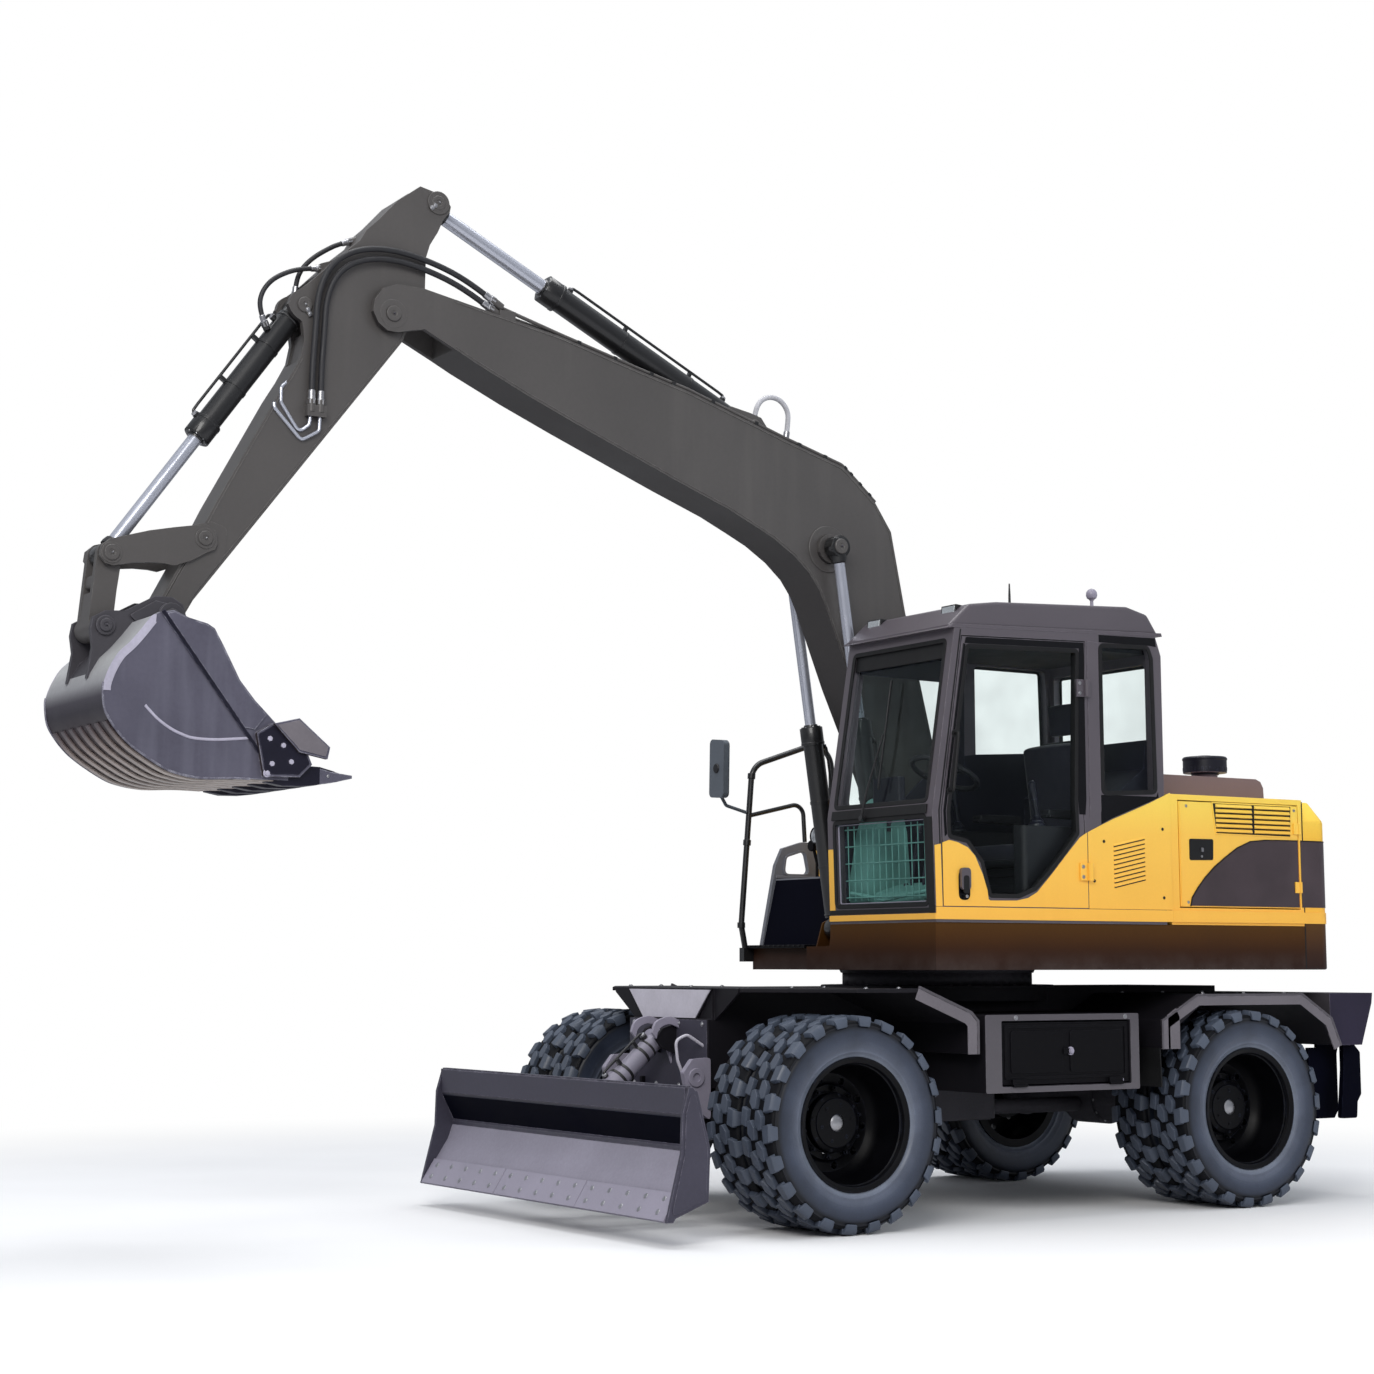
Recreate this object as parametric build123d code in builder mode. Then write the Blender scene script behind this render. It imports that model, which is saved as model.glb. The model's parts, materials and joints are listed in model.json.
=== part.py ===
from build123d import *
import math
import os

os.makedirs("parts", exist_ok=True)

# ---------------------------------------------------------------------------
# Wheeled excavator, millimetres.  +X is the travel direction (blade and
# bucket end), +Y the machine's left (cab side), +Z up, Z = 0 the ground.
# Lengths along X are counted from the slew centre; SLEW_X carries them into
# the part's frame, whose origin is the middle of the footprint box.
# ---------------------------------------------------------------------------
SLEW_X = -1376.5

# undercarriage
HALF_TRACK_OUT = 1245.0     # outer tyre face from the centre plane
TYRE_R = 516.0              # 9.00-20 tyre
TYRE_W = 255.0              # one tyre
TWIN_GAP = 45.0             # gap between the two tyres of a pair
RIM_R = 297.0               # bead seat radius
FRONT_AXLE_X = 1450.0
REAR_AXLE_X = -1134.0
KINGPIN_Y = 600.0
FRAME_HALF_W = 380.0
FRAME_TOP = 1155.0
FRAME_BOTTOM = 660.0
RING_R = 520.0

# upper structure
SKIRT_BOTTOM = 1245.0
LOW_DECK = 1370.0
DECK = 1480.0
SIDE_Y = 1190.0             # yellow side panels
BODY_TOP = 2170.0
REAR_X = -1620.0            # front face of the counterweight
TAIL_R = 2150.0

# cab
CAB_OUT = 1196.0
CAB_IN = 300.0
CAB_WALL = 45.0
CAB_FLOOR = 1500.0

# front linkage, (x, z) of every pin
BOOM_FOOT = (80.0, 1750.0)
BOOM_CYL_FOOT = (515.0, 1470.0)
BOOM_CYL_EYE = (815.0, 3500.0)
ARM_CYL_FOOT = (1265.0, 4130.0)
ARM_CYL_EYE = (3161.0, 5055.0)
ARM_PIVOT = (3420.0, 4440.0)
BUCKET_CYL_FOOT = (3870.0, 4430.0)
LEVER_PIVOT = (4354.0, 3239.0)
LINK_PIN = (4801.0, 3133.0)
BUCKET_PIN = (4833.0, 2792.0)
BUCKET_PIVOT = (4525.0, 2855.0)
BLADE_PIVOT = (1700.0, 470.0)
BLADE_CYL_FOOT = (1810.0, 900.0)
BLADE_CYL_EYE = (2240.0, 520.0)

BOOM_HALF_W = 140.0
ARM_HALF_W = 95.0
BUCKET_HALF_W = 400.0
FIT = 0.05                  # radial running clearance of a pin in its bore


# ---------------------------------------------------------------------------
# Shape helpers.  Each takes X from the slew centre.
# ---------------------------------------------------------------------------
def side_plane(y):
    """Plane at height y off the centre plane: local x = +X, local y = +Z."""
    return Plane(origin=(SLEW_X, y, 0), x_dir=(1, 0, 0), z_dir=(0, -1, 0))


def plan_plane(z):
    return Plane(origin=(SLEW_X, 0, z), x_dir=(1, 0, 0), z_dir=(0, 0, 1))


def front_plane(x):
    """Plane across the machine: local x = +Y, local y = +Z."""
    return Plane(origin=(SLEW_X + x, 0, 0), x_dir=(0, 1, 0), z_dir=(1, 0, 0))


def slab_y(points, y0, y1, r=0.0):
    """Side outline (x, z) carried from y0 to y1, its corners rounded by r."""
    with BuildPart() as p:
        with BuildSketch(side_plane(y0)) as s:
            with BuildLine():
                Polyline(*points, close=True)
            make_face()
            if r > 0:
                fillet(s.vertices(), r)
        extrude(amount=-(y1 - y0))
    return p.part


def slab_z(points, z0, z1, r=0.0):
    """Plan outline (x, y) carried from z0 to z1."""
    with BuildPart() as p:
        with BuildSketch(plan_plane(z0)) as s:
            with BuildLine():
                Polyline(*points, close=True)
            make_face()
            if r > 0:
                fillet(s.vertices(), r)
        extrude(amount=z1 - z0)
    return p.part


def slab_x(points, x0, x1, r=0.0):
    """Cross outline (y, z) carried from x0 to x1."""
    with BuildPart() as p:
        with BuildSketch(front_plane(x0)) as s:
            with BuildLine():
                Polyline(*points, close=True)
            make_face()
            if r > 0:
                fillet(s.vertices(), r)
        extrude(amount=x1 - x0)
    return p.part


def block(x0, x1, y0, y1, z0, z1, r=0.0):
    return slab_z([(x0, y0), (x1, y0), (x1, y1), (x0, y1)], z0, z1, r)


def drum_y(pin, r, y0, y1, bore=0.0):
    """Round body along Y about a pin centre (x, z)."""
    with BuildPart() as p:
        with BuildSketch(side_plane(y0)):
            with Locations((pin[0], pin[1])):
                Circle(r)
                if bore > 0:
                    Circle(bore, mode=Mode.SUBTRACT)
        extrude(amount=-(y1 - y0))
    return p.part


def drum_z(x, y, r, z0, z1, bore=0.0):
    with BuildPart() as p:
        with BuildSketch(plan_plane(z0)):
            with Locations((x, y)):
                Circle(r)
                if bore > 0:
                    Circle(bore, mode=Mode.SUBTRACT)
        extrude(amount=z1 - z0)
    return p.part


def run(a, b, y, r, s0, s1, bore=0.0):
    """Round body on the line from pin a to pin b in the plane y, from s0 to
    s1 along it."""
    dx, dz = b[0] - a[0], b[1] - a[1]
    length = math.hypot(dx, dz)
    ux, uz = dx / length, dz / length
    with BuildPart() as p:
        with BuildSketch(Plane(origin=(SLEW_X + a[0] + ux * s0, y, a[1] + uz * s0), x_dir=(0, 1, 0), z_dir=(ux, 0, uz))):
            Circle(r)
            if bore > 0:
                Circle(bore, mode=Mode.SUBTRACT)
        extrude(amount=s1 - s0)
    return p.part


def spun(x, z, profile):
    """Profile (y, radius) turned about the Y axis through (x, z)."""
    with BuildPart() as p:
        with BuildSketch(Plane(origin=(SLEW_X + x, 0, z), x_dir=(0, 1, 0), z_dir=(1, 0, 0))):
            with BuildLine():
                Polyline(*profile, close=True)
            make_face()
        revolve(axis=Axis((SLEW_X + x, 0, z), (0, 1, 0)))
    return p.part


def tube_path(points, r, radii):
    """Round bar through points (x, y, z), corners rounded by radii."""
    pts = [(SLEW_X + x, y, z) for x, y, z in points]
    with BuildPart() as p:
        with BuildLine() as l:
            if len(pts) > 2:
                FilletPolyline(*pts, radius=radii)
            else:
                Line(*pts)
        with BuildSketch(l.line ^ 0):
            Circle(r)
        sweep()
    return p.part


def drum_x(y, z, r, x0, x1):
    """Round body along X at (y, z)."""
    with BuildPart() as p:
        with BuildSketch(front_plane(x0)):
            with Locations((y, z)):
                Circle(r)
        extrude(amount=x1 - x0)
    return p.part


def stub(route, r, length, end=0):
    """Round end fitting that carries a hose route on past its first (end=0)
    or last (end=-1) point."""
    a, b = (route[0], route[1]) if end == 0 else (route[-1], route[-2])
    d = math.dist(a, b)
    far = tuple(p + (p - q) / d * length for p, q in zip(a, b))
    return tube_path([a, far], r, [])


def corner_radii(route):
    """Radius at each corner: 0.45 of the shorter run over the tangent of
    half the turn."""
    out = []
    for a, b, c in zip(route, route[1:], route[2:]):
        u, v = Vector(*b) - Vector(*a), Vector(*c) - Vector(*b)
        out.append(0.45 * min(u.length, v.length) / math.tan(math.radians(u.get_angle(v)) / 2))
    return out


def length_between(a, b):
    return math.hypot(b[0] - a[0], b[1] - a[1])


def done(builder, name):
    builder.part.label = name
    export_step(builder.part, "parts/" + name + ".step")


# ---------------------------------------------------------------------------
# Undercarriage
# ---------------------------------------------------------------------------
with BuildPart() as chassis_frame:
    add(block(-1720, 1720, -FRAME_HALF_W, FRAME_HALF_W, FRAME_BOTTOM, FRAME_TOP))
    # front end plate, the leaning plate above it and the flared gussets
    add(slab_x([(-380, FRAME_BOTTOM), (380, FRAME_BOTTOM), (380, 1000), (-380, 1000)], 1720, 1745))
    add(slab_x([(-260, 1000), (260, 1000), (400, FRAME_TOP), (-400, FRAME_TOP)], 1720, 1736))
    for sy in (-1, 1):
        add(slab_x([(sy * 370, FRAME_TOP), (sy * 600, FRAME_TOP), (sy * 592, 1128), (sy * 530, 1088), (sy * 470, 1050), (sy * 410, 1012), (sy * 370, 990)], 1690, 1706))
    # turret seat under the slew ring
    add(drum_z(0, 0, 600, 1080, FRAME_TOP))
    # clevis plates for the blade arms and the blade cylinder
    for y0, y1 in ((-352, -332), (-238, -218), (218, 238), (332, 352)):
        add(slab_y([(1600, 700), (1600, 440), (1680, 390), (1770, 420), (1770, 700)], y0, y1))
    for y0, y1 in ((-88, -66), (66, 88)):
        add(slab_y([(1740, 820), (1830, 850), (1870, 900), (1830, 950), (1740, 980)], y0, y1))
    add(drum_y(BLADE_CYL_FOOT, 22, -66, 66))
    for y0, y1 in ((-332, -238), (238, 332)):
        add(drum_y(BLADE_PIVOT, 28, y0, y1))
    # hanger plates and rocking pin of the front axle, pad of the rear axle
    for x0, x1 in ((1340, 1366), (1534, 1560)):
        add(slab_x([(-130, 670), (-90, 440), (90, 440), (130, 670)], x0, x1, r=20))
    with BuildSketch(front_plane(1330)):
        with Locations((0, TYRE_R)):
            Circle(36)
    extrude(amount=240)
    for y0, y1 in ((-340, -250), (250, 340)):
        add(slab_y([(-1300, 700), (-1260, 602), (-1010, 602), (-970, 700)], y0, y1))
done(chassis_frame, "chassis_frame")

with BuildPart() as slew_ring:
    add(drum_z(0, 0, RING_R, FRAME_TOP, SKIRT_BOTTOM - 12, bore=RING_R - 90))
done(slew_ring, "slew_ring")

# front axle: beam, centre housing, yokes at both ends
STEER_X, STEER_Z = FRONT_AXLE_X - 200, 600.0
with BuildPart() as front_axle:
    add(slab_x([(-480, 445), (-150, 430), (150, 430), (480, 445), (480, 585), (150, 600), (-150, 600), (-480, 585)], FRONT_AXLE_X - 78, FRONT_AXLE_X + 78))
    add(drum_y((FRONT_AXLE_X, TYRE_R), 130, -330, -150))
    for sy in (-1, 1):
        for z0, z1 in ((350, 400), (632, 656)):
            a, b = sorted((sy * 440, sy * 650))
            add(block(FRONT_AXLE_X - 70, FRONT_AXLE_X + 70, a, b, z0, z1))
        a, b = sorted((sy * 430, sy * 490))
        add(block(FRONT_AXLE_X - 75, FRONT_AXLE_X + 75, a, b, 350, 656))
        add(drum_z(FRONT_AXLE_X, sy * KINGPIN_Y, 30, 400, 632))
        a, b = sorted((sy * 140, sy * 175))
        add(block(STEER_X - 20, FRONT_AXLE_X - 60, a, b, 565, 632))
    with BuildSketch(front_plane(FRONT_AXLE_X - 100)):
        with Locations((0, TYRE_R)):
            Circle(36 + FIT)
    extrude(amount=200, mode=Mode.SUBTRACT)
    # steering cylinder barrel
    with BuildSketch(Plane(origin=(SLEW_X + STEER_X, -210, STEER_Z), x_dir=(1, 0, 0), z_dir=(0, 1, 0))):
        Circle(40)
    extrude(amount=420)
    with BuildSketch(Plane(origin=(SLEW_X + STEER_X, -211, STEER_Z), x_dir=(1, 0, 0), z_dir=(0, 1, 0))):
        Circle(20 + FIT)
    extrude(amount=422, mode=Mode.SUBTRACT)
done(front_axle, "front_axle")

with BuildPart() as rear_axle:
    for sy in (-1, 1):
        add(spun(REAR_AXLE_X, TYRE_R, [(sy * 100, 0), (sy * 100, 130), (sy * 260, 82), (sy * 600, 75), (sy * 600, 120), (sy * 640, 120), (sy * 640, 55), (sy * 780, 55), (sy * 780, 0)]))
    add(drum_y((REAR_AXLE_X, TYRE_R), 138, -120, 120))
    add(block(REAR_AXLE_X - 90, REAR_AXLE_X + 90, -340, 340, 540, 600))
done(rear_axle, "rear_axle")

with BuildPart() as drive_line:
    add(block(-260, 240, -190, 190, 440, FRAME_BOTTOM, r=40))
    with BuildSketch(Plane(origin=(SLEW_X + 240, 0, 490), x_dir=(0, 1, 0), z_dir=(1, 0, 0))):
        Circle(42)
    extrude(amount=FRONT_AXLE_X - 130 - 240)
    with BuildSketch(Plane(origin=(SLEW_X - 260, 0, 490), x_dir=(0, 1, 0), z_dir=(-1, 0, 0))):
        Circle(42)
    extrude(amount=-260 - (REAR_AXLE_X + 142))
done(drive_line, "drive_line")

# steering knuckles: kingpin bore, spindle, steering arm
STEER_ARM = 170.0
for side, sy in (("left", 1), ("right", -1)):
    with BuildPart() as knuckle:
        add(block(FRONT_AXLE_X - 60, FRONT_AXLE_X + 60, min(sy * 545, sy * 655), max(sy * 545, sy * 655), 405, 627))
        with BuildSketch(plan_plane(400)):
            with Locations((FRONT_AXLE_X, sy * KINGPIN_Y)):
                Circle(30 + FIT)
        extrude(amount=232, mode=Mode.SUBTRACT)
        add(spun(FRONT_AXLE_X, TYRE_R, [(sy * 655, 0), (sy * 655, 90), (sy * 672, 90), (sy * 672, 55), (sy * 780, 55), (sy * 780, 0)]))
        # arm reaching back and in, level with the rod
        add(block(STEER_X - 40, FRONT_AXLE_X - 55, min(sy * 560, sy * 620), max(sy * 560, sy * 620), 540, 572))
    done(knuckle, side + "_knuckle")

with BuildPart() as steering_rod:
    with BuildSketch(Plane(origin=(SLEW_X + STEER_X, -540, STEER_Z), x_dir=(1, 0, 0), z_dir=(0, 1, 0))):
        Circle(20)
    extrude(amount=1080)
    for sy in (-1, 1):
        a, b = sorted((sy * 530, sy * 610))
        add(block(STEER_X - 30, STEER_X + 30, a, b, 582, 618))
done(steering_rod, "steering_rod")

# twin tyres and their rims; offsets are from the tyre's own middle
TYRE_SECTION = [
    # (across, radius)
    (-99, 299), (-99, 332), (-122, 372), (-127, 420), (-122, 478), (-103, TYRE_R),
    (103, TYRE_R), (122, 478), (127, 420), (122, 372), (99, 332), (99, 299),
]
OUTER_MID = HALF_TRACK_OUT - TYRE_W / 2
INNER_MID = OUTER_MID - TYRE_W - TWIN_GAP
WHEELS = [
    # name, axle x, side
    ("front_left", FRONT_AXLE_X, 1),
    ("front_right", FRONT_AXLE_X, -1),
    ("rear_left", REAR_AXLE_X, 1),
    ("rear_right", REAR_AXLE_X, -1),
]
for name, ax, sy in WHEELS:
    with BuildPart() as tyres:
        for mid in (INNER_MID, OUTER_MID):
            add(spun(ax, TYRE_R, [(sy * mid + y, r) for y, r in TYRE_SECTION]))
    done(tyres, name + "_tyres")
    with BuildPart() as rim:
        y_in, y_out = INNER_MID - 112, OUTER_MID + 112
        y_disc = (INNER_MID + OUTER_MID) / 2
        # rim barrel with its flanges, outer disc, hub and cap
        add(spun(ax, TYRE_R, [(sy * y, r) for y, r in (
            (y_in, 270), (y_in, 318), (y_in + 12, 318), (y_in + 12, 298.5), (y_out - 12, 298.5), (y_out - 12, 318), (y_out, 318), (y_out, 284),
            (y_disc + 60, 272), (y_disc + 16, 236), (y_disc + 16, 190), (y_disc + 44, 150), (y_disc + 70, 140), (y_disc + 96, 118), (y_disc + 110, 70), (y_disc + 112, 0),
            (785, 0), (785, 55 + FIT), (690, 55 + FIT), (690, 150), (y_disc - 16, 160), (y_disc - 16, 262), (y_disc - 60, 272))]))
    done(rim, name + "_rim")

# fenders: bent plates over the wheels, front and rear, left and right
FRONT_FENDER = [(1700, FRAME_TOP), (1010, FRAME_TOP), (690, 1030), (650, 990), (650, 830), (668, 830), (668, 980), (704, 1012), (1016, 1135), (1700, 1135)]
REAR_FENDER = [(-556, 835), (-556, 985), (-810, 1118), (-1590, 1118), (-1812, 985), (-1880, 835), (-1830, 835), (-1750, 950), (-1560, 1066), (-850, 1066), (-670, 950), (-620, 835)]
with BuildPart() as fenders:
    for sy in (-1, 1):
        add(slab_y(FRONT_FENDER, min(sy * FRAME_HALF_W, sy * 1150), max(sy * FRAME_HALF_W, sy * 1150)))
        add(slab_y(REAR_FENDER, min(sy * FRAME_HALF_W, sy * 1180), max(sy * FRAME_HALF_W, sy * 1180)))
        # the gusset stands in a notch of the front fender's root
        add(slab_x([(sy * 370, 1170), (sy * 604, 1170), (sy * 596, 1124), (sy * 370, 1000)], 1688, 1708), mode=Mode.SUBTRACT)
    # front corners cut back in plan
    for sy in (-1, 1):
        add(slab_z([(1720, sy * 602), (1380, sy * 1152), (1380, sy * 1300), (1900, sy * 1300), (1900, sy * 602)], 1000, 1300), mode=Mode.SUBTRACT)
done(fenders, "fenders")

# tool boxes between the axles, open at the outer side, with drop doors
BOX_X0, BOX_X1, BOX_Z0, BOX_Z1 = -422.0, 596.0, 635.0, 1022.0
BOX_DOOR_X0, BOX_DOOR_X1, BOX_DOOR_Z0, BOX_DOOR_Z1 = -362.0, 490.0, 668.0, 988.0
BOX_HINGE = (1160.0, 670.0)     # (y, z) of the drop doors' axis
with BuildPart() as side_boxes:
    for sy in (-1, 1):
        a, b = sorted((sy * FRAME_HALF_W, sy * 1150))
        add(block(BOX_X0, BOX_X1, a, b, BOX_Z0, BOX_Z1))
        a, b = sorted((sy * (FRAME_HALF_W + 25), sy * 1130))
        add(block(BOX_X0 + 20, BOX_X1 - 20, a, b, BOX_Z0 + 15, BOX_Z1 - 15), mode=Mode.SUBTRACT)
        a, b = sorted((sy * 1120, sy * 1160))
        add(block(BOX_DOOR_X0, BOX_DOOR_X1, a, b, BOX_DOOR_Z0, BOX_DOOR_Z1), mode=Mode.SUBTRACT)
done(side_boxes, "side_boxes")

for side, sy in (("left", 1), ("right", -1)):
    with BuildPart() as box_door:
        a, b = sorted((sy * 1124, sy * 1142))
        add(block(BOX_DOOR_X0 + 6, BOX_DOOR_X1 - 6, a, b, BOX_DOOR_Z0 + 6, BOX_DOOR_Z1 - 6))
        a, b = sorted((sy * 1142, sy * 1154))
        add(block(40, 90, a, b, 822, 850))
        # hinge straps with their knuckles along the lower edge
        for x0 in (-300, 340):
            a, b = sorted((sy * 1138, sy * BOX_HINGE[0]))
            add(block(x0, x0 + 90, a, b, BOX_DOOR_Z0 + 6, 700))
            add(drum_x(sy * BOX_HINGE[0], BOX_HINGE[1], 8, x0, x0 + 90))
    done(box_door, side + "_box_door")

# rear cross member with the tow eye and two hanging step brackets
TOW_X = -2120.0
with BuildPart() as rear_bumper:
    add(slab_y([(-1832, 1117), (-2168, 1117), (-2160, 1060), (-2074, 832), (-1888, 832), (-1888, 850), (-1832, 970)], -1150, 1150))
    add(block(-1892, -1720, -FRAME_HALF_W, FRAME_HALF_W, 835, 1110))
    for sy in (-1, 1):
        for y0, y1 in ((690, 714), (966, 990)):
            a, b = sorted((sy * y0, sy * y1))
            add(slab_y([(-1823, 815), (-1823, 470), (-1860, 427), (-2010, 427), (-2042, 470), (-2042, 780), (-2060, 840), (-1892, 840), (-1892, 815)], a, b))
        a, b = sorted((sy * 700, sy * 980))
        add(block(-2005, -1865, a, b, 430, 450))
    # tow clevis
    for z0, z1 in ((690, 730), (800, 835)):
        add(slab_z([(TOW_X - 45, -40), (TOW_X - 45, 40), (TOW_X - 15, 70), (-1720, 70), (-1720, -70), (TOW_X - 15, -70)], z0, z1))
    add(block(-1760, -1720, -120, 120, 690, 835))
    with BuildSketch(plan_plane(680)):
        with Locations((TOW_X, 0)):
            Circle(22)
    extrude(amount=170, mode=Mode.SUBTRACT)
done(rear_bumper, "rear_bumper")

# blade: mouldboard with an overhanging top band, end plates, arms and ribs
BLADE_FACE = [(2410, 716), (2410, 585), (2335, 440), (2372, 345), (2526, 116), (2490, 116), (2336, 330), (2300, 440), (2372, 600), (2372, 700), (2385, 716)]
with BuildPart() as blade:
    add(slab_y(BLADE_FACE, -1250, 1250))
    for sy in (-1, 1):
        a, b = sorted((sy * 1232, sy * 1250))
        add(slab_y([(2410, 700), (2440, 600), (2446, 420), (2526, 116), (2300, 200), (2290, 440), (2360, 700)], a, b))
        a, b = sorted((sy * 246, sy * 324))
        add(slab_y([(1650, 470), (1700, 530), (1760, 520), (2200, 500), (2330, 620), (2345, 600), (2315, 440), (2420, 225), (2250, 300), (1760, 420), (1700, 410)], a, b))
        a, b = sorted((sy * 900, sy * 920))
        add(slab_y([(2372, 690), (2290, 560), (2270, 330), (2440, 190), (2330, 345), (2310, 440), (2380, 600)], a, b))
    for y0, y1 in ((-72, -50), (50, 72)):
        add(slab_y([(2200, 540), (2230, 480), (2330, 400), (2312, 440), (2372, 600), (2372, 640), (2250, 570)], y0, y1))
    with BuildSketch(side_plane(-330)):
        with Locations(BLADE_PIVOT):
            Circle(28 + FIT)
    extrude(amount=-660, mode=Mode.SUBTRACT)
done(blade, "blade")

# ---------------------------------------------------------------------------
# Upper structure
# ---------------------------------------------------------------------------
DECK_OUTLINE = [(930, SIDE_Y), (930, 262), (690, 262), (690, -262), (450, -300), (450, -1150), (400, -SIDE_Y), (REAR_X, -SIDE_Y), (REAR_X, SIDE_Y)]
SLOT_Y = 297.0              # half width of the boom's well
with BuildPart() as upper_frame:
    add(slab_z(DECK_OUTLINE, SKIRT_BOTTOM, LOW_DECK))
    add(slab_z([(930, SIDE_Y), (930, SLOT_Y), (-640, SLOT_Y), (-640, -SLOT_Y), (-20, -SLOT_Y), (-20, -SIDE_Y), (REAR_X, -SIDE_Y), (REAR_X, SIDE_Y)], LOW_DECK, DECK))
    # boom foot and cylinder foot cheeks with their pins
    fx, fz = BOOM_CYL_FOOT
    for sy in (-1, 1):
        a, b = sorted((sy * 148, sy * 162))
        add(slab_y([(-260, LOW_DECK), (-20, 1860), (80, 1890), (180, 1830), (420, 1600), (fx + 60, 1530), (fx + 85, 1440), (fx + 95, LOW_DECK)], a, b))
        a, b = sorted((sy * 288, sy * 299))
        add(slab_y([(fx - 110, LOW_DECK - 10), (fx - 46, 1500), (fx, 1522), (fx + 46, 1500), (fx + 90, LOW_DECK - 10)], a, b))
        a, b = sorted((sy * 160, sy * 290))
        add(drum_y(BOOM_CYL_FOOT, 36, a, b))
    add(drum_y(BOOM_FOOT, 45, -149, 149))
done(upper_frame, "upper_frame")

with BuildPart() as swing_motor:
    add(drum_z(-400, 0, 150, LOW_DECK, 1560))
    add(drum_z(-400, 0, 105, 1560, 1800))
    add(block(-470, -330, -70, 70, 1800, 1860))
done(swing_motor, "swing_motor")

with BuildPart() as counterweight:
    tail = math.sqrt(TAIL_R ** 2 - 1190.0 ** 2)
    with BuildSketch(plan_plane(SKIRT_BOTTOM)):
        with BuildLine():
            Polyline((-tail, SIDE_Y), (REAR_X, SIDE_Y), (REAR_X, -SIDE_Y), (-tail, -SIDE_Y))
            ThreePointArc((-tail, -SIDE_Y), (-TAIL_R, 0), (-tail, SIDE_Y))
        make_face()
    extrude(amount=2165 - SKIRT_BOTTOM)
    fillet(counterweight.edges().filter_by(Axis.Z).group_by(Axis.X)[0], 90)
    chamfer(counterweight.faces().sort_by(Axis.Z)[-1].edges().sort_by(Axis.X)[0], 80, 110)
done(counterweight, "counterweight")

# engine compartment: open frame behind the cab
BAY_X0, BAY_X1 = REAR_X, -640.0
DOOR_X0, DOOR_X1, DOOR_Z0, DOOR_Z1 = -1590.0, -700.0, 1570.0, 2140.0
HOOD_X0, HOOD_X1, HOOD_Y = -1590.0, -735.0, 940.0
DOOR_HINGE = (-1588.0, 1200.0)  # (x, y) of the side doors' axis
HOOD_HINGE = (-724.0, 2181.0)   # (x, z) of the hood's axis
with BuildPart() as engine_bay:
    add(block(BAY_X0, BAY_X1, -SIDE_Y, SIDE_Y, DECK, BODY_TOP))
    add(block(BAY_X0 - 1, BAY_X1 - 30, -SIDE_Y + 40, SIDE_Y - 40, DECK + 12, BODY_TOP - 25), mode=Mode.SUBTRACT)
    add(block(DOOR_X0, DOOR_X1, -SIDE_Y - 1, SIDE_Y + 1, DOOR_Z0, DOOR_Z1), mode=Mode.SUBTRACT)
    add(block(HOOD_X0 + 20, HOOD_X1 - 20, -HOOD_Y + 20, HOOD_Y - 20, BODY_TOP - 30, BODY_TOP + 1), mode=Mode.SUBTRACT)
done(engine_bay, "engine_bay")

with BuildPart() as engine_block:
    add(block(-1500, -840, -480, 430, DECK + 12, 2080))
done(engine_block, "engine_block")

for side, sy in (("left", 1), ("right", -1)):
    with BuildPart() as service_door:
        a, b = sorted((sy * (SIDE_Y - 32), sy * SIDE_Y))
        add(block(DOOR_X0 + 6, DOOR_X1 - 6, a, b, DOOR_Z0 + 6, DOOR_Z1 - 6))
        # hinge straps with their knuckles at the rear edge
        for z0 in (1660, 1980):
            a, b = sorted((sy * (SIDE_Y - 4), sy * DOOR_HINGE[1]))
            add(block(DOOR_HINGE[0] + 4, DOOR_HINGE[0] + 40, a, b, z0, z0 + 60))
            add(drum_z(DOOR_HINGE[0], sy * DOOR_HINGE[1], 8, z0, z0 + 60))
    done(service_door, side + "_service_door")

with BuildPart() as hood:
    add(slab_y([(HOOD_X1, BODY_TOP + 6), (HOOD_X1 - 4, 2298), (-1530, 2298), (-1566, 2284), (-1586, 2250), (HOOD_X0, BODY_TOP + 6)], -HOOD_Y, HOOD_Y))
    add(slab_y([(HOOD_X1 - 25, BODY_TOP), (HOOD_X1 - 28, 2274), (-1526, 2274), (-1550, 2264), (-1562, 2240), (HOOD_X0 + 25, BODY_TOP)], -HOOD_Y + 25, HOOD_Y - 25), mode=Mode.SUBTRACT)
    # round pre-cleaner on its neck
    add(drum_z(-1475, 600, 70, 2290, 2354))
    add(drum_z(-1475, 600, 122, 2350, 2438))
    # hinge knuckles along the front edge
    for y0 in (-700, 620):
        add(slab_y([(HOOD_HINGE[0] - 16, 2184), (HOOD_HINGE[0], 2184), (HOOD_HINGE[0], 2200), (HOOD_HINGE[0] - 16, 2204)], y0, y0 + 80))
        add(drum_y(HOOD_HINGE, 8, y0, y0 + 80))
done(hood, "hood")

# tank beside the boom on the right, step box ahead of it
with BuildPart() as right_tank:
    add(block(-632, -20, -SIDE_Y, -330, DECK, 2060, r=20))
done(right_tank, "right_tank")

with BuildPart() as right_steps:
    add(block(10, 300, -1134, -420, LOW_DECK, 1770, r=15))
    add(slab_y([(400, LOW_DECK), (300, 1850), (250, 1950), (110, 1990), (10, 1990), (10, LOW_DECK)], -1160, -1132))
    with BuildSketch(side_plane(-1165)) as hole:
        with BuildLine():
            Polyline((240, 1800), (225, 1900), (90, 1940), (60, 1800), close=True)
        make_face()
        fillet(hole.vertices(), 30)
    extrude(amount=-40, mode=Mode.SUBTRACT)
done(right_steps, "right_steps")

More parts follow.
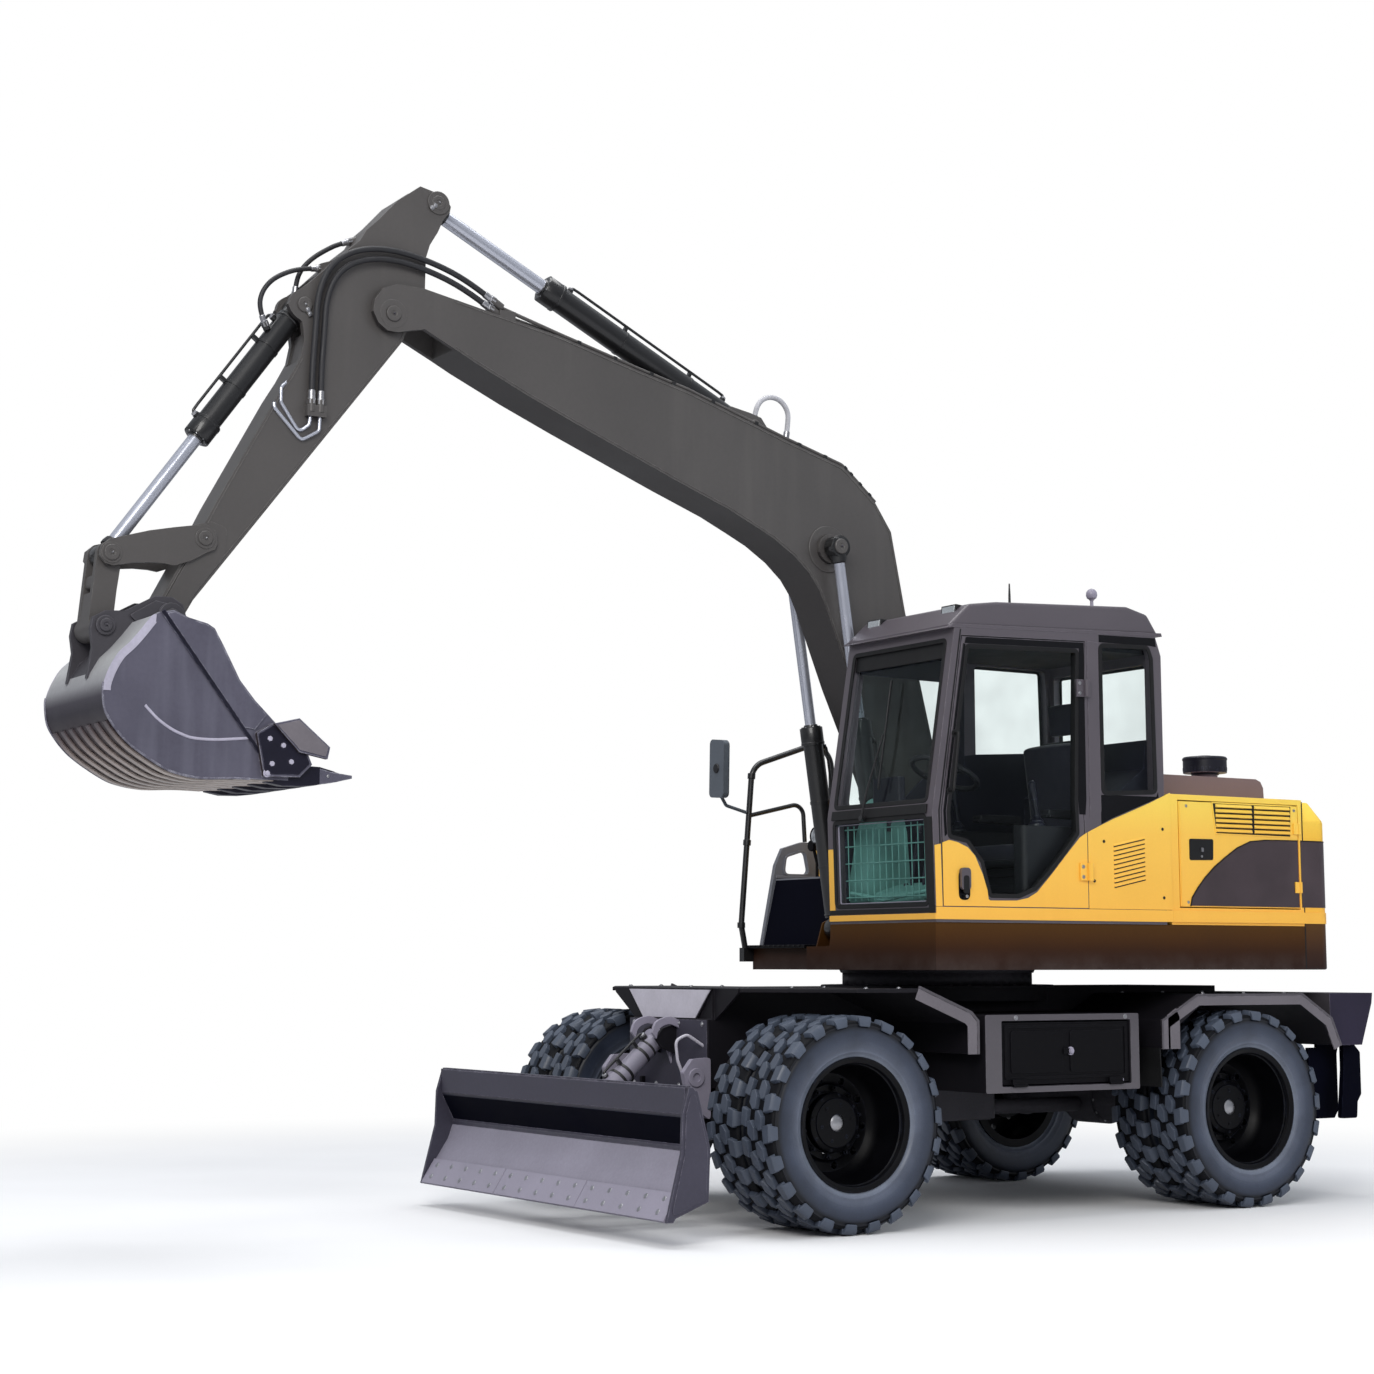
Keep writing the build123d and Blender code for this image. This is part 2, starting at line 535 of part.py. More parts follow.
with BuildPart() as handrail:
    add(tube_path([(480, -1165, 1300), (520, -1165, 1500), (440, -1165, 2430), (-130, -1165, 2620), (-130, -1165, 2060)], 17, [60, 120, 130]))
    add(tube_path([(452, -1165, 2140), (80, -1165, 2225), (80, -1146, 1993)], 13, 60))
done(handrail, "handrail")

with BuildPart() as mirror:
    add(tube_path([(486, -1163, 2156), (640, -1140, 2190), (706, -1110, 2260)], 10, 40))
    add(slab_x([(-1190, 2236), (-1040, 2226), (-1030, 2560), (-1180, 2575)], 688, 726, r=30))
done(mirror, "mirror")

# ---------------------------------------------------------------------------
# Cab
# ---------------------------------------------------------------------------
# outline of the cab side, (x, z): sill, nose, windscreen, roof, back
CAB_SIDE = [(930, CAB_FLOOR - 20), (945, 2030), (790, 2960), (-560, 3010), (-600, 2900), (-600, CAB_FLOOR - 20)]
CAB_ROOF = [(830, 2960), (690, 3085), (500, 3110), (-380, 3152), (-520, 3120), (-600, 3011), (-560, 3010)]
# side openings: front door, rear quarter window
DOOR_OUTLINE = [(885, 1560), (893, 2030), (748, 2920), (-70, 2945), (-40, 2100), (-60, 1560)]
DOOR_WINDOW = [(845, 1900), (850, 2030), (715, 2872), (-20, 2895), (5, 2110), (0, 1940), (80, 1850), (190, 1740), (290, 1650), (400, 1610), (590, 1610), (640, 1780), (730, 1880)]
QUARTER_WINDOW = [(-170, 2150), (-170, 2935), (-510, 2945), (-535, 2880), (-545, 2170)]


def inset(points, d):
    """Outline drawn in by d on all sides."""
    n = len(points)
    area = sum(points[i][0] * points[(i + 1) % n][1] - points[(i + 1) % n][0] * points[i][1] for i in range(n))
    s = 1.0 if area > 0 else -1.0
    lines = []
    for i in range(n):
        (x0, z0), (x1, z1) = points[i], points[(i + 1) % n]
        length = math.hypot(x1 - x0, z1 - z0)
        nx, nz = -(z1 - z0) / length * s, (x1 - x0) / length * s
        lines.append((x0 + nx * d, z0 + nz * d, x1 - x0, z1 - z0))
    out = []
    for i in range(n):
        ax, az, adx, adz = lines[i - 1]
        bx, bz, bdx, bdz = lines[i]
        det = adx * bdz - adz * bdx
        t = ((bx - ax) * bdz - (bz - az) * bdx) / det
        out.append((ax + adx * t, az + adz * t))
    return out


with BuildPart() as cab_shell:
    add(slab_y(CAB_SIDE, CAB_IN, CAB_OUT))
    add(slab_y(inset(CAB_SIDE, CAB_WALL), CAB_IN + CAB_WALL, CAB_OUT - CAB_WALL), mode=Mode.SUBTRACT)
    # door opening and quarter window on the left, one long window on the right
    add(slab_y(DOOR_OUTLINE, CAB_OUT - 90, CAB_OUT + 10), mode=Mode.SUBTRACT)
    add(slab_y(QUARTER_WINDOW, CAB_OUT - 90, CAB_OUT + 10, r=30), mode=Mode.SUBTRACT)
    add(slab_y([(840, 2090), (720, 2890), (60, 2900), (60, 2090)], CAB_IN - 10, CAB_IN + 90, r=30), mode=Mode.SUBTRACT)
    add(slab_y([(-20, 2090), (-20, 2900), (-520, 2900), (-540, 2090)], CAB_IN - 10, CAB_IN + 90, r=30), mode=Mode.SUBTRACT)
    # windscreen, lower front pane, rear window
    add(slab_x([(CAB_IN + 60, 2085), (CAB_OUT - 60, 2085), (CAB_OUT - 60, 2895), (CAB_IN + 60, 2895)], 640, 1000), mode=Mode.SUBTRACT)
    add(slab_x([(CAB_IN + 60, 1570), (CAB_OUT - 60, 1570), (CAB_OUT - 60, 2005), (CAB_IN + 60, 2005)], 840, 1000, r=25), mode=Mode.SUBTRACT)
    add(slab_x([(CAB_IN + 80, 2250), (CAB_OUT - 80, 2250), (CAB_OUT - 80, 2860), (CAB_IN + 80, 2860)], -700, -500, r=25), mode=Mode.SUBTRACT)
done(cab_shell, "cab_shell")

with BuildPart() as cab_roof:
    add(slab_y(CAB_ROOF, CAB_IN + 5, CAB_OUT - 5))
done(cab_roof, "cab_roof")

with BuildPart() as cab_door:
    add(slab_y(inset(DOOR_OUTLINE, 6), CAB_OUT - 40, CAB_OUT))
    # glazing opening with the rising lower edge
    add(slab_y(DOOR_WINDOW, CAB_OUT - 60, CAB_OUT + 10, r=18), mode=Mode.SUBTRACT)
    add(slab_y([(725, 1640), (785, 1640), (785, 1750), (725, 1750)], CAB_OUT - 5, CAB_OUT + 22, r=20))
    # hinge knuckles
    for z0 in (1700, 2650):
        add(drum_z(-62, CAB_OUT + 20, 16, z0, z0 + 90))
        add(block(-62, 0, CAB_OUT + 4, CAB_OUT + 14, z0, z0 + 90))
        add(block(-30, 0, CAB_OUT - 5, CAB_OUT + 14, z0, z0 + 90))
done(cab_door, "cab_door")

with BuildPart() as door_glass:
    add(slab_y(inset(DOOR_WINDOW, 1), CAB_OUT - 24, CAB_OUT - 18, r=18))
done(door_glass, "door_glass")

with BuildPart() as cab_glass:
    add(slab_y(inset(QUARTER_WINDOW, 1), CAB_OUT - 24, CAB_OUT - 18, r=29))
    add(slab_y(inset([(840, 2090), (720, 2890), (60, 2900), (60, 2090)], 1), CAB_IN + 18, CAB_IN + 24, r=29))
    add(slab_y(inset([(-20, 2090), (-20, 2900), (-520, 2900), (-540, 2090)], 1), CAB_IN + 18, CAB_IN + 24, r=29))
    add(slab_x(inset([(CAB_IN + 80, 2250), (CAB_OUT - 80, 2250), (CAB_OUT - 80, 2860), (CAB_IN + 80, 2860)], 1), -588, -582, r=24))
    add(slab_x(inset([(CAB_IN + 60, 1570), (CAB_OUT - 60, 1570), (CAB_OUT - 60, 2005), (CAB_IN + 60, 2005)], 1), 906, 912, r=24))
    # sloping windscreen
    slope = (790.0 - 945.0) / (2960.0 - 2030.0)
    x_low, x_high = 945 - 30 + slope * (2086 - 2030), 945 - 30 + slope * (2894 - 2030)
    add(slab_y([(x_low, 2086), (x_high, 2894), (x_high - 6, 2894), (x_low - 6, 2086)], CAB_IN + 61, CAB_OUT - 61))
done(cab_glass, "cab_glass")

with BuildPart() as seat:
    add(block(-260, 180, 540, 960, 1525 + 20, 1780, r=30))
    add(block(-300, 230, 500, 1000, 1780, 1900, r=40))
    add(slab_y([(-300, 1850), (-180, 1850), (-250, 2480), (-350, 2480)], 510, 990, r=30))
    add(slab_y([(-330, 2480), (-270, 2480), (-290, 2680), (-350, 2680)], 640, 860, r=20))
done(seat, "seat")

with BuildPart() as cab_controls:
    # steering column and wheel, side consoles
    add(slab_y([(560, 1546), (640, 1546), (560, 2230), (520, 2220)], 720, 780))
    with BuildSketch(Plane(origin=(SLEW_X + 520, 750, 2250), x_dir=(0, 1, 0), z_dir=(-0.42, 0, 0.9075))):
        Circle(190)
        Circle(165, mode=Mode.SUBTRACT)
        Rectangle(370, 24)
        Circle(40)
    extrude(amount=22)
    for y0, y1 in ((360, 480), (1020, 1120)):
        add(block(-200, 300, y0, y1, 1546, 1980, r=30))
done(cab_controls, "cab_controls")

# ---------------------------------------------------------------------------
# Front linkage
# ---------------------------------------------------------------------------
BOOM_OUTLINE = [
    # upper edge from the foot to the tip, then the lower edge back
    (-45, 1770), (-30, 1900), (132, 2543), (296, 3197), (387, 3636), (490, 3785), (629, 3902), (709, 3966), (1086, 4073), (1700, 4262), (2005, 4334),
    (2484, 4455), (2916, 4530), (3080, 4560), (3080, 4307), (2966, 4252), (2677, 4126), (2382, 4008), (2081, 3892), (1772, 3774), (1457, 3659), (1296, 3587), (1167, 3527),
    (1036, 3445), (937, 3359), (872, 3271), (826, 3174), (753, 2997), (661, 2770), (555, 2543), (275, 1900), (210, 1740), (160, 1660), (80, 1630), (-10, 1675),
]
BOOM_FORK = [(2916, 4530), (3250, 4590), (3400, 4592), (3480, 4560), (3520, 4500), (3528, 4440), (3500, 4385), (3450, 4352), (3395, 4350), (3330, 4368), (3250, 4386), (3080, 4307), (2916, 4232)]
ARM_HOSE_1 = [(2867, 112, 4598), (2981, 117, 4661), (3160, 126, 4724), (3400, 134, 4766), (3600, 134, 4745), (3745, 128, 4655), (3815, 122, 4500), (3822, 119, 4300), (3835, 118, 4110), (3835, 118, 3963)]
ARM_HOSE_2 = [(2878, 112, 4553), (2995, 116, 4617), (3175, 124, 4679), (3395, 130, 4718), (3575, 130, 4698), (3706, 126, 4620), (3770, 121, 4480), (3776, 118, 4295), (3788, 118, 4110), (3788, 118, 3963)]
BOOM_HOSE = [(1199, 0, 4187), (1191, 4, 4272), (1128, 8, 4333), (1038, 8, 4333), (976, 4, 4272), (978, 0, 4190), (990, -2, 4112)]
BUCKET_HOSE_1 = [(4046, 22, 4335), (4074, 25, 4396), (4070, 27, 4471), (4021, 28, 4546), (3936, 28, 4600), (3850, 27, 4630), (3778, 26, 4640)]
BUCKET_HOSE_2 = [(3872, -22, 4512), (3867, -24, 4580), (3834, -26, 4650), (3777, -26, 4710), (3712, -25, 4757), (3650, -24, 4795), (3598, -23, 4814)]
HOSE_R = 15.0               # boom and arm hoses
THIN_HOSE_R = 12.0          # bucket cylinder hoses
with BuildPart() as boom:
    add(slab_y(BOOM_OUTLINE, -BOOM_HALF_W, BOOM_HALF_W))
    # pocket for the arm cylinder's foot
    add(slab_y([(1115, 4400), (1115, 4060), (1175, 3992), (1310, 3990), (1840, 4228), (1990, 4400)], -78, 78), mode=Mode.SUBTRACT)
    for sy in (-1, 1):
        a, b = sorted((sy * 112, sy * BOOM_HALF_W))
        add(slab_y(BOOM_FORK, a, b))
        # bosses of the boom cylinder eyes
        a, b = sorted((sy * BOOM_HALF_W, sy * 172))
        add(drum_y(BOOM_CYL_EYE, 78, a, b))
        # lugs of the arm cylinder foot
        a, b = sorted((sy * 78, sy * 104))
        add(slab_y([(1170, 4050), (1186, 4140), (1222, 4186), (1290, 4204), (1414, 4226), (1490, 4190), (1490, 4100)], a, b))
    add(drum_y(ARM_CYL_FOOT, 32, -80, 80))
    add(drum_y(ARM_PIVOT, 42, -112, 112))
    with BuildSketch(side_plane(-200)):
        with Locations(BOOM_FOOT):
            Circle(45 + FIT)
    extrude(amount=-400, mode=Mode.SUBTRACT)
    # hose ends: manifold on the top plate, fitting behind the bend
    add(block(2740, 2830, 86, 138, 4470, 4545))
    for route in (ARM_HOSE_1, ARM_HOSE_2):
        add(stub(route, 21, 70))
    add(stub(BOOM_HOSE, 21, 80, -1))
done(boom, "boom")

ARM_OUTLINE = [
    # ear, rear edge down to the tip, front edge up, top edge back to the ear
    (3170, 5106), (3113, 5084), (3091, 5047), (3096, 5020), (3134, 4970), (3161, 4906), (3205, 4832), (3226, 4762), (3229, 4598), (3350, 4316),
    (4246, 3149), (4398, 2947), (4452, 2850), (4480, 2800), (4530, 2783), (4578, 2806), (4594, 2855), (4580, 2900), (4536, 2974), (4453, 3133), (4354, 3304), (4302, 3410), (4182, 3631), (4060, 3855),
    (4001, 3966), (3936, 4073), (3886, 4169), (3868, 4260), (3880, 4345), (3940, 4390), (3956, 4425), (3907, 4495), (3856, 4537), (3805, 4585), (3700, 4692), (3585, 4795), (3553, 4852), (3490, 4913),
    (3383, 5033), (3328, 5074), (3262, 5125),
]
with BuildPart() as arm:
    add(slab_y(ARM_OUTLINE, -ARM_HALF_W, ARM_HALF_W))
    # slots of the arm cylinder eye and of the bucket cylinder foot
    add(slab_y([(2950, 4790), (3225, 4800), (3296, 4960), (3300, 5200), (2950, 5200)], -44, 44), mode=Mode.SUBTRACT)
    add(slab_y([(3790, 4800), (3782, 4430), (3800, 4345), (3850, 4300), (3880, 4150), (4200, 4150), (4200, 4800)], -62, 62), mode=Mode.SUBTRACT)
    # ears that carry the bucket cylinder foot pin and the lever pin
    for y0, y1 in ((-95, -62), (62, 95)):
        add(drum_y(BUCKET_CYL_FOOT, 78, y0, y1))
    add(drum_y(BUCKET_CYL_FOOT, 30, -62, 62))
    add(drum_y(LEVER_PIVOT, 62, -ARM_HALF_W, ARM_HALF_W))
    add(drum_y(LEVER_PIVOT, 30, -118, 118))
    for pin, r in ((ARM_PIVOT, 42), (BUCKET_PIVOT, 34)):
        with BuildSketch(side_plane(-200)):
            with Locations(pin):
                Circle(r + FIT)
        extrude(amount=-400, mode=Mode.SUBTRACT)
    # hose ends: block on the side, two fittings on the top edge
    add(block(3762, 3861, 90, 134, 3880, 3935))
    for route in (ARM_HOSE_1, ARM_HOSE_2):
        add(stub(route, 21, 60, -1))
    add(stub(BUCKET_HOSE_1, 18, 60, -1))
    add(slab_y([(3700, 4670), (3740, 4628), (3768, 4600), (3768, 4664), (3716, 4684), (3700, 4692)], 6, 46))
    add(stub(BUCKET_HOSE_2, 18, 60, -1))
    add(slab_y([(3540, 4840), (3560, 4780), (3582, 4760), (3582, 4815), (3552, 4850)], -43, -3))
done(arm, "arm")

# bucket: curved shell, side plates, ears, cutting lip, side cutters, teeth
BUCKET_OUT = [(3935, 2106), (4163, 2104), (4300, 2106), (4455, 2100), (4565, 2116), (4640, 2143), (4755, 2211), (4822, 2264), (4875, 2326), (4909, 2386), (4921, 2470), (4918, 2505), (4895, 2570), (4855, 2640), (4805, 2690), (4758, 2746), (4705, 2815), (4684, 2822)]
BUCKET_IN = [(4677, 2797), (4694, 2786), (4738, 2730), (4784, 2672), (4832, 2625), (4870, 2560), (4893, 2500), (4895, 2472), (4884, 2394), (4853, 2340), (4804, 2284), (4742, 2234), (4630, 2168), (4560, 2142), (4455, 2127), (4300, 2133), (4163, 2132), (3935, 2134)]
BUCKET_SIDE = [(3975, 2106)] + BUCKET_OUT[1:-1] + [(4668, 2836), (4600, 2848), (4530, 2820), (4442, 2800), (4407, 2780), (4356, 2693), (4280, 2552), (4206, 2465), (4106, 2369), (4010, 2250)]
EAR = [(4446, 2850), (4466, 2915), (4520, 2945), (4600, 2944), (4740, 2866), (4833, 2860), (4890, 2828), (4900, 2770), (4888, 2690), (4911, 2545), (4880, 2570), (4820, 2660), (4770, 2718), (4712, 2800), (4630, 2826), (4560, 2790), (4500, 2782), (4455, 2806)]
TEETH_Y = (-370, -185, 0, 185, 370)
with BuildPart() as bucket:
    add(slab_y(BUCKET_OUT + BUCKET_IN, -BUCKET_HALF_W, BUCKET_HALF_W))
    for sy in (-1, 1):
        a, b = sorted((sy * (BUCKET_HALF_W - 22), sy * BUCKET_HALF_W))
        add(slab_y(BUCKET_SIDE, a, b))
        # side cutter: flat plate and its flared leading plate
        a, b = sorted((sy * (BUCKET_HALF_W - 2), sy * (BUCKET_HALF_W + 24)))
        add(slab_y([(4202, 2314), (4130, 2358), (4022, 2380), (3955, 2239), (3929, 2180), (3990, 2120), (4163, 2118)], a, b))
        a, b = sorted((sy * (BUCKET_HALF_W + 20), sy * (BUCKET_HALF_W + 46)))
        add(slab_y([(4127, 2359), (4005, 2389), (3850, 2262), (3862, 2207), (4002, 2233)], a, b))
        # ear plates for the pivot and the link pin
        a, b = sorted((sy * 124, sy * 150))
        add(slab_y(EAR, a, b))
    add(drum_y(BUCKET_PIVOT, 34, -125, 125))
    add(drum_y(BUCKET_PIN, 30, -125, 125))
    for y in TEETH_Y:
        a, b = max(y - 34, -BUCKET_HALF_W), min(y + 34, BUCKET_HALF_W)
        add(slab_y([(4030, 2086), (4030, 2150), (3935, 2178), (3820, 2152), (3718, 2140), (3718, 2126), (3820, 2102), (3935, 2086)], a, b))
done(bucket, "bucket")

LEVER = [(4292, 3222), (4304, 3280), (4350, 3305), (4429, 3292), (4503, 3278), (4623, 3252), (4811, 3196), (4850, 3162), (4856, 3118), (4830, 3082), (4790, 3074), (4699, 3095), (4618, 3104), (4546, 3104), (4500, 3098), (4420, 3128), (4350, 3170), (4306, 3190)]
with BuildPart() as tipping_lever:
    for y0, y1 in ((-118, -98), (98, 118)):
        add(slab_y(LEVER, y0, y1))
    for y0, y1 in ((-98, -90), (90, 98)):
        add(drum_y(LINK_PIN, 50, y0, y1))
    with BuildSketch(side_plane(-200)):
        with Locations(LEVER_PIVOT):
            Circle(30 + FIT)
    extrude(amount=-400, mode=Mode.SUBTRACT)
done(tipping_lever, "tipping_lever")

with BuildPart() as bucket_link:
    lx, lz = LINK_PIN
    bx, bz = BUCKET_PIN
    for y0, y1 in ((-84, -50), (50, 84)):
        add(drum_y(LINK_PIN, 56, y0, y1))
        add(slab_y([(lx - 56, lz), (lx + 56, lz), (bx + 56, bz), (bx - 56, bz)], y0, y1))
    add(slab_y([(bx - 70, bz + 160), (bx + 38, bz + 160), (bx + 56, bz), (bx - 56, bz)], -50, 50))
    add(drum_y(BUCKET_PIN, 56, -112, 112))
    with BuildSketch(side_plane(-200)):
        with Locations(BUCKET_PIN):
            Circle(30 + FIT)
    extrude(amount=-400, mode=Mode.SUBTRACT)
done(bucket_link, "bucket_link")

# ---------------------------------------------------------------------------
# Cylinders.  Foot pin, eye pin, planes across, barrel and rod radii, barrel
# length, half widths of the foot eye and of the rod eye.
# ---------------------------------------------------------------------------
CYLINDERS = [
    # name, foot, eye, ys, r_barrel, r_rod, barrel, foot_half, eye_half, pin_r, foot_r, rod_tail
    ("boom_cylinder", BOOM_CYL_FOOT, BOOM_CYL_EYE, (-226, 226), 54, 30, 1110, 36, 36, 36, 58, 1030),
    ("arm_cylinder", ARM_CYL_FOOT, ARM_CYL_EYE, (0,), 66, 38, 1380, 70, 40, 32, 62, 1080),
    ("bucket_cylinder", BUCKET_CYL_FOOT, LINK_PIN, (0,), 58, 34, 850, 56, 38, 30, 56, 820),
    ("blade_cylinder", BLADE_CYL_FOOT, BLADE_CYL_EYE, (0,), 50, 28, 390, 60, 44, 22, 46, 330),
]
for name, foot, eye, ys, rb, rr, barrel_len, foot_half, eye_half, pin_r, foot_r, rod_tail in CYLINDERS:
    span = length_between(foot, eye)
    with BuildPart() as barrel:
        for y in ys:
            add(drum_y(foot, foot_r, y - foot_half, y + foot_half))
            add(run(foot, eye, y, min(foot_half, rb) - 2, foot_r * 0.6, foot_r + 8))
            add(run(foot, eye, y, rb, foot_r + 6, barrel_len))
            add(run(foot, eye, y, rb + 9, barrel_len - 90, barrel_len))
        for y in ys:
            with BuildSketch(side_plane(y - 200)):
                with Locations(foot):
                    Circle(pin_r + FIT)
            extrude(amount=-400, mode=Mode.SUBTRACT)
            add(run(foot, eye, y, rr + FIT, foot_r + 30, barrel_len + 1), mode=Mode.SUBTRACT)
        # ports where the hoses leave
        if name == "arm_cylinder":
            add(stub(BOOM_HOSE, 21, 46))
        if name == "bucket_cylinder":
            add(stub(BUCKET_HOSE_1, 18, 38))
            add(stub(BUCKET_HOSE_2, 18, 34))
    done(barrel, name + "_barrel")
    with BuildPart() as rod:
        for y in ys:
            add(run(foot, eye, y, rr, span - rod_tail, span - 30))
            add(drum_y(eye, pin_r + 24, y - eye_half, y + eye_half))
    done(rod, name + "_rod")

# ---------------------------------------------------------------------------
# Hoses: straight runs joined by tangent arcs, each in its own node
# ---------------------------------------------------------------------------
HOSES = [
    # name, route, radius
    ("arm_hose_outer", ARM_HOSE_1, HOSE_R),
    ("arm_hose_inner", ARM_HOSE_2, HOSE_R),
    ("boom_hose", BOOM_HOSE, 14.0),
    ("bucket_hose_left", BUCKET_HOSE_1, THIN_HOSE_R),
    ("bucket_hose_right", BUCKET_HOSE_2, THIN_HOSE_R),
]
for name, route, r in HOSES:
    radii = corner_radii(route)
    with BuildPart() as hose:
        add(tube_path(route, r, radii))
    length = hose.part.volume / (math.pi * r * r)
    print(name, "length", round(length), "smallest radius", round(min(radii)), "radii", [round(v) for v in radii])
    done(hose, name)
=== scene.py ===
import bpy, bmesh, json, math, random
from mathutils import Vector, Matrix


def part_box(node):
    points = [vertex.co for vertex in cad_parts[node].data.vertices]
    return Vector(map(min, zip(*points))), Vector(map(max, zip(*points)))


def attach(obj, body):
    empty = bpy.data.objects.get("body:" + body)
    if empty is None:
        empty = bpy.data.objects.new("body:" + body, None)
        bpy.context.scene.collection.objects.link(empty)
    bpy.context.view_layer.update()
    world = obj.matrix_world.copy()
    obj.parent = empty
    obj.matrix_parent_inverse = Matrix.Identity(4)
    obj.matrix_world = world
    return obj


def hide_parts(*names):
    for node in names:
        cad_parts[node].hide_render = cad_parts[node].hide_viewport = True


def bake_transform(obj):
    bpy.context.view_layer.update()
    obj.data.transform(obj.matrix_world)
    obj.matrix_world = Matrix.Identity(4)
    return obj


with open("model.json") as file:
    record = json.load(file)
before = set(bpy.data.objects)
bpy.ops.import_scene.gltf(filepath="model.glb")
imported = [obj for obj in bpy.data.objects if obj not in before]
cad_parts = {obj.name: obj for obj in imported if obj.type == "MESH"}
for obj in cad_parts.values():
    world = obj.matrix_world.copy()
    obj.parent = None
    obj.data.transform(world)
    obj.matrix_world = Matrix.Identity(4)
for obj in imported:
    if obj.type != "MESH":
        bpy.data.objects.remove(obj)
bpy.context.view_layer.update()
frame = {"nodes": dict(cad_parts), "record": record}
ring_low, ring_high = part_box("slew_ring")
OX = (ring_low.x + ring_high.x) / 2          # slew centre in the part's frame, metres
SCENE = bpy.context.scene.collection
rnd = random.Random(11)


def P(x, y, z):
    """Millimetres counted from the slew centre, as a point of the frame in metres."""
    return Vector((x / 1000 + OX, y / 1000, z / 1000))


# ---------------------------------------------------------------------------
# Camera
# ---------------------------------------------------------------------------
cam_d = bpy.data.cameras.new("view_camera")
cam = bpy.data.objects.new("view_camera", cam_d)
SCENE.objects.link(cam)
yaw, pitch = math.radians(-122.226), math.radians(7.493)
look = Vector((math.cos(pitch) * math.cos(yaw), math.cos(pitch) * math.sin(yaw), math.sin(pitch)))
cam.location = (OX + 8.553, 10.971, 1.265)
cam.rotation_euler = look.to_track_quat('-Z', 'Y').to_euler()
cam_d.sensor_width = 36.0
cam_d.lens = 65.18
cam_d.shift_x = 0.00106
cam_d.shift_y = -0.0351
cam_d.clip_end = 500
bpy.context.scene.camera = cam


# ---------------------------------------------------------------------------
# Materials
# ---------------------------------------------------------------------------
def srgb(r, g, b):
    return tuple(((c / 12.92) if c <= 0.04045 else ((c + 0.055) / 1.055) ** 2.4) for c in (r / 255, g / 255, b / 255)) + (1.0,)


def node(t, kind, props=None, ins=None):
    n = t.nodes.new(kind)
    for k, v in (props or {}).items():
        setattr(n, k, v)
    for k, v in (ins or {}).items():
        if isinstance(v, bpy.types.NodeSocket):
            t.links.new(v, n.inputs[k])
        else:
            n.inputs[k].default_value = v
    return n


def ramp(t, fac, stops, interp='LINEAR'):
    n = t.nodes.new("ShaderNodeValToRGB")
    n.color_ramp.interpolation = interp
    while len(n.color_ramp.elements) > 1:
        n.color_ramp.elements.remove(n.color_ramp.elements[-1])
    n.color_ramp.elements[0].position = stops[0][0]
    n.color_ramp.elements[0].color = stops[0][1]
    for p, c in stops[1:]:
        n.color_ramp.elements.new(p).color = c
    t.links.new(fac, n.inputs[0])
    return n.outputs[0]


def grey(v):
    return (v, v, v, 1.0)


def mixc(t, fac, a, b, kind='MIX'):
    n = t.nodes.new("ShaderNodeMix")
    n.data_type = 'RGBA'
    n.blend_type = kind
    for s, v in ((n.inputs[0], fac), (n.inputs[6], a), (n.inputs[7], b)):
        if isinstance(v, bpy.types.NodeSocket):
            t.links.new(v, s)
        else:
            s.default_value = v
    return n.outputs[2]


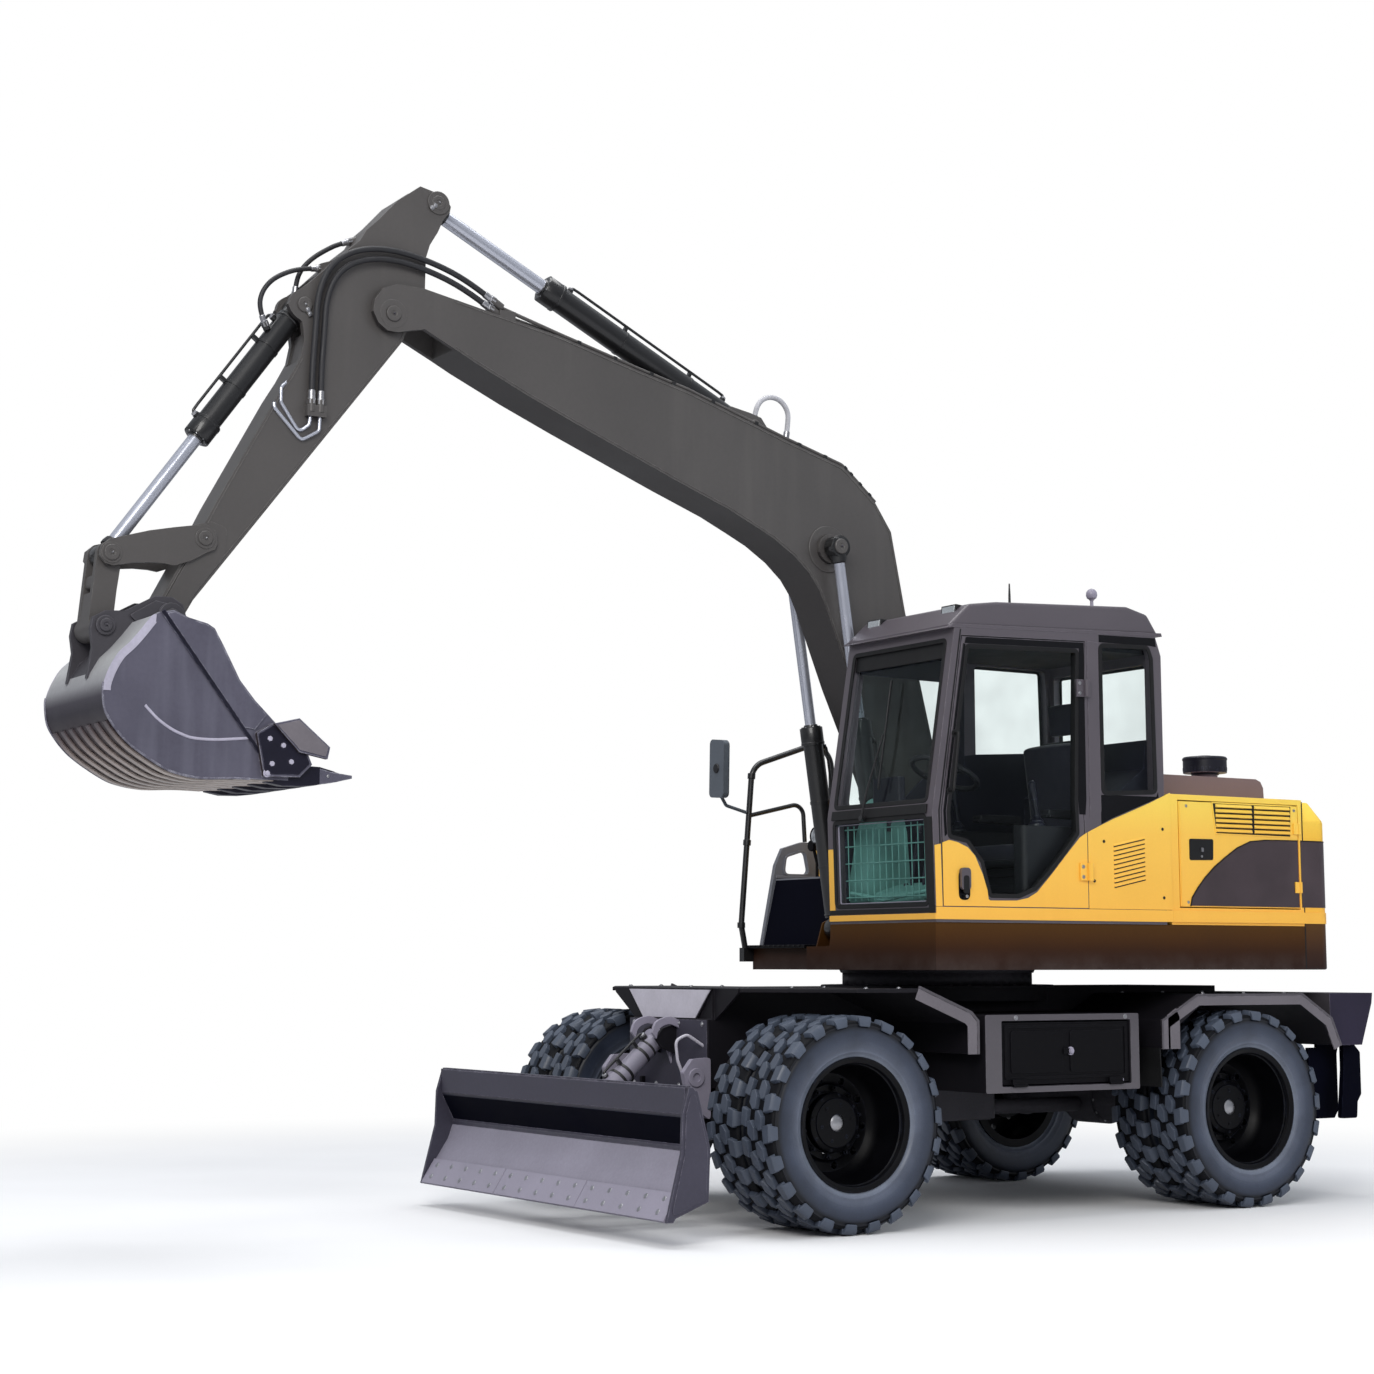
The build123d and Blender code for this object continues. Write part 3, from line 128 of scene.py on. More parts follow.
def finish(name, base, patch=(2.2, 0.10), fine=(60.0, 0.05), rough=(0.35, 0.5), metallic=0.0, coat=0.0, coat_rough=0.12,
           bump=(500.0, 0.03, 0.0004), zones=None, dust=None, streak=None, edge=None, spec=0.5, sheen=0.0, brushed=None, radial=None):
    """Procedural finish: large soft patches, a fine grain, height zones (on some finishes painted light and shade),
    settled dust, run marks, lighter edges (partly wear, partly a painted edge highlight), and a bump.
    """
    m = bpy.data.materials.new(name)
    m.use_nodes = True
    t = m.node_tree
    b = t.nodes["Principled BSDF"]
    b.inputs["Metallic"].default_value = metallic
    b.inputs["Specular IOR Level"].default_value = spec
    if coat:
        b.inputs["Coat Weight"].default_value = coat
        b.inputs["Coat Roughness"].default_value = coat_rough
    if sheen:
        b.inputs["Sheen Weight"].default_value = sheen
        b.inputs["Sheen Roughness"].default_value = 0.4
    co = node(t, "ShaderNodeTexCoord").outputs["Object"]
    sep = node(t, "ShaderNodeSeparateXYZ", ins={0: co})
    if zones:
        lo, hi = zones[0][0], zones[-1][0]
        r = node(t, "ShaderNodeMapRange", ins={0: sep.outputs[2], 1: lo, 2: hi})
        colour = ramp(t, r.outputs[0], [((z - lo) / (hi - lo), c) for z, c in zones])
    elif radial:
        flat = node(t, "ShaderNodeCombineXYZ", ins={0: sep.outputs[0], 2: sep.outputs[2]})
        far = node(t, "ShaderNodeVectorMath", {"operation": 'LENGTH'}, {0: flat.outputs[0]}).outputs["Value"]
        lo, hi = radial[0][0], radial[-1][0]
        r = node(t, "ShaderNodeMapRange", ins={0: far, 1: lo, 2: hi})
        colour = ramp(t, r.outputs[0], [((z - lo) / (hi - lo), c) for z, c in radial])
    else:
        rgb = node(t, "ShaderNodeRGB")
        rgb.outputs[0].default_value = base
        colour = rgb.outputs[0]
    n1 = node(t, "ShaderNodeTexNoise", ins={"Vector": co, "Scale": patch[0], "Detail": 4.0, "Roughness": 0.55})
    colour = mixc(t, 1.0, colour, ramp(t, n1.outputs[0], [(0.3, grey(1 - 1.6 * patch[1])), (0.7, grey(1.0))]), 'MULTIPLY')
    n2 = node(t, "ShaderNodeTexNoise", ins={"Vector": co, "Scale": fine[0], "Detail": 5.0, "Roughness": 0.7})
    colour = mixc(t, 1.0, colour, ramp(t, n2.outputs[0], [(0.35, grey(1 - 2 * fine[1])), (0.65, grey(1.0))]), 'MULTIPLY')
    if streak:
        s = node(t, "ShaderNodeMapping", ins={"Vector": co, "Scale": (9.0, 9.0, 0.9)})
        n3 = node(t, "ShaderNodeTexNoise", ins={"Vector": s.outputs[0], "Scale": 1.0, "Detail": 3.0})
        colour = mixc(t, ramp(t, n3.outputs[0], [(0.52, grey(0.0)), (0.74, grey(streak[1]))]), colour, streak[0])
    if dust:
        r = node(t, "ShaderNodeMapRange", ins={0: sep.outputs[2], 1: dust[1], 2: dust[2], 3: 1.0, 4: 0.0})
        n4 = node(t, "ShaderNodeTexNoise", ins={"Vector": co, "Scale": 7.0, "Detail": 6.0, "Roughness": 0.65})
        f = node(t, "ShaderNodeMath", {"operation": 'MULTIPLY'}, {0: r.outputs[0], 1: ramp(t, n4.outputs[0], [(0.35, grey(0.15)), (0.68, grey(dust[3]))])})
        colour = mixc(t, f.outputs[0], colour, dust[0])
    # lighter colour in noisy patches along sharp edges: partly edge wear, partly a painted edge highlight
    if edge:
        g = node(t, "ShaderNodeNewGeometry")
        bev = node(t, "ShaderNodeBevel", {"samples": 4}, {"Radius": edge[1]})
        d = node(t, "ShaderNodeVectorMath", {"operation": 'DOT_PRODUCT'}, {0: g.outputs["Normal"], 1: bev.outputs[0]})
        n5 = node(t, "ShaderNodeTexNoise", ins={"Vector": co, "Scale": 22.0, "Detail": 5.0, "Roughness": 0.7})
        e = ramp(t, d.outputs["Value"], [(0.90, grey(1.0)), (0.985, grey(0.0))])
        f = node(t, "ShaderNodeMath", {"operation": 'MULTIPLY'}, {0: e, 1: ramp(t, n5.outputs[0], [(0.42, grey(0.0)), (0.62, grey(edge[2]))])})
        colour = mixc(t, f.outputs[0], colour, edge[0])
    t.links.new(colour, b.inputs["Base Color"])
    t.links.new(ramp(t, n1.outputs[0], [(0.3, grey(rough[0])), (0.7, grey(rough[1]))]), b.inputs["Roughness"])
    src = n2.outputs[0]
    if brushed:
        s = node(t, "ShaderNodeMapping", ins={"Vector": co, "Scale": brushed})
        src = node(t, "ShaderNodeTexNoise", ins={"Vector": s.outputs[0], "Scale": 1.0, "Detail": 2.0}).outputs[0]
    else:
        src = node(t, "ShaderNodeTexNoise", ins={"Vector": co, "Scale": bump[0], "Detail": 3.0}).outputs[0]
    bp = node(t, "ShaderNodeBump", ins={"Strength": bump[1], "Distance": bump[2] if bump[2] else 0.0005, "Height": src})
    t.links.new(bp.outputs[0], b.inputs["Normal"])
    return m


def pane(name, tint, rough=0.02):
    """Window glass: a tinted see-through layer under a mirror layer that grows at glancing angles."""
    m = bpy.data.materials.new(name)
    m.use_nodes = True
    t = m.node_tree
    t.nodes.remove(t.nodes["Principled BSDF"])
    co = node(t, "ShaderNodeTexCoord").outputs["Object"]
    n = node(t, "ShaderNodeTexNoise", ins={"Vector": co, "Scale": 3.0, "Detail": 2.0})
    tr = node(t, "ShaderNodeBsdfTransparent", ins={"Color": mixc(t, 1.0, tint, ramp(t, n.outputs[0], [(0.3, grey(0.93)), (0.7, grey(1.0))]), 'MULTIPLY')})
    gl = node(t, "ShaderNodeBsdfGlossy", ins={"Color": (0.9, 1.0, 1.0, 1), "Roughness": rough})
    fr = node(t, "ShaderNodeFresnel", ins={"IOR": 1.24})
    front = node(t, "ShaderNodeMath", {"operation": 'SUBTRACT'}, {0: 1.0, 1: node(t, "ShaderNodeNewGeometry").outputs["Backfacing"]})
    fac = node(t, "ShaderNodeMath", {"operation": 'MULTIPLY'}, {0: fr.outputs[0], 1: front.outputs[0]})
    mx = node(t, "ShaderNodeMixShader", ins={0: fac.outputs[0], 1: tr.outputs[0], 2: gl.outputs[0]})
    t.links.new(mx.outputs[0], t.nodes["Material Output"].inputs[0])
    return m


DUST = srgb(150, 140, 135)
# yellow paint runs from orange low down to lemon towards the top: a painted light gradient
YELLOW_SHADED_LOW, YELLOW_LIT_HIGH = srgb(255, 190, 70), srgb(255, 216, 84)
M = {
    "yellow_paint": finish("yellow_paint", YELLOW_SHADED_LOW, patch=(1.6, 0.03), fine=(90, 0.015), rough=(0.3, 0.4), coat=0.25, bump=(420, 0.03, 0.0003), zones=[(1.48, YELLOW_SHADED_LOW), (1.95, srgb(255, 200, 76)), (2.12, YELLOW_LIT_HIGH), (2.3, YELLOW_LIT_HIGH)], streak=(srgb(225, 150, 50), 0.10)),
    "brown_paint": finish("brown_paint", srgb(60, 34, 20), patch=(1.3, 0.12), fine=(70, 0.03), rough=(0.5, 0.65), spec=0.16, zones=[(1.24, srgb(38, 18, 12)), (1.33, srgb(52, 27, 12)), (1.42, srgb(74, 44, 13)), (1.5, srgb(84, 54, 14))], dust=(DUST, 1.2, 1.35, 0.03)),
    "chassis_grey": finish("chassis_grey", srgb(92, 88, 98), patch=(1.8, 0.10), fine=(70, 0.03), rough=(0.42, 0.6), dust=(srgb(128, 122, 128), 0.1, 1.0, 0.22), edge=(srgb(150, 146, 160), 0.006, 0.5)),
    "fender_grey": finish("fender_grey", srgb(80, 76, 82), patch=(2.5, 0.12), fine=(70, 0.04), rough=(0.45, 0.65), dust=(srgb(140, 136, 140), 0.6, 1.2, 0.2), edge=(srgb(140, 134, 146), 0.006, 0.5)),
    "boom_grey": finish("boom_grey", srgb(82, 79, 78), patch=(1.1, 0.10), fine=(55, 0.03), rough=(0.40, 0.56), coat=0.08, streak=(srgb(106, 103, 100), 0.16), edge=(srgb(132, 130, 126), 0.006, 0.5)),
    "cab_grey": finish("cab_grey", srgb(86, 80, 87), patch=(2.0, 0.07), fine=(80, 0.02), rough=(0.34, 0.46), coat=0.2, edge=(srgb(140, 134, 144), 0.007, 0.5)),
    "cylinder_black": finish("cylinder_black", srgb(26, 26, 28), patch=(3.0, 0.2), fine=(80, 0.05), rough=(0.3, 0.45), coat=0.3, dust=(srgb(90, 88, 92), 0.2, 2.0, 0.12)),
    "chrome_rod": finish("chrome_rod", srgb(204, 207, 219), patch=(4.0, 0.05), fine=(200, 0.03), rough=(0.2, 0.32), metallic=0.7, bump=(900, 0.02, 0.0002)),
    "bright_steel": finish("bright_steel", srgb(196, 196, 200), patch=(8.0, 0.15), fine=(120, 0.06), rough=(0.25, 0.42), metallic=1.0),
    "bucket_steel": finish("bucket_steel", srgb(98, 96, 112), patch=(1.7, 0.14), fine=(45, 0.05), rough=(0.4, 0.6), metallic=0.25, streak=(srgb(140, 140, 156), 0.25), edge=(srgb(198, 198, 210), 0.008, 0.8), brushed=(18.0, 18.0, 240.0)),
    "wear_steel": finish("wear_steel", srgb(150, 146, 148), patch=(5.0, 0.2), fine=(60, 0.1), rough=(0.3, 0.5), metallic=0.7, edge=(srgb(210, 206, 205), 0.006, 0.9), brushed=(260.0, 20.0, 20.0)),
    "cutter_dark": finish("cutter_dark", srgb(14, 11, 36), patch=(5.0, 0.2), fine=(80, 0.08), rough=(0.35, 0.55), metallic=0.2, edge=(srgb(120, 118, 140), 0.005, 0.8)),
    "tyre_rubber": finish("tyre_rubber", srgb(76, 86, 103), patch=(6.0, 0.22), fine=(120, 0.07), rough=(0.36, 0.56), bump=(260, 0.18, 0.0008), dust=(srgb(96, 101, 114), 0.0, 1.1, 0.25), spec=0.55),
    # near-black floor between the tread blocks: painted shade in the grooves
    "tyre_groove_painted_shade": finish("tyre_groove_painted_shade", srgb(9, 11, 19), patch=(9.0, 0.25), fine=(120, 0.1), rough=(0.6, 0.8), bump=(260, 0.3, 0.001), spec=0.3),
    # sidewall rings by radius: lighter towards the bead, darker outwards, near black in the shoulder groove as painted
    # shade
    "tyre_wall_groove_shade": finish("tyre_wall_groove_shade", srgb(66, 71, 84), patch=(5.0, 0.25), fine=(140, 0.06), rough=(0.34, 0.5), bump=(300, 0.12, 0.0006), radial=[(0.29, srgb(120, 128, 144)), (0.325, srgb(128, 136, 152)), (0.352, srgb(96, 103, 120)), (0.40, srgb(66, 74, 92)), (0.44, srgb(50, 57, 73)), (0.460, srgb(12, 15, 24)), (0.478, srgb(16, 19, 30)), (0.50, srgb(52, 58, 72))]),
    # counterweight: brown below 1.494 m, darker towards the bottom; yellow above with the same painted light gradient
    "tail_paint": finish("tail_paint", YELLOW_SHADED_LOW, patch=(1.5, 0.04), fine=(80, 0.02), rough=(0.34, 0.46), spec=0.3, zones=[(1.24, srgb(38, 18, 12)), (1.33, srgb(52, 27, 12)), (1.42, srgb(74, 44, 13)), (1.4940, srgb(84, 54, 14)), (1.4945, YELLOW_SHADED_LOW), (1.95, srgb(253, 196, 66)), (2.12, YELLOW_LIT_HIGH), (2.3, YELLOW_LIT_HIGH)]),
    # mouldboard by height: pale lower plate as painted light where it faces up, near-black band on the recess as
    # painted shade, darker top band
    "blade_lit_and_shaded": finish("blade_lit_and_shaded", srgb(92, 88, 100), patch=(2.2, 0.12), fine=(60, 0.05), rough=(0.42, 0.6), spec=0.35, zones=[(0.10, srgb(150, 146, 160)), (0.30, srgb(160, 156, 172)), (0.432, srgb(164, 160, 176)), (0.438, srgb(20, 19, 36)), (0.583, srgb(24, 23, 42)), (0.588, srgb(66, 63, 74)), (0.90, srgb(60, 57, 68))], edge=(srgb(176, 172, 186), 0.006, 0.5)),
    "blade_end": finish("blade_end", srgb(72, 70, 84), patch=(2.6, 0.15), fine=(60, 0.05), rough=(0.42, 0.6), spec=0.35, edge=(srgb(160, 156, 172), 0.006, 0.6)),
    "frame_dark": finish("frame_dark", srgb(25, 23, 29), patch=(2.2, 0.15), fine=(60, 0.05), rough=(0.5, 0.68), spec=0.25, edge=(srgb(96, 92, 102), 0.006, 0.4)),
    "navy_dark": finish("navy_dark", srgb(7, 8, 22), patch=(2.2, 0.2), fine=(60, 0.05), rough=(0.7, 0.85), spec=0.05, edge=(srgb(60, 64, 90), 0.006, 0.4)),
    "door_black": finish("door_black", srgb(9, 8, 13), patch=(2.2, 0.2), fine=(60, 0.05), rough=(0.5, 0.66), spec=0.16, edge=(srgb(60, 60, 68), 0.005, 0.35)),
    # back of the bucket shell by height: dark low down, near white higher up, a painted highlight and reflection on the
    # curve
    "shell_back_painted_sheen": finish("shell_back_painted_sheen", srgb(98, 96, 112), patch=(2.4, 0.14), fine=(45, 0.05), rough=(0.4, 0.6), metallic=0.15, zones=[(2.06, srgb(62, 52, 52)), (2.30, srgb(66, 56, 58)), (2.40, srgb(48, 43, 54)), (2.45, srgb(74, 70, 80)), (2.52, srgb(172, 172, 176)), (2.62, srgb(206, 207, 208)), (2.90, srgb(190, 190, 196))], edge=(srgb(198, 198, 210), 0.008, 0.5)),
    "ear_dark": finish("ear_dark", srgb(66, 64, 70), patch=(3.0, 0.12), fine=(60, 0.04), rough=(0.4, 0.56), edge=(srgb(132, 130, 140), 0.006, 0.5)),
    # heel straps by height: pale tan low down fading to dark up the heel, a painted highlight
    "strap_steel_painted_highlight": finish("strap_steel_painted_highlight", srgb(196, 180, 170), patch=(5.0, 0.2), fine=(60, 0.1), rough=(0.35, 0.5), metallic=0.2, zones=[(2.08, srgb(205, 194, 186)), (2.16, srgb(200, 186, 178)), (2.24, srgb(170, 154, 148)), (2.31, srgb(112, 100, 102)), (2.37, srgb(62, 56, 66))], brushed=(260.0, 20.0, 20.0)),
    # pale trim: painted highlight on the bucket's top edge band and weld bead, wear on the boom's top strips, also the
    # cutter bolts
    "pale_trim_wear_and_highlight": finish("pale_trim_wear_and_highlight", srgb(198, 194, 212), patch=(5.0, 0.12), fine=(60, 0.06), rough=(0.35, 0.5), metallic=0.2),
    # darker copy of the boom paint for faces turned down: painted shade
    "boom_underside_painted_shade": finish("boom_underside_painted_shade", srgb(58, 55, 55), patch=(1.1, 0.10), fine=(55, 0.03), rough=(0.45, 0.6), spec=0.3),
    "fender_light": finish("fender_light", srgb(118, 113, 119), patch=(2.5, 0.12), fine=(70, 0.04), rough=(0.45, 0.6), spec=0.3, edge=(srgb(166, 160, 172), 0.006, 0.5)),
    # darker copy of the bumper paint for its side faces: painted shade
    "bumper_side_painted_shade": finish("bumper_side_painted_shade", srgb(48, 43, 62), patch=(2.2, 0.15), fine=(60, 0.05), rough=(0.5, 0.66), spec=0.2, edge=(srgb(150, 146, 160), 0.006, 0.5)),
    "front_plate": finish("front_plate", srgb(214, 210, 222), patch=(5.0, 0.10), fine=(60, 0.04), rough=(0.35, 0.5), spec=0.4, radial=None),
    "hood_paint": finish("hood_paint", srgb(118, 99, 103), patch=(2.0, 0.07), fine=(80, 0.02), rough=(0.36, 0.48), coat=0.15, edge=(srgb(160, 146, 150), 0.007, 0.4)),
    "handhold_grey": finish("handhold_grey", srgb(118, 120, 128), patch=(3.0, 0.1), fine=(80, 0.03), rough=(0.4, 0.55), spec=0.35, edge=(srgb(168, 170, 178), 0.006, 0.5)),
    "barrel_grey": finish("barrel_grey", srgb(150, 146, 162), patch=(4.0, 0.12), fine=(90, 0.04), rough=(0.35, 0.5), edge=(srgb(200, 198, 210), 0.005, 0.5)),
    "teal_plastic": finish("teal_plastic", srgb(104, 158, 150), patch=(3.0, 0.12), fine=(200, 0.05), rough=(0.4, 0.55), bump=(800, 0.15, 0.0004)),
    "cab_black": finish("cab_black", srgb(9, 9, 14), patch=(2.0, 0.2), fine=(100, 0.05), rough=(0.16, 0.26), spec=0.3),
    "rim_black": finish("rim_black", srgb(5, 5, 9), patch=(6.0, 0.2), fine=(90, 0.05), rough=(0.36, 0.5), spec=0.2, edge=(srgb(62, 68, 88), 0.006, 0.45)),
    "seat_fabric": finish("seat_fabric", srgb(15, 15, 40), patch=(9.0, 0.12), fine=(420, 0.25), rough=(0.75, 0.9), bump=(900, 0.5, 0.001), sheen=0.3),
    "dark_plastic": finish("dark_plastic", srgb(20, 20, 26), patch=(5.0, 0.12), fine=(300, 0.06), rough=(0.45, 0.6), bump=(1100, 0.2, 0.0004)),
    "navy_plastic": finish("navy_plastic", srgb(13, 13, 30), patch=(3.0, 0.15), fine=(120, 0.05), rough=(0.35, 0.5), bump=(700, 0.12, 0.0004), edge=(srgb(110, 112, 140), 0.006, 0.4)),
    "seal_rubber": finish("seal_rubber", srgb(9, 9, 12), patch=(6.0, 0.1), fine=(200, 0.05), rough=(0.55, 0.7)),
    "hose_rubber": finish("hose_rubber", srgb(44, 44, 48), patch=(14.0, 0.15), fine=(300, 0.08), rough=(0.5, 0.65), bump=(800, 0.25, 0.0005)),
    "hose_grey": finish("hose_grey", srgb(204, 204, 210), patch=(14.0, 0.15), fine=(300, 0.08), rough=(0.45, 0.6), bump=(800, 0.25, 0.0005)),
    "panel_purple": finish("panel_purple", srgb(68, 55, 60), patch=(3.2, 0.22), fine=(90, 0.03), rough=(0.32, 0.44), coat=0.35),
    "cast_grey": finish("cast_grey", srgb(78, 76, 84), patch=(4.0, 0.2), fine=(90, 0.10), rough=(0.55, 0.75), bump=(320, 0.25, 0.0010), dust=(srgb(130, 128, 134), 0.1, 0.8, 0.3)),
    "lamp_lens": finish("lamp_lens", srgb(214, 220, 224), patch=(20.0, 0.15), fine=(160, 0.15), rough=(0.08, 0.16), metallic=0.6, coat=1.0, coat_rough=0.03),
    "amber_lens": finish("amber_lens", srgb(206, 96, 26), patch=(30.0, 0.15), fine=(260, 0.12), rough=(0.15, 0.25), coat=1.0, coat_rough=0.03),
    "red_lens": finish("red_lens", srgb(150, 22, 20), patch=(30.0, 0.15), fine=(260, 0.12), rough=(0.15, 0.25), coat=1.0, coat_rough=0.03),
    "slate_plastic": finish("slate_plastic", srgb(92, 99, 108), patch=(4.0, 0.12), fine=(260, 0.05), rough=(0.35, 0.5), bump=(900, 0.15, 0.0004)),
    "mirror_face": finish("mirror_face", srgb(214, 220, 226), patch=(3.0, 0.03), fine=(60, 0.01), rough=(0.03, 0.05), metallic=1.0, bump=(3.0, 0.01, 0.001)),
    "lavender_trim": finish("lavender_trim", srgb(160, 155, 172), patch=(3.0, 0.08), fine=(90, 0.03), rough=(0.35, 0.5), coat=0.1),
    "headliner": finish("headliner", srgb(24, 28, 36), patch=(8.0, 0.1), fine=(500, 0.2), rough=(0.8, 0.95), bump=(900, 0.5, 0.001)),
}
M["glass"] = pane("glass", (0.965, 0.99, 0.988, 1.0))
M["glass_dark"] = pane("glass_dark", (0.30, 0.42, 0.44, 1.0), 0.04)
slot_of = {s["node"]: s["material_slot"] for s in frame["record"]["subparts"]}
MATERIAL_OF = {"fenders": "frame_dark", "hood": "hood_paint", "counterweight": "tail_paint", "blade": "blade_lit_and_shaded", "mirror": "slate_plastic", "right_steps": "handhold_grey", "chassis_frame": "frame_dark", "side_boxes": "frame_dark", "rear_bumper": "fender_grey", "left_box_door": "door_black", "right_box_door": "door_black", "blade_cylinder_barrel": "barrel_grey"}


# ---------------------------------------------------------------------------
# Shapes: faces gathered in millimetres from the slew centre
# ---------------------------------------------------------------------------
def frame_of(axis):
    w = Vector(axis).normalized()
    u = w.orthogonal().normalized()
    return u, w.cross(u), w


class Shape:
    def __init__(self):
        self.v, self.f, self.m, self.mat = [], [], [], 0

    def raw(self, vs, fs):
        o = len(self.v)
        self.v += [tuple(p) for p in vs]
        self.f += [tuple(i + o for i in q) for q in fs]
        self.m += [self.mat] * len(fs)
        return self

    def use(self, i):
        self.mat = i
        return self

    def prism(self, pts, axis, a, b):
        at = {'x': lambda p, t: (t, p[0], p[1]), 'y': lambda p, t: (p[0], t, p[1]), 'z': lambda p, t: (p[0], p[1], t)}[axis]
        n = len(pts)
        vs = [at(p, a) for p in pts] + [at(p, b) for p in pts]
        return self.raw(vs, [tuple(range(n))[::-1], tuple(range(n, 2 * n))] + [(i, (i + 1) % n, n + (i + 1) % n, n + i) for i in range(n)])

    def box(self, x0, x1, y0, y1, z0, z1):
        return self.prism([(x0, y0), (x1, y0), (x1, y1), (x0, y1)], 'z', z0, z1)

    def obox(self, c, u, v, w, hu, hv, hw):
        c, u, v, w = Vector(c), Vector(u).normalized(), Vector(v).normalized(), Vector(w).normalized()
        vs = [c + u * a * hu + v * b * hv + w * d * hw for d in (-1, 1) for a, b in ((-1, -1), (1, -1), (1, 1), (-1, 1))]
        return self.raw(vs, [(3, 2, 1, 0), (4, 5, 6, 7), (0, 1, 5, 4), (1, 2, 6, 5), (2, 3, 7, 6), (3, 0, 4, 7)])

    def lathe(self, origin, axis, profile, n=32, closed=False, start=0.0):
        """profile of (along, radius); radius 0 closes to a point."""
        u, v, w = frame_of(axis)
        o = Vector(origin)
        rings, vs = [], []
        for t, r in profile:
            if r <= 1e-6:
                rings.append([len(vs)])
                vs.append(o + w * t)
            else:
                rings.append(list(range(len(vs), len(vs) + n)))
                vs += [o + w * t + (u * math.cos(start + 2 * math.pi * k / n) + v * math.sin(start + 2 * math.pi * k / n)) * r for k in range(n)]
        fs = []
        pairs = list(zip(rings, rings[1:])) + ([(rings[-1], rings[0])] if closed else [])
        for a, b in pairs:
            for k in range(n):
                j = (k + 1) % n
                if len(a) == 1 and len(b) == 1:
                    continue
                if len(a) == 1:
                    fs.append((a[0], b[j], b[k]))
                elif len(b) == 1:
                    fs.append((a[k], a[j], b[0]))
                else:
                    fs.append((a[k], a[j], b[j], b[k]))
        return self.raw(vs, fs)

    def cyl(self, p, q, r, n=24, r2=None):
        d = (Vector(q) - Vector(p)).length
        return self.lathe(p, Vector(q) - Vector(p), [(0, 0), (0, r), (d, r if r2 is None else r2), (d, 0)], n)

    def ring(self, p, axis, r_out, r_in, h, n=32, lip=0.0):
        return self.lathe(p, axis, [(0, r_in), (0, r_out), (h - lip, r_out), (h, r_out - lip), (h, r_in)], n, closed=True)

    def bolt(self, p, axis, r=11, h=9, washer=True):
        """Hexagon head on its washer."""
        if washer:
            self.lathe(p, axis, [(0, 0), (0, r * 1.45), (2.5, r * 1.45), (3.0, r * 1.3), (3.0, 0)], 16)
        return self.lathe(p, axis, [(0, 0), (0, r), (h * 0.8, r), (h, r * 0.82), (h, 0)], 6, start=rnd.random())

    def tube(self, pts, r, n=12, caps=True):
        pts = [Vector(p) for p in pts]
        tang = [(pts[min(i + 1, len(pts) - 1)] - pts[max(i - 1, 0)]).normalized() for i in range(len(pts))]
        u = tang[0].orthogonal().normalized()
        vs = []
        for i, p in enumerate(pts):
            u = (u - tang[i] * u.dot(tang[i])).normalized()
            w = tang[i].cross(u)
            rr = r[i] if isinstance(r, (list, tuple)) else r
            vs += [p + (u * math.cos(2 * math.pi * k / n) + w * math.sin(2 * math.pi * k / n)) * rr for k in range(n)]
        fs = [(i * n + k, i * n + (k + 1) % n, (i + 1) * n + (k + 1) % n, (i + 1) * n + k) for i in range(len(pts) - 1) for k in range(n)]
        if caps:
            fs += [tuple(range(n))[::-1], tuple((len(pts) - 1) * n + k for k in range(n))]
        return self.raw(vs, fs)

    def pipe(self, pts, r, bend, n=12):
        """Rigid pipe through corner points, bends of one radius."""
        return self.tube(bent(pts, bend), r, n)

    def strip(self, path, half, thick, axis='y', mid=0.0, lift=0.0):
        """Flat bar along an open (x, z) path: width across Y, thickness along the path's left normal."""
        inner, outer = offset(path, lift), offset(path, lift + thick)
        return self.prism(inner + outer[::-1], axis, mid - half, mid + half)

    def ribbon(self, path, z0, z1, thick):
        """Upright band along an open (x, y) path, thickness to the path's left."""
        return self.prism(path + offset(path, thick)[::-1], 'z', z0, z1)

    def dome(self, p, axis, r, h, n=20, steps=5):
        return self.lathe(p, axis, [(0, 0)] + [(h * math.sin(a), r * math.cos(a)) for a in [i * math.pi / 2 / steps for i in range(steps)]] + [(h, 0)], n)


def bent(pts, radius, steps=7):
    pts = [Vector(p) for p in pts]
    out = [pts[0]]
    for a, b, c in zip(pts, pts[1:], pts[2:]):
        u, v = (a - b), (c - b)
        half = u.angle(v) / 2
        d = min(radius / math.tan(half), 0.48 * u.length, 0.48 * v.length)
        s, e = b + u.normalized() * d, b + v.normalized() * d
        for i in range(steps + 1):
            t = i / steps
            out.append(s * (1 - t) ** 2 + b * 2 * t * (1 - t) + e * t * t)
    return out + [pts[-1]]


def offset(path, d):
    """Open path moved to its left by d."""
    out = []
    for i, p in enumerate(path):
        a, b = path[max(i - 1, 0)], path[min(i + 1, len(path) - 1)]
        n0 = Vector((-(p[1] - a[1]), p[0] - a[0])) if i else None
        n1 = Vector((-(b[1] - p[1]), b[0] - p[0])) if i < len(path) - 1 else None
        ns = [n.normalized() for n in (n0, n1) if n is not None]
        m = sum(ns, Vector((0, 0))).normalized()
        k = d / max(m.dot(ns[0]), 0.4)
        out.append((p[0] + m.x * k, p[1] + m.y * k))
    return out


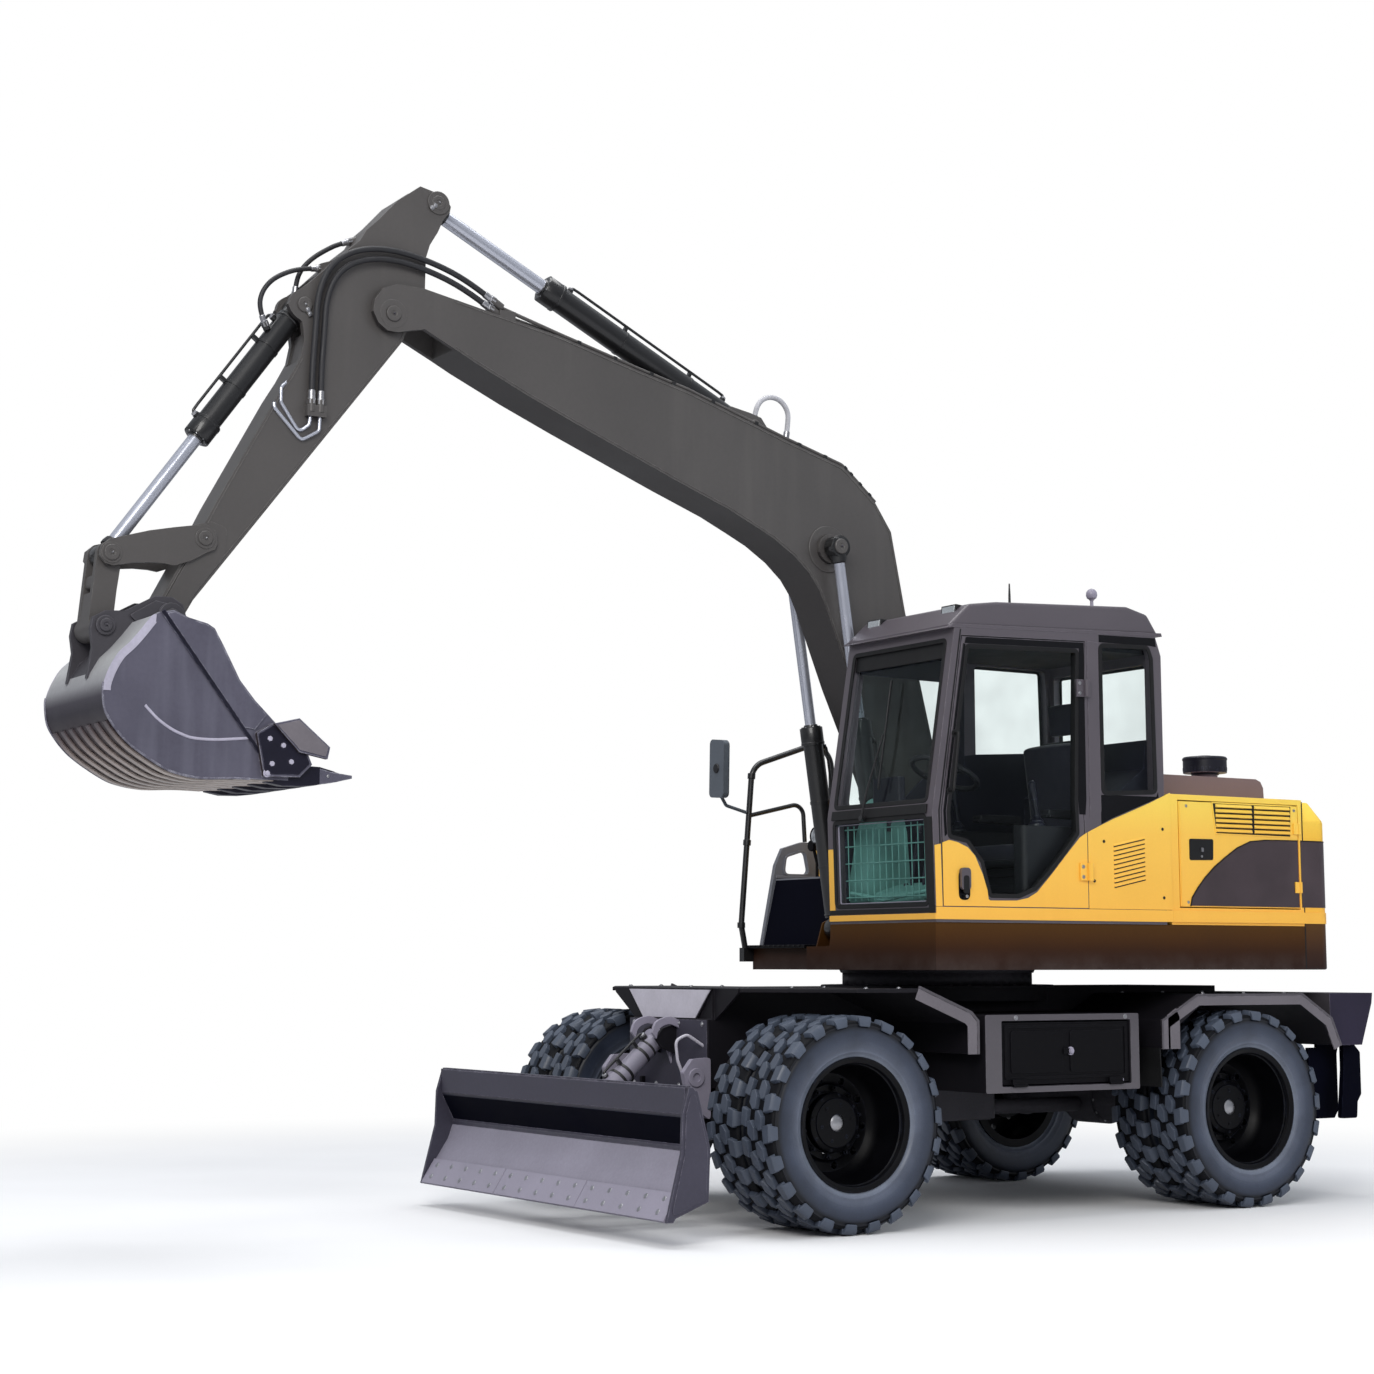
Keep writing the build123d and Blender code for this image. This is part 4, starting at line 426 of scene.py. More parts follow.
def inset(points, d):
    n = len(points)
    area = sum(points[i][0] * points[(i + 1) % n][1] - points[(i + 1) % n][0] * points[i][1] for i in range(n))
    s = 1.0 if area > 0 else -1.0
    lines = []
    for i in range(n):
        (x0, z0), (x1, z1) = points[i], points[(i + 1) % n]
        length = math.hypot(x1 - x0, z1 - z0)
        nx, nz = -(z1 - z0) / length * s, (x1 - x0) / length * s
        lines.append((x0 + nx * d, z0 + nz * d, x1 - x0, z1 - z0))
    out = []
    for i in range(n):
        ax, az, adx, adz = lines[i - 1]
        bx, bz, bdx, bdz = lines[i]
        det = adx * bdz - adz * bdx
        t = ((bx - ax) * bdz - (bz - az) * bdx) / det
        out.append((ax + adx * t, az + adz * t))
    return out


def rounded(points, r, steps=4):
    """Closed outline with its corners rounded."""
    out, n = [], len(points)
    for i in range(n):
        a, b, c = Vector(points[i - 1]), Vector(points[i]), Vector(points[(i + 1) % n])
        u, v = a - b, c - b
        half = max(u.angle(v) / 2, 0.05)
        if half > 1.5:
            out.append(tuple(b))
            continue
        d = min(r / math.tan(half), 0.45 * u.length, 0.45 * v.length)
        s, e = b + u.normalized() * d, b + v.normalized() * d
        for k in range(steps + 1):
            t = k / steps
            out.append(tuple(s * (1 - t) ** 2 + b * 2 * t * (1 - t) + e * t * t))
    return out


def rim_of(points, width, r=0.0):
    """Closed frame of that width, just inside an outline, as (outer, inner)."""
    o = rounded(points, r) if r else points
    return o, inset(o, width)


def add_frame(shape, outer, inner, axis, a, b):
    """Closed frame between two outlines with the same number of points."""
    at = {'x': lambda p, t: (t, p[0], p[1]), 'y': lambda p, t: (p[0], t, p[1]), 'z': lambda p, t: (p[0], p[1], t)}[axis]
    n = len(outer)
    vs = [at(p, t) for t in (a, b) for ring in (outer, inner) for p in ring]
    fs = []
    for i in range(n):
        j = (i + 1) % n
        fs += [(i, j, n + j, n + i), (2 * n + i, 3 * n + i, 3 * n + j, 2 * n + j), (i, 2 * n + i, 2 * n + j, j), (n + i, n + j, 3 * n + j, 3 * n + i)]
    return shape.raw(vs, fs)


def mesh_of(name, shape, mats, scale_to_frame=True):
    me = bpy.data.meshes.new(name)
    me.from_pydata([tuple(P(*v)) if scale_to_frame else tuple(c / 1000 for c in v) for v in shape.v], [], shape.f)
    for m in mats:
        me.materials.append(M[m])
    for i, p in enumerate(me.polygons):
        p.material_index = shape.m[i]
        p.use_smooth = True
    bm = bmesh.new()
    bm.from_mesh(me)
    bmesh.ops.recalc_face_normals(bm, faces=bm.faces)
    for e in bm.edges:
        if len(e.link_faces) == 2 and e.calc_face_angle(0) > math.radians(32):
            e.smooth = False
    bm.to_mesh(me)
    bm.free()
    return me


def soften(ob, bevel, segments=2, angle=32):
    if bevel:
        b = ob.modifiers.new("edge", 'BEVEL')
        b.width = bevel / 1000
        b.segments = segments
        b.limit_method = 'ANGLE'
        b.angle_limit = math.radians(angle)
        b.use_clamp_overlap = True
        b.harden_normals = False
    w = ob.modifiers.new("normals", 'WEIGHTED_NORMAL')
    w.keep_sharp = not bevel
    w.weight = 50


def make(name, shape, body, slot, mats=None, bevel=2.5, segments=2, replaces=()):
    mats = mats or [slot]
    ob = bpy.data.objects.new(name, mesh_of(name, shape, mats))
    SCENE.objects.link(ob)
    soften(ob, bevel, segments)
    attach(ob, body)
    if replaces:
        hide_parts(*replaces)
    return ob


# ---------------------------------------------------------------------------
# Cords: the hoses, on the routes their solids have
# ---------------------------------------------------------------------------
ARM_HOSE_1 = [(2867, 112, 4598), (2981, 117, 4661), (3160, 126, 4724), (3400, 134, 4766), (3600, 134, 4745), (3745, 128, 4655), (3815, 122, 4500), (3822, 119, 4300), (3835, 118, 4110), (3835, 118, 3963)]
ARM_HOSE_2 = [(2878, 112, 4553), (2995, 116, 4617), (3175, 124, 4679), (3395, 130, 4718), (3575, 130, 4698), (3706, 126, 4620), (3770, 121, 4480), (3776, 118, 4295), (3788, 118, 4110), (3788, 118, 3963)]
BOOM_HOSE = [(1199, 0, 4187), (1191, 4, 4272), (1128, 8, 4333), (1038, 8, 4333), (976, 4, 4272), (978, 0, 4190), (990, -2, 4112)]
BUCKET_HOSE_1 = [(4046, 22, 4335), (4074, 25, 4396), (4070, 27, 4471), (4021, 28, 4546), (3936, 28, 4600), (3850, 27, 4630), (3778, 26, 4640)]
BUCKET_HOSE_2 = [(3872, -22, 4512), (3867, -24, 4580), (3834, -26, 4650), (3777, -26, 4710), (3712, -25, 4757), (3650, -24, 4795), (3598, -23, 4814)]
HOSES = [
    # node, route, radius, length m, first body, last body, blend start, blend end, finish
    ("arm_hose_outer", ARM_HOSE_1, 15.0, 1.633, "boom", "arm", (3080, 120, 4700), (3800, 120, 4520), "hose_rubber"),
    ("arm_hose_inner", ARM_HOSE_2, 15.0, 1.543, "boom", "arm", (3080, 120, 4660), (3770, 120, 4480), "hose_rubber"),
    ("boom_hose", BOOM_HOSE, 14.0, 0.496, "arm_cylinder_barrel", "boom", (1195, 0, 4280), (976, 0, 4280), "hose_grey"),
    ("bucket_hose_left", BUCKET_HOSE_1, 12.0, 0.492, "bucket_cylinder_barrel", "arm", (4070, 25, 4400), (3860, 27, 4630), "hose_rubber"),
    ("bucket_hose_right", BUCKET_HOSE_2, 12.0, 0.435, "bucket_cylinder_barrel", "arm", (3866, -24, 4580), (3660, -24, 4790), "hose_rubber"),
]


def route_line(points):
    """The smooth line of a route: its points steer a NURBS spline, read back as a plain line."""
    c = bpy.data.curves.new("route", 'CURVE')
    c.dimensions = '3D'
    c.resolution_u = 16
    s = c.splines.new('NURBS')
    s.points.add(len(points) - 1)
    for p, q in zip(s.points, points):
        v = P(*q)
        p.co = (v.x, v.y, v.z, 1.0)
    s.order_u = 3
    s.use_endpoint_u = True
    o = bpy.data.objects.new("route", c)
    SCENE.objects.link(o)
    me = bpy.data.meshes.new_from_object(o)
    line = [v.co.copy() for v in me.vertices]
    bpy.data.objects.remove(o)
    bpy.data.curves.remove(c)
    bpy.data.meshes.remove(me)
    return line


def to_mm(p):
    return ((p.x - OX) * 1000, p.y * 1000, p.z * 1000)


hose_lines = {}
for name, route, r, length, first, last, b0, b1, fin in HOSES:
    line = route_line(route)
    hose_lines[name] = line
    s = Shape()
    s.tube([to_mm(p) for p in line], r, 16)
    ob = bpy.data.objects.new(name + "_tube", mesh_of(name + "_tube", s, [fin]))
    SCENE.objects.link(ob)
    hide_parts(name)
    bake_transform(ob)


def ferrule(shape, line, at_start, r, length=46):
    """Crimped sleeve over a hose end with its nut."""
    pts = [Vector(to_mm(p)) for p in (line if at_start else line[::-1])]
    a = pts[0]
    d = (pts[2] - pts[0]).normalized()
    shape.lathe(a, d, [(-2, 0), (-2, r + 6), (8, r + 6), (9, r + 3.2), (length - 5, r + 3.2), (length, r + 1.5), (length, 0)], 20)
    shape.lathe(a - d * 22, d, [(0, 0), (0, r + 8), (20, r + 8), (22, r + 5), (22, 0)], 6)


# ---------------------------------------------------------------------------
# CAD nodes that stay: welded, edges eased, finished
# ---------------------------------------------------------------------------
BEVELS = {
    "cab_shell": 7, "cab_roof": 22, "cab_door": 3, "hood": 16, "counterweight": 14, "engine_bay": 8, "upper_frame": 6, "right_tank": 14, "right_steps": 6,
    "boom": 4, "arm": 4, "bucket": 4, "tipping_lever": 4, "bucket_link": 5, "blade": 3, "chassis_frame": 5, "fenders": 3, "side_boxes": 6, "rear_bumper": 6,
    "left_box_door": 3, "right_box_door": 3, "left_service_door": 4, "right_service_door": 4, "mirror": 6, "cab_controls": 4, "swing_motor": 4, "engine_block": 10,
    "front_axle": 5, "rear_axle": 3, "drive_line": 8, "left_knuckle": 4, "right_knuckle": 4,
}
ROD_EYES = {"boom_cylinder_rod": (0.815, 3.5), "arm_cylinder_rod": (3.161, 5.055), "bucket_cylinder_rod": (4.801, 3.133), "blade_cylinder_rod": (2.24, 0.52)}
for name, ob in frame["nodes"].items():
    ob.data.materials.clear()
    ob.data.materials.append(M[MATERIAL_OF.get(name, slot_of[name])])
    for p in ob.data.polygons:
        p.material_index = 0
    if name == "blade":
        # end plates and the arms behind the mouldboard have the plain paint
        ob.data.materials.append(M["blade_end"])
        for p in ob.data.polygons:
            if abs(p.center.y) > 1.2 or p.center.x < OX + 2.29:
                p.material_index = 1
    if name == "bucket":
        # back of the shell with a painted highlight and reflection, dark low down and near white towards the top; dark
        # ears
        ob.data.materials.append(M["shell_back_painted_sheen"])
        ob.data.materials.append(M["ear_dark"])
        for p in ob.data.polygons:
            wide = max(abs(ob.data.vertices[i].co.y) for i in p.vertices)
            if wide < 0.2:
                p.material_index = 2
            elif abs(p.normal.y) < 0.3 and (p.normal.x > 0.25 or p.normal.z < -0.3) and p.center.x > OX + 3.95:
                p.material_index = 1
    if name in ("cab_door", "cab_shell"):
        # the lower hinge is painted with the yellow skirt it sits on
        ob.data.materials.append(M["yellow_paint"])
        for p in ob.data.polygons:
            if 1.66 < p.center.z < 1.84 and p.center.y > 1.1955 and abs(p.center.x - OX) < 0.09:
                p.material_index = 1
    # rear bumper: navy below 0.84 m, the side faces in a darker copy of its paint as painted shade
    if name == "rear_bumper":
        ob.data.materials.append(M["bumper_side_painted_shade"])
        ob.data.materials.append(M["navy_dark"])
        for p in ob.data.polygons:
            if p.center.z < 0.84:
                p.material_index = 2
            elif abs(p.normal.y) > 0.7:
                p.material_index = 1
    # faces turned down on the boom and arm take the darker copy: painted shade
    if name in ("boom", "arm"):
        ob.data.materials.append(M["boom_underside_painted_shade"])
        for p in ob.data.polygons:
            if p.normal.z < -0.35 and abs(p.normal.y) < 0.3:
                p.material_index = 1
    if name.endswith("_rod") and name in ROD_EYES:
        # the forged eye is painted, only the shaft is bright
        ob.data.materials.append(M["cylinder_black"])
        ex, ez = ROD_EYES[name]
        for p in ob.data.polygons:
            if math.hypot(p.center.x - OX - ex, p.center.z - ez) < 0.078:
                p.material_index = 1
    if name in ("cab_glass", "door_glass") or name.endswith("_tyres") or name.endswith("_rim"):
        continue
    w = ob.modifiers.new("weld", 'WELD')
    w.merge_threshold = 0.00003
    if name in BEVELS:
        d = ob.modifiers.new("flat", 'DECIMATE')
        d.decimate_type = 'DISSOLVE'
        d.angle_limit = math.radians(0.6)
        b = ob.modifiers.new("edge", 'BEVEL')
        b.width = BEVELS[name] / 1000
        b.segments = 3 if BEVELS[name] > 10 else 2
        b.limit_method = 'ANGLE'
        b.angle_limit = math.radians(30)
        b.use_clamp_overlap = True
    n = ob.modifiers.new("normals", 'WEIGHTED_NORMAL')
    n.keep_sharp = False

# ---------------------------------------------------------------------------
# Tyres: twin traction tyres with staggered blocks
# ---------------------------------------------------------------------------
HALF_SECTION = [(99, 299), (102, 312), (104, 326), (109, 334), (116, 340), (117, 347), (114, 352), (117, 362), (122, 380), (124, 384), (123, 388), (126, 404), (127, 420), (126.5, 436),
                (124.5, 449), (121, 458), (117, 462), (116, 467), (118, 474), (114, 484), (104, 490), (70, 491.5), (30, 492)]
PITCHES = 22


def tread_point(y, s, r):
    """Point at width y and distance s round the tread, on radius r."""
    a = s / 516.0
    return (r * math.sin(a), y, r * math.cos(a))


def block(shape, outline, base, top, drop=()):
    """Tread block: outline of (y, s) with its top a little smaller than its foot; drop lowers corners by index."""
    cy = sum(p[0] for p in outline) / len(outline)
    cs = sum(p[1] for p in outline) / len(outline)
    n = len(outline)
    foot = [tread_point(cy + (y - cy) * 1.06, cs + (s - cs) * 1.10, base) for y, s in outline]
    face = [tread_point(y, s, top - (drop[i] if drop else 0)) for i, (y, s) in enumerate(outline)]
    return shape.raw(foot + face, [tuple(range(n))[::-1], tuple(range(n, 2 * n))] + [(i, (i + 1) % n, n + (i + 1) % n, n + i) for i in range(n)])


tyre = Shape()
# sidewall, with painted shade in the shoulder groove
tyre.use(2)
tyre.lathe((0, 0, 0), (0, 1, 0), [(y, r) for y, r in HALF_SECTION[:20]] + [(-y, r) for y, r in HALF_SECTION[:20][::-1]], 112, closed=True)
# tread floor between the blocks in near black: painted shade
tyre.use(1)
tyre.lathe((0, 0, 0), (0, 1, 0), [(y, r) for y, r in HALF_SECTION[18:]] + [(-y, r) for y, r in HALF_SECTION[18:][::-1]], 112)
tyre.use(0)
pitch_len = 2 * math.pi * 516 / PITCHES
for k in range(PITCHES):
    s0 = k * pitch_len
    # two middle rows of long slanted blocks, laid like brick
    block(tyre, [(-58, s0 - 52), (-34, s0 - 60), (-3, s0 - 26), (-3, s0 + 30), (-24, s0 + 36), (-56, s0 + 4)], 488, 516)
    s1 = s0 + pitch_len / 2
    block(tyre, [(3, s1 - 30), (24, s1 - 36), (56, s1 - 4), (58, s1 + 52), (34, s1 + 60), (3, s1 + 26)], 488, 516)
    # shoulder blocks that wrap down onto the sidewall
    for sy, ss in ((-1, s0 + pitch_len * 0.5), (1, s0)):
        o = [(sy * 66, ss - 34), (sy * 112, ss - 48), (sy * 112, ss + 36), (sy * 68, ss + 46)]
        block(tyre, o if sy > 0 else o[::-1], 486, 516, drop=((0, 3, 3, 0) if sy > 0 else (0, 3, 3, 0)))
        vs = []
        for y, r in ((96, 484), (122, 462), (129, 466), (126, 496), (111, 514.5), (96, 508)):
            vs += [tread_point(sy * y, ss - 46 + (516 - r) * 0.20, r), tread_point(sy * y, ss + 35 - (516 - r) * 0.10, r)]
        m = len(vs) // 2
        tyre.raw(vs, [(2 * i, 2 * i + 1, 2 * ((i + 1) % m) + 1, 2 * ((i + 1) % m)) for i in range(m)] + [tuple(range(0, 2 * m, 2))[::-1], tuple(range(1, 2 * m, 2))])
tyre_mesh = mesh_of("traction_tyre", tyre, ["tyre_rubber", "tyre_groove_painted_shade", "tyre_wall_groove_shade"], scale_to_frame=False)


def turned(mesh, name, about_y, about_z):
    """Copy of a wheel mesh, turned about its axle and then faced left or right."""
    me = mesh.copy()
    me.name = name
    me.transform(Matrix.Rotation(about_z, 4, 'Z') @ Matrix.Rotation(about_y, 4, 'Y'))
    return me



OUTER_MID, INNER_MID, AXLE_Z = 1117.5, 817.5, 516.0
AXLES = {"front": 1450.0, "rear": -1134.0}

# ---------------------------------------------------------------------------
# Rims: deep dished disc with hand holes, studs and hub
# ---------------------------------------------------------------------------
YD, YO, YI = 967.5, 1229.5, 705.5
rim = Shape()
rim.lathe((0, 0, 0), (0, 1, 0), [
    (YI, 272), (YI, 317), (YI + 10, 319), (YI + 13, 300), (YO - 15, 299), (YO - 13, 317), (YO - 8, 320), (YO - 2, 319), (YO, 314), (YO - 3, 303), (YO - 9, 292), (YO - 24, 286), (YO - 30, 290), (YO - 36, 290), (YO - 40, 284),
    (YD + 84, 275), (YD + 60, 268), (YD + 42, 256), (YD + 27, 244), (YD + 18, 236), (YD + 16, 226), (YD + 16, 196), (YD + 19, 189), (YD + 30, 182), (YD + 34, 178), (YD + 34, 150),
    (YD - 2, 149), (YD - 14, 160), (YD - 16, 190), (YD - 16, 240), (YD - 24, 258), (YD - 60, 270)], 72, closed=True)
rim_solid = bpy.data.objects.new("rim_work", mesh_of("rim_work", rim, ["rim_black"], scale_to_frame=False))
SCENE.objects.link(rim_solid)
holes = Shape()
for k in range(10):
    a = 2 * math.pi * (k + 0.5) / 10
    holes.cyl((211 * math.cos(a), YD - 40, 211 * math.sin(a)), (211 * math.cos(a), YD + 40, 211 * math.sin(a)), 19, 20)
cutter = bpy.data.objects.new("rim_cut", mesh_of("rim_cut", holes, ["rim_black"], scale_to_frame=False))
SCENE.objects.link(cutter)
bo = rim_solid.modifiers.new("holes", 'BOOLEAN')
bo.operation = 'DIFFERENCE'
bo.object = cutter
bo.solver = 'EXACT'
bpy.context.view_layer.update()
rim_mesh = bpy.data.meshes.new_from_object(rim_solid.evaluated_get(bpy.context.evaluated_depsgraph_get()))
bpy.data.objects.remove(rim_solid)
bpy.data.objects.remove(cutter)

hub = Shape()
hub.lathe((0, 0, 0), (0, 1, 0), [(YD - 200, 0), (YD - 200, 60), (YD - 190, 62), (YD - 180, 148), (YD + 36, 148), (YD + 38, 142), (YD + 44, 138), (YD + 66, 136), (YD + 70, 142), (YD + 80, 142), (YD + 84, 138), (YD + 92, 120), (YD + 98, 116), (YD + 100, 60), (YD + 100, 0)], 48)
for k in range(10):
    a = 2 * math.pi * k / 10
    c = (165 * math.cos(a), YD + 34, 165 * math.sin(a))
    hub.lathe(c, (0, 1, 0), [(0, 0), (0, 17), (4, 16), (4, 13.5), (20, 13.5), (23, 11), (23, 7.5), (36, 7.5), (38, 6), (38, 0)], 6, start=a)
for k in range(8):
    a = 2 * math.pi * (k + 0.5) / 8
    hub.bolt((129 * math.cos(a), YD + 83, 129 * math.sin(a)), (0, 1, 0), 7, 6)
for k in range(6):
    a = 2 * math.pi * k / 6
    hub.bolt((88 * math.cos(a), YD + 99, 88 * math.sin(a)), (0, 1, 0), 6, 5)
hub.use(1)
hub.lathe((0, 0, 0), (0, 1, 0), [(YD + 98, 0), (YD + 98, 40), (YD + 104, 40), (YD + 108, 34), (YD + 113, 24), (YD + 113, 0)], 32)
hub.use(0)
# valve stem
hub.pipe([(0, YD + 40, 262), (0, YD + 70, 262), (0, YD + 118, 268)], 5, 12, 8)
hub_mesh = mesh_of("wheel_hub", hub, ["rim_black", "bright_steel"], scale_to_frame=False)

for which, ax in AXLES.items():
    for side, sy in (("left", 1), ("right", -1)):
        body = next(b for b, ns in frame["record"]["behaviour"]["bodies"].items() if f"{which}_{side}_rim" in ns)
        turn = 0.0 if sy > 0 else math.pi
        for tag, mid, flip in (("outer", OUTER_MID, 0.0), ("inner", INNER_MID, math.pi)):
            name = f"{which}_{side}_{tag}_tyre"
            o = bpy.data.objects.new(name, turned(tyre_mesh, name, 0.13 * mid / 300, turn + flip))
            SCENE.objects.link(o)
            o.location = P(ax, sy * mid, AXLE_Z)
            soften(o, 3.0, 1, 34)
            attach(o, body)
            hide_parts(f"{which}_{side}_tyres")
        for tag, me in (("rim_disc", rim_mesh), ("hub_parts", hub_mesh)):
            name = f"{which}_{side}_{tag}"
            o = bpy.data.objects.new(name, turned(me, name, 0.2 if which == "front" else 0.5, turn))
            SCENE.objects.link(o)
            o.location = P(ax, 0, AXLE_Z)
            soften(o, 2.0, 2, 32)
            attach(o, body)
            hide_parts(f"{which}_{side}_rim")

# ---------------------------------------------------------------------------
# Bucket: heel straps, mouth plates, welds, cutter bolts, tooth tips
# ---------------------------------------------------------------------------
BUCKET_OUT = [(3935, 2106), (4163, 2104), (4300, 2106), (4455, 2100), (4565, 2116), (4640, 2143), (4755, 2211), (4822, 2264), (4875, 2326), (4909, 2386), (4921, 2470), (4918, 2505), (4895, 2570), (4855, 2640), (4805, 2690), (4758, 2746), (4705, 2815), (4684, 2822)]


def smooth_line(pts, steps=4):
    """Open line rounded through its own points."""
    out = []
    q = [pts[0]] + list(pts) + [pts[-1]]
    for i in range(len(pts) - 1):
        a, b, c, d = (Vector(q[i + k]) for k in range(4))
        for k in range(steps):
            t = k / steps
            out.append(tuple(0.5 * ((2 * b) + (c - a) * t + (2 * a - 5 * b + 4 * c - d) * t * t + (3 * b - a - 3 * c + d) * t ** 3)))
    return out + [tuple(pts[-1])]


heel = smooth_line(BUCKET_OUT[1:12])
# heel straps, their pale-to-dark colour a painted highlight
straps = Shape()
for y in (-345, -230, -115, 0, 115, 230, 345):
    straps.strip([q for q in heel if q[1] < 2345 and q[0] > 4160], 22, -11, 'y', y, lift=1.5)
# flat wear plate under the lip
straps.strip([(3950, 2106), (4163, 2104), (4290, 2106)], 392, -7, 'y', 0, lift=1.0)
make("bucket_heel_straps", straps, "bucket", "bucket_steel", ["strap_steel_painted_highlight"], bevel=3)

MOUTH = [(4663, 2828), (4600, 2841), (4532, 2814), (4446, 2793), (4412, 2776), (4363, 2690), (4287, 2549), (4212, 2461), (4112, 2365), (4165, 2206), (4250, 2306)]
plates = Shape()
for sy in (-1, 1):
    y0, y1 = sorted((sy * 400, sy * 407))
    plates.prism([(4658, 2826), (4600, 2841), (4532, 2814), (4446, 2793), (4412, 2776), (4363, 2690), (4287, 2549), (4212, 2461), (4150, 2400), (4205, 2330), (4262, 2338)], 'y', y0, y1)
    # bead along the lower weld, pale as a painted highlight, and along the heel edge
    for line, r in (([(4725, 2413), (4668, 2358), (4606, 2316), (4545, 2290), (4488, 2277), (4380, 2276), (4235, 2290)], 4.5), (heel[2:], 5.5)):
        line3 = [(x, sy * 399.5, z) for x, z in (smooth_line(line, 5) if len(line) < 10 else line)]
        plates.use(2 if r < 5 else 0)
        plates.tube(line3, r + 2.5 if r < 5 else r, 8)
    # dark seam between side wall and mouth plate, and a pale band along the top edge as a painted highlight
    plates.use(1)
    q0, q1 = sorted((sy * 406.5, sy * 409))
    plates.prism([(4664, 2838), (4648, 2848), (4158, 2212), (4172, 2202)], 'y', q0, q1)
    plates.use(2)
    band = smooth_line(BUCKET_OUT[10:], 4)
    inner = offset(band, 36)
    q0, q1 = sorted((sy * 399.5, sy * 404))
    plates.prism(band + inner[::-1], 'y', q0, q1)
    plates.use(0)
make("bucket_side_plates", plates, "bucket", "bucket_steel", ["bucket_steel", "cutter_dark", "pale_trim_wear_and_highlight"], bevel=2.5)

cut = Shape()
for sy in (-1, 1):
    for x, z in ((4074, 2262), (4128, 2176), (4034, 2188), (4140, 2290), (4150, 2132), (4020, 2318)):
        cut.use(1)
        cut.bolt((x, sy * 424, z), (0, sy, 0), 13, 11)
    cut.use(0)
    y0, y1 = sorted((sy * 423, sy * 428))
    cut.prism(rounded([(4196, 2308), (4128, 2350), (4028, 2370), (3966, 2240), (3942, 2184), (3996, 2130), (4158, 2128)], 14), 'y', y0, y1)
    # bevelled leading plate of the cutter
    y0, y1 = sorted((sy * 445, sy * 451))
    cut.use(2)
    cut.prism([(4112, 2352), (4008, 2380), (3862, 2262), (3872, 2218), (4000, 2243)], 'y', y0, y1)
make("bucket_side_cutters", cut, "bucket", "bucket_steel", ["cutter_dark", "pale_trim_wear_and_highlight", "fender_light"], bevel=2)

teeth = Shape()
for y in (-366, -185, 0, 185, 366):
    # adapter straddling the lip
    teeth.use(0)
    vs, fs = [], []
    for x, hw, za, zb in ((4140, 20, 2093, 2146), (4060, 33, 2080, 2160), (3960, 37, 2082, 2176), (3880, 34, 2092, 2174), (3800, 26, 2110, 2156)):
        i = len(vs)
        vs += [(x, y - hw, za), (x, y + hw, za), (x, y + hw, zb), (x, y - hw, zb)]
        if i:
            fs += [(i - 4 + k, i - 4 + (k + 1) % 4, i + (k + 1) % 4, i + k) for k in range(4)]
    fs += [(3, 2, 1, 0), (len(vs) - 4, len(vs) - 3, len(vs) - 2, len(vs) - 1)]
    teeth.raw(vs, fs)
    # pointed tip with a spine, pinned on
    teeth.use(1)
    vs, fs = [], []
    for x, hw, za, zb in ((3812, 30, 2104, 2160), (3790, 29, 2108, 2155), (3765, 27, 2115, 2148), (3736, 24, 2122, 2142), (3712, 21, 2128, 2137)):
        i = len(vs)
        vs += [(x, y - hw, za), (x, y + hw, za), (x, y + hw, (za + zb) / 2 + 4), (x, y + hw * 0.45, zb), (x, y - hw * 0.45, zb), (x, y - hw, (za + zb) / 2 + 4)]
        if i:
            fs += [(i - 6 + k, i - 6 + (k + 1) % 6, i + (k + 1) % 6, i + k) for k in range(6)]
    fs += [(5, 4, 3, 2, 1, 0), tuple(len(vs) - 6 + k for k in range(6))]
    teeth.raw(vs, fs)
    teeth.use(2)
    teeth.cyl((3838, y - 37, 2132), (3838, y + 37, 2132), 8, 12)
make("bucket_teeth", teeth, "bucket", "bucket_steel", ["cutter_dark", "wear_steel", "bright_steel"], bevel=3)

lip = Shape()
# sharpened lip edge and gusset ribs under the ears
lip.prism([(3935, 2106), (3935, 2134), (3900, 2118), (3900, 2112)], 'y', -398, 398)
for sy in (-1, 1):
    y0, y1 = sorted((sy * 150, sy * 162))
    lip.prism(rounded([(4480, 2800), (4500, 2905), (4600, 2922), (4724, 2846), (4690, 2818), (4620, 2836)], 12), 'y', y0, y1)
    lip.ring((4525, sy * 150, 2855), (0, sy, 0), 62, 34, 22, 32, 3)
    lip.ring((4833, sy * 150, 2792), (0, sy, 0), 46, 30, 14, 32, 3)
make("bucket_lip_and_bosses", lip, "bucket", "bucket_steel", ["ear_dark"], bevel=3)


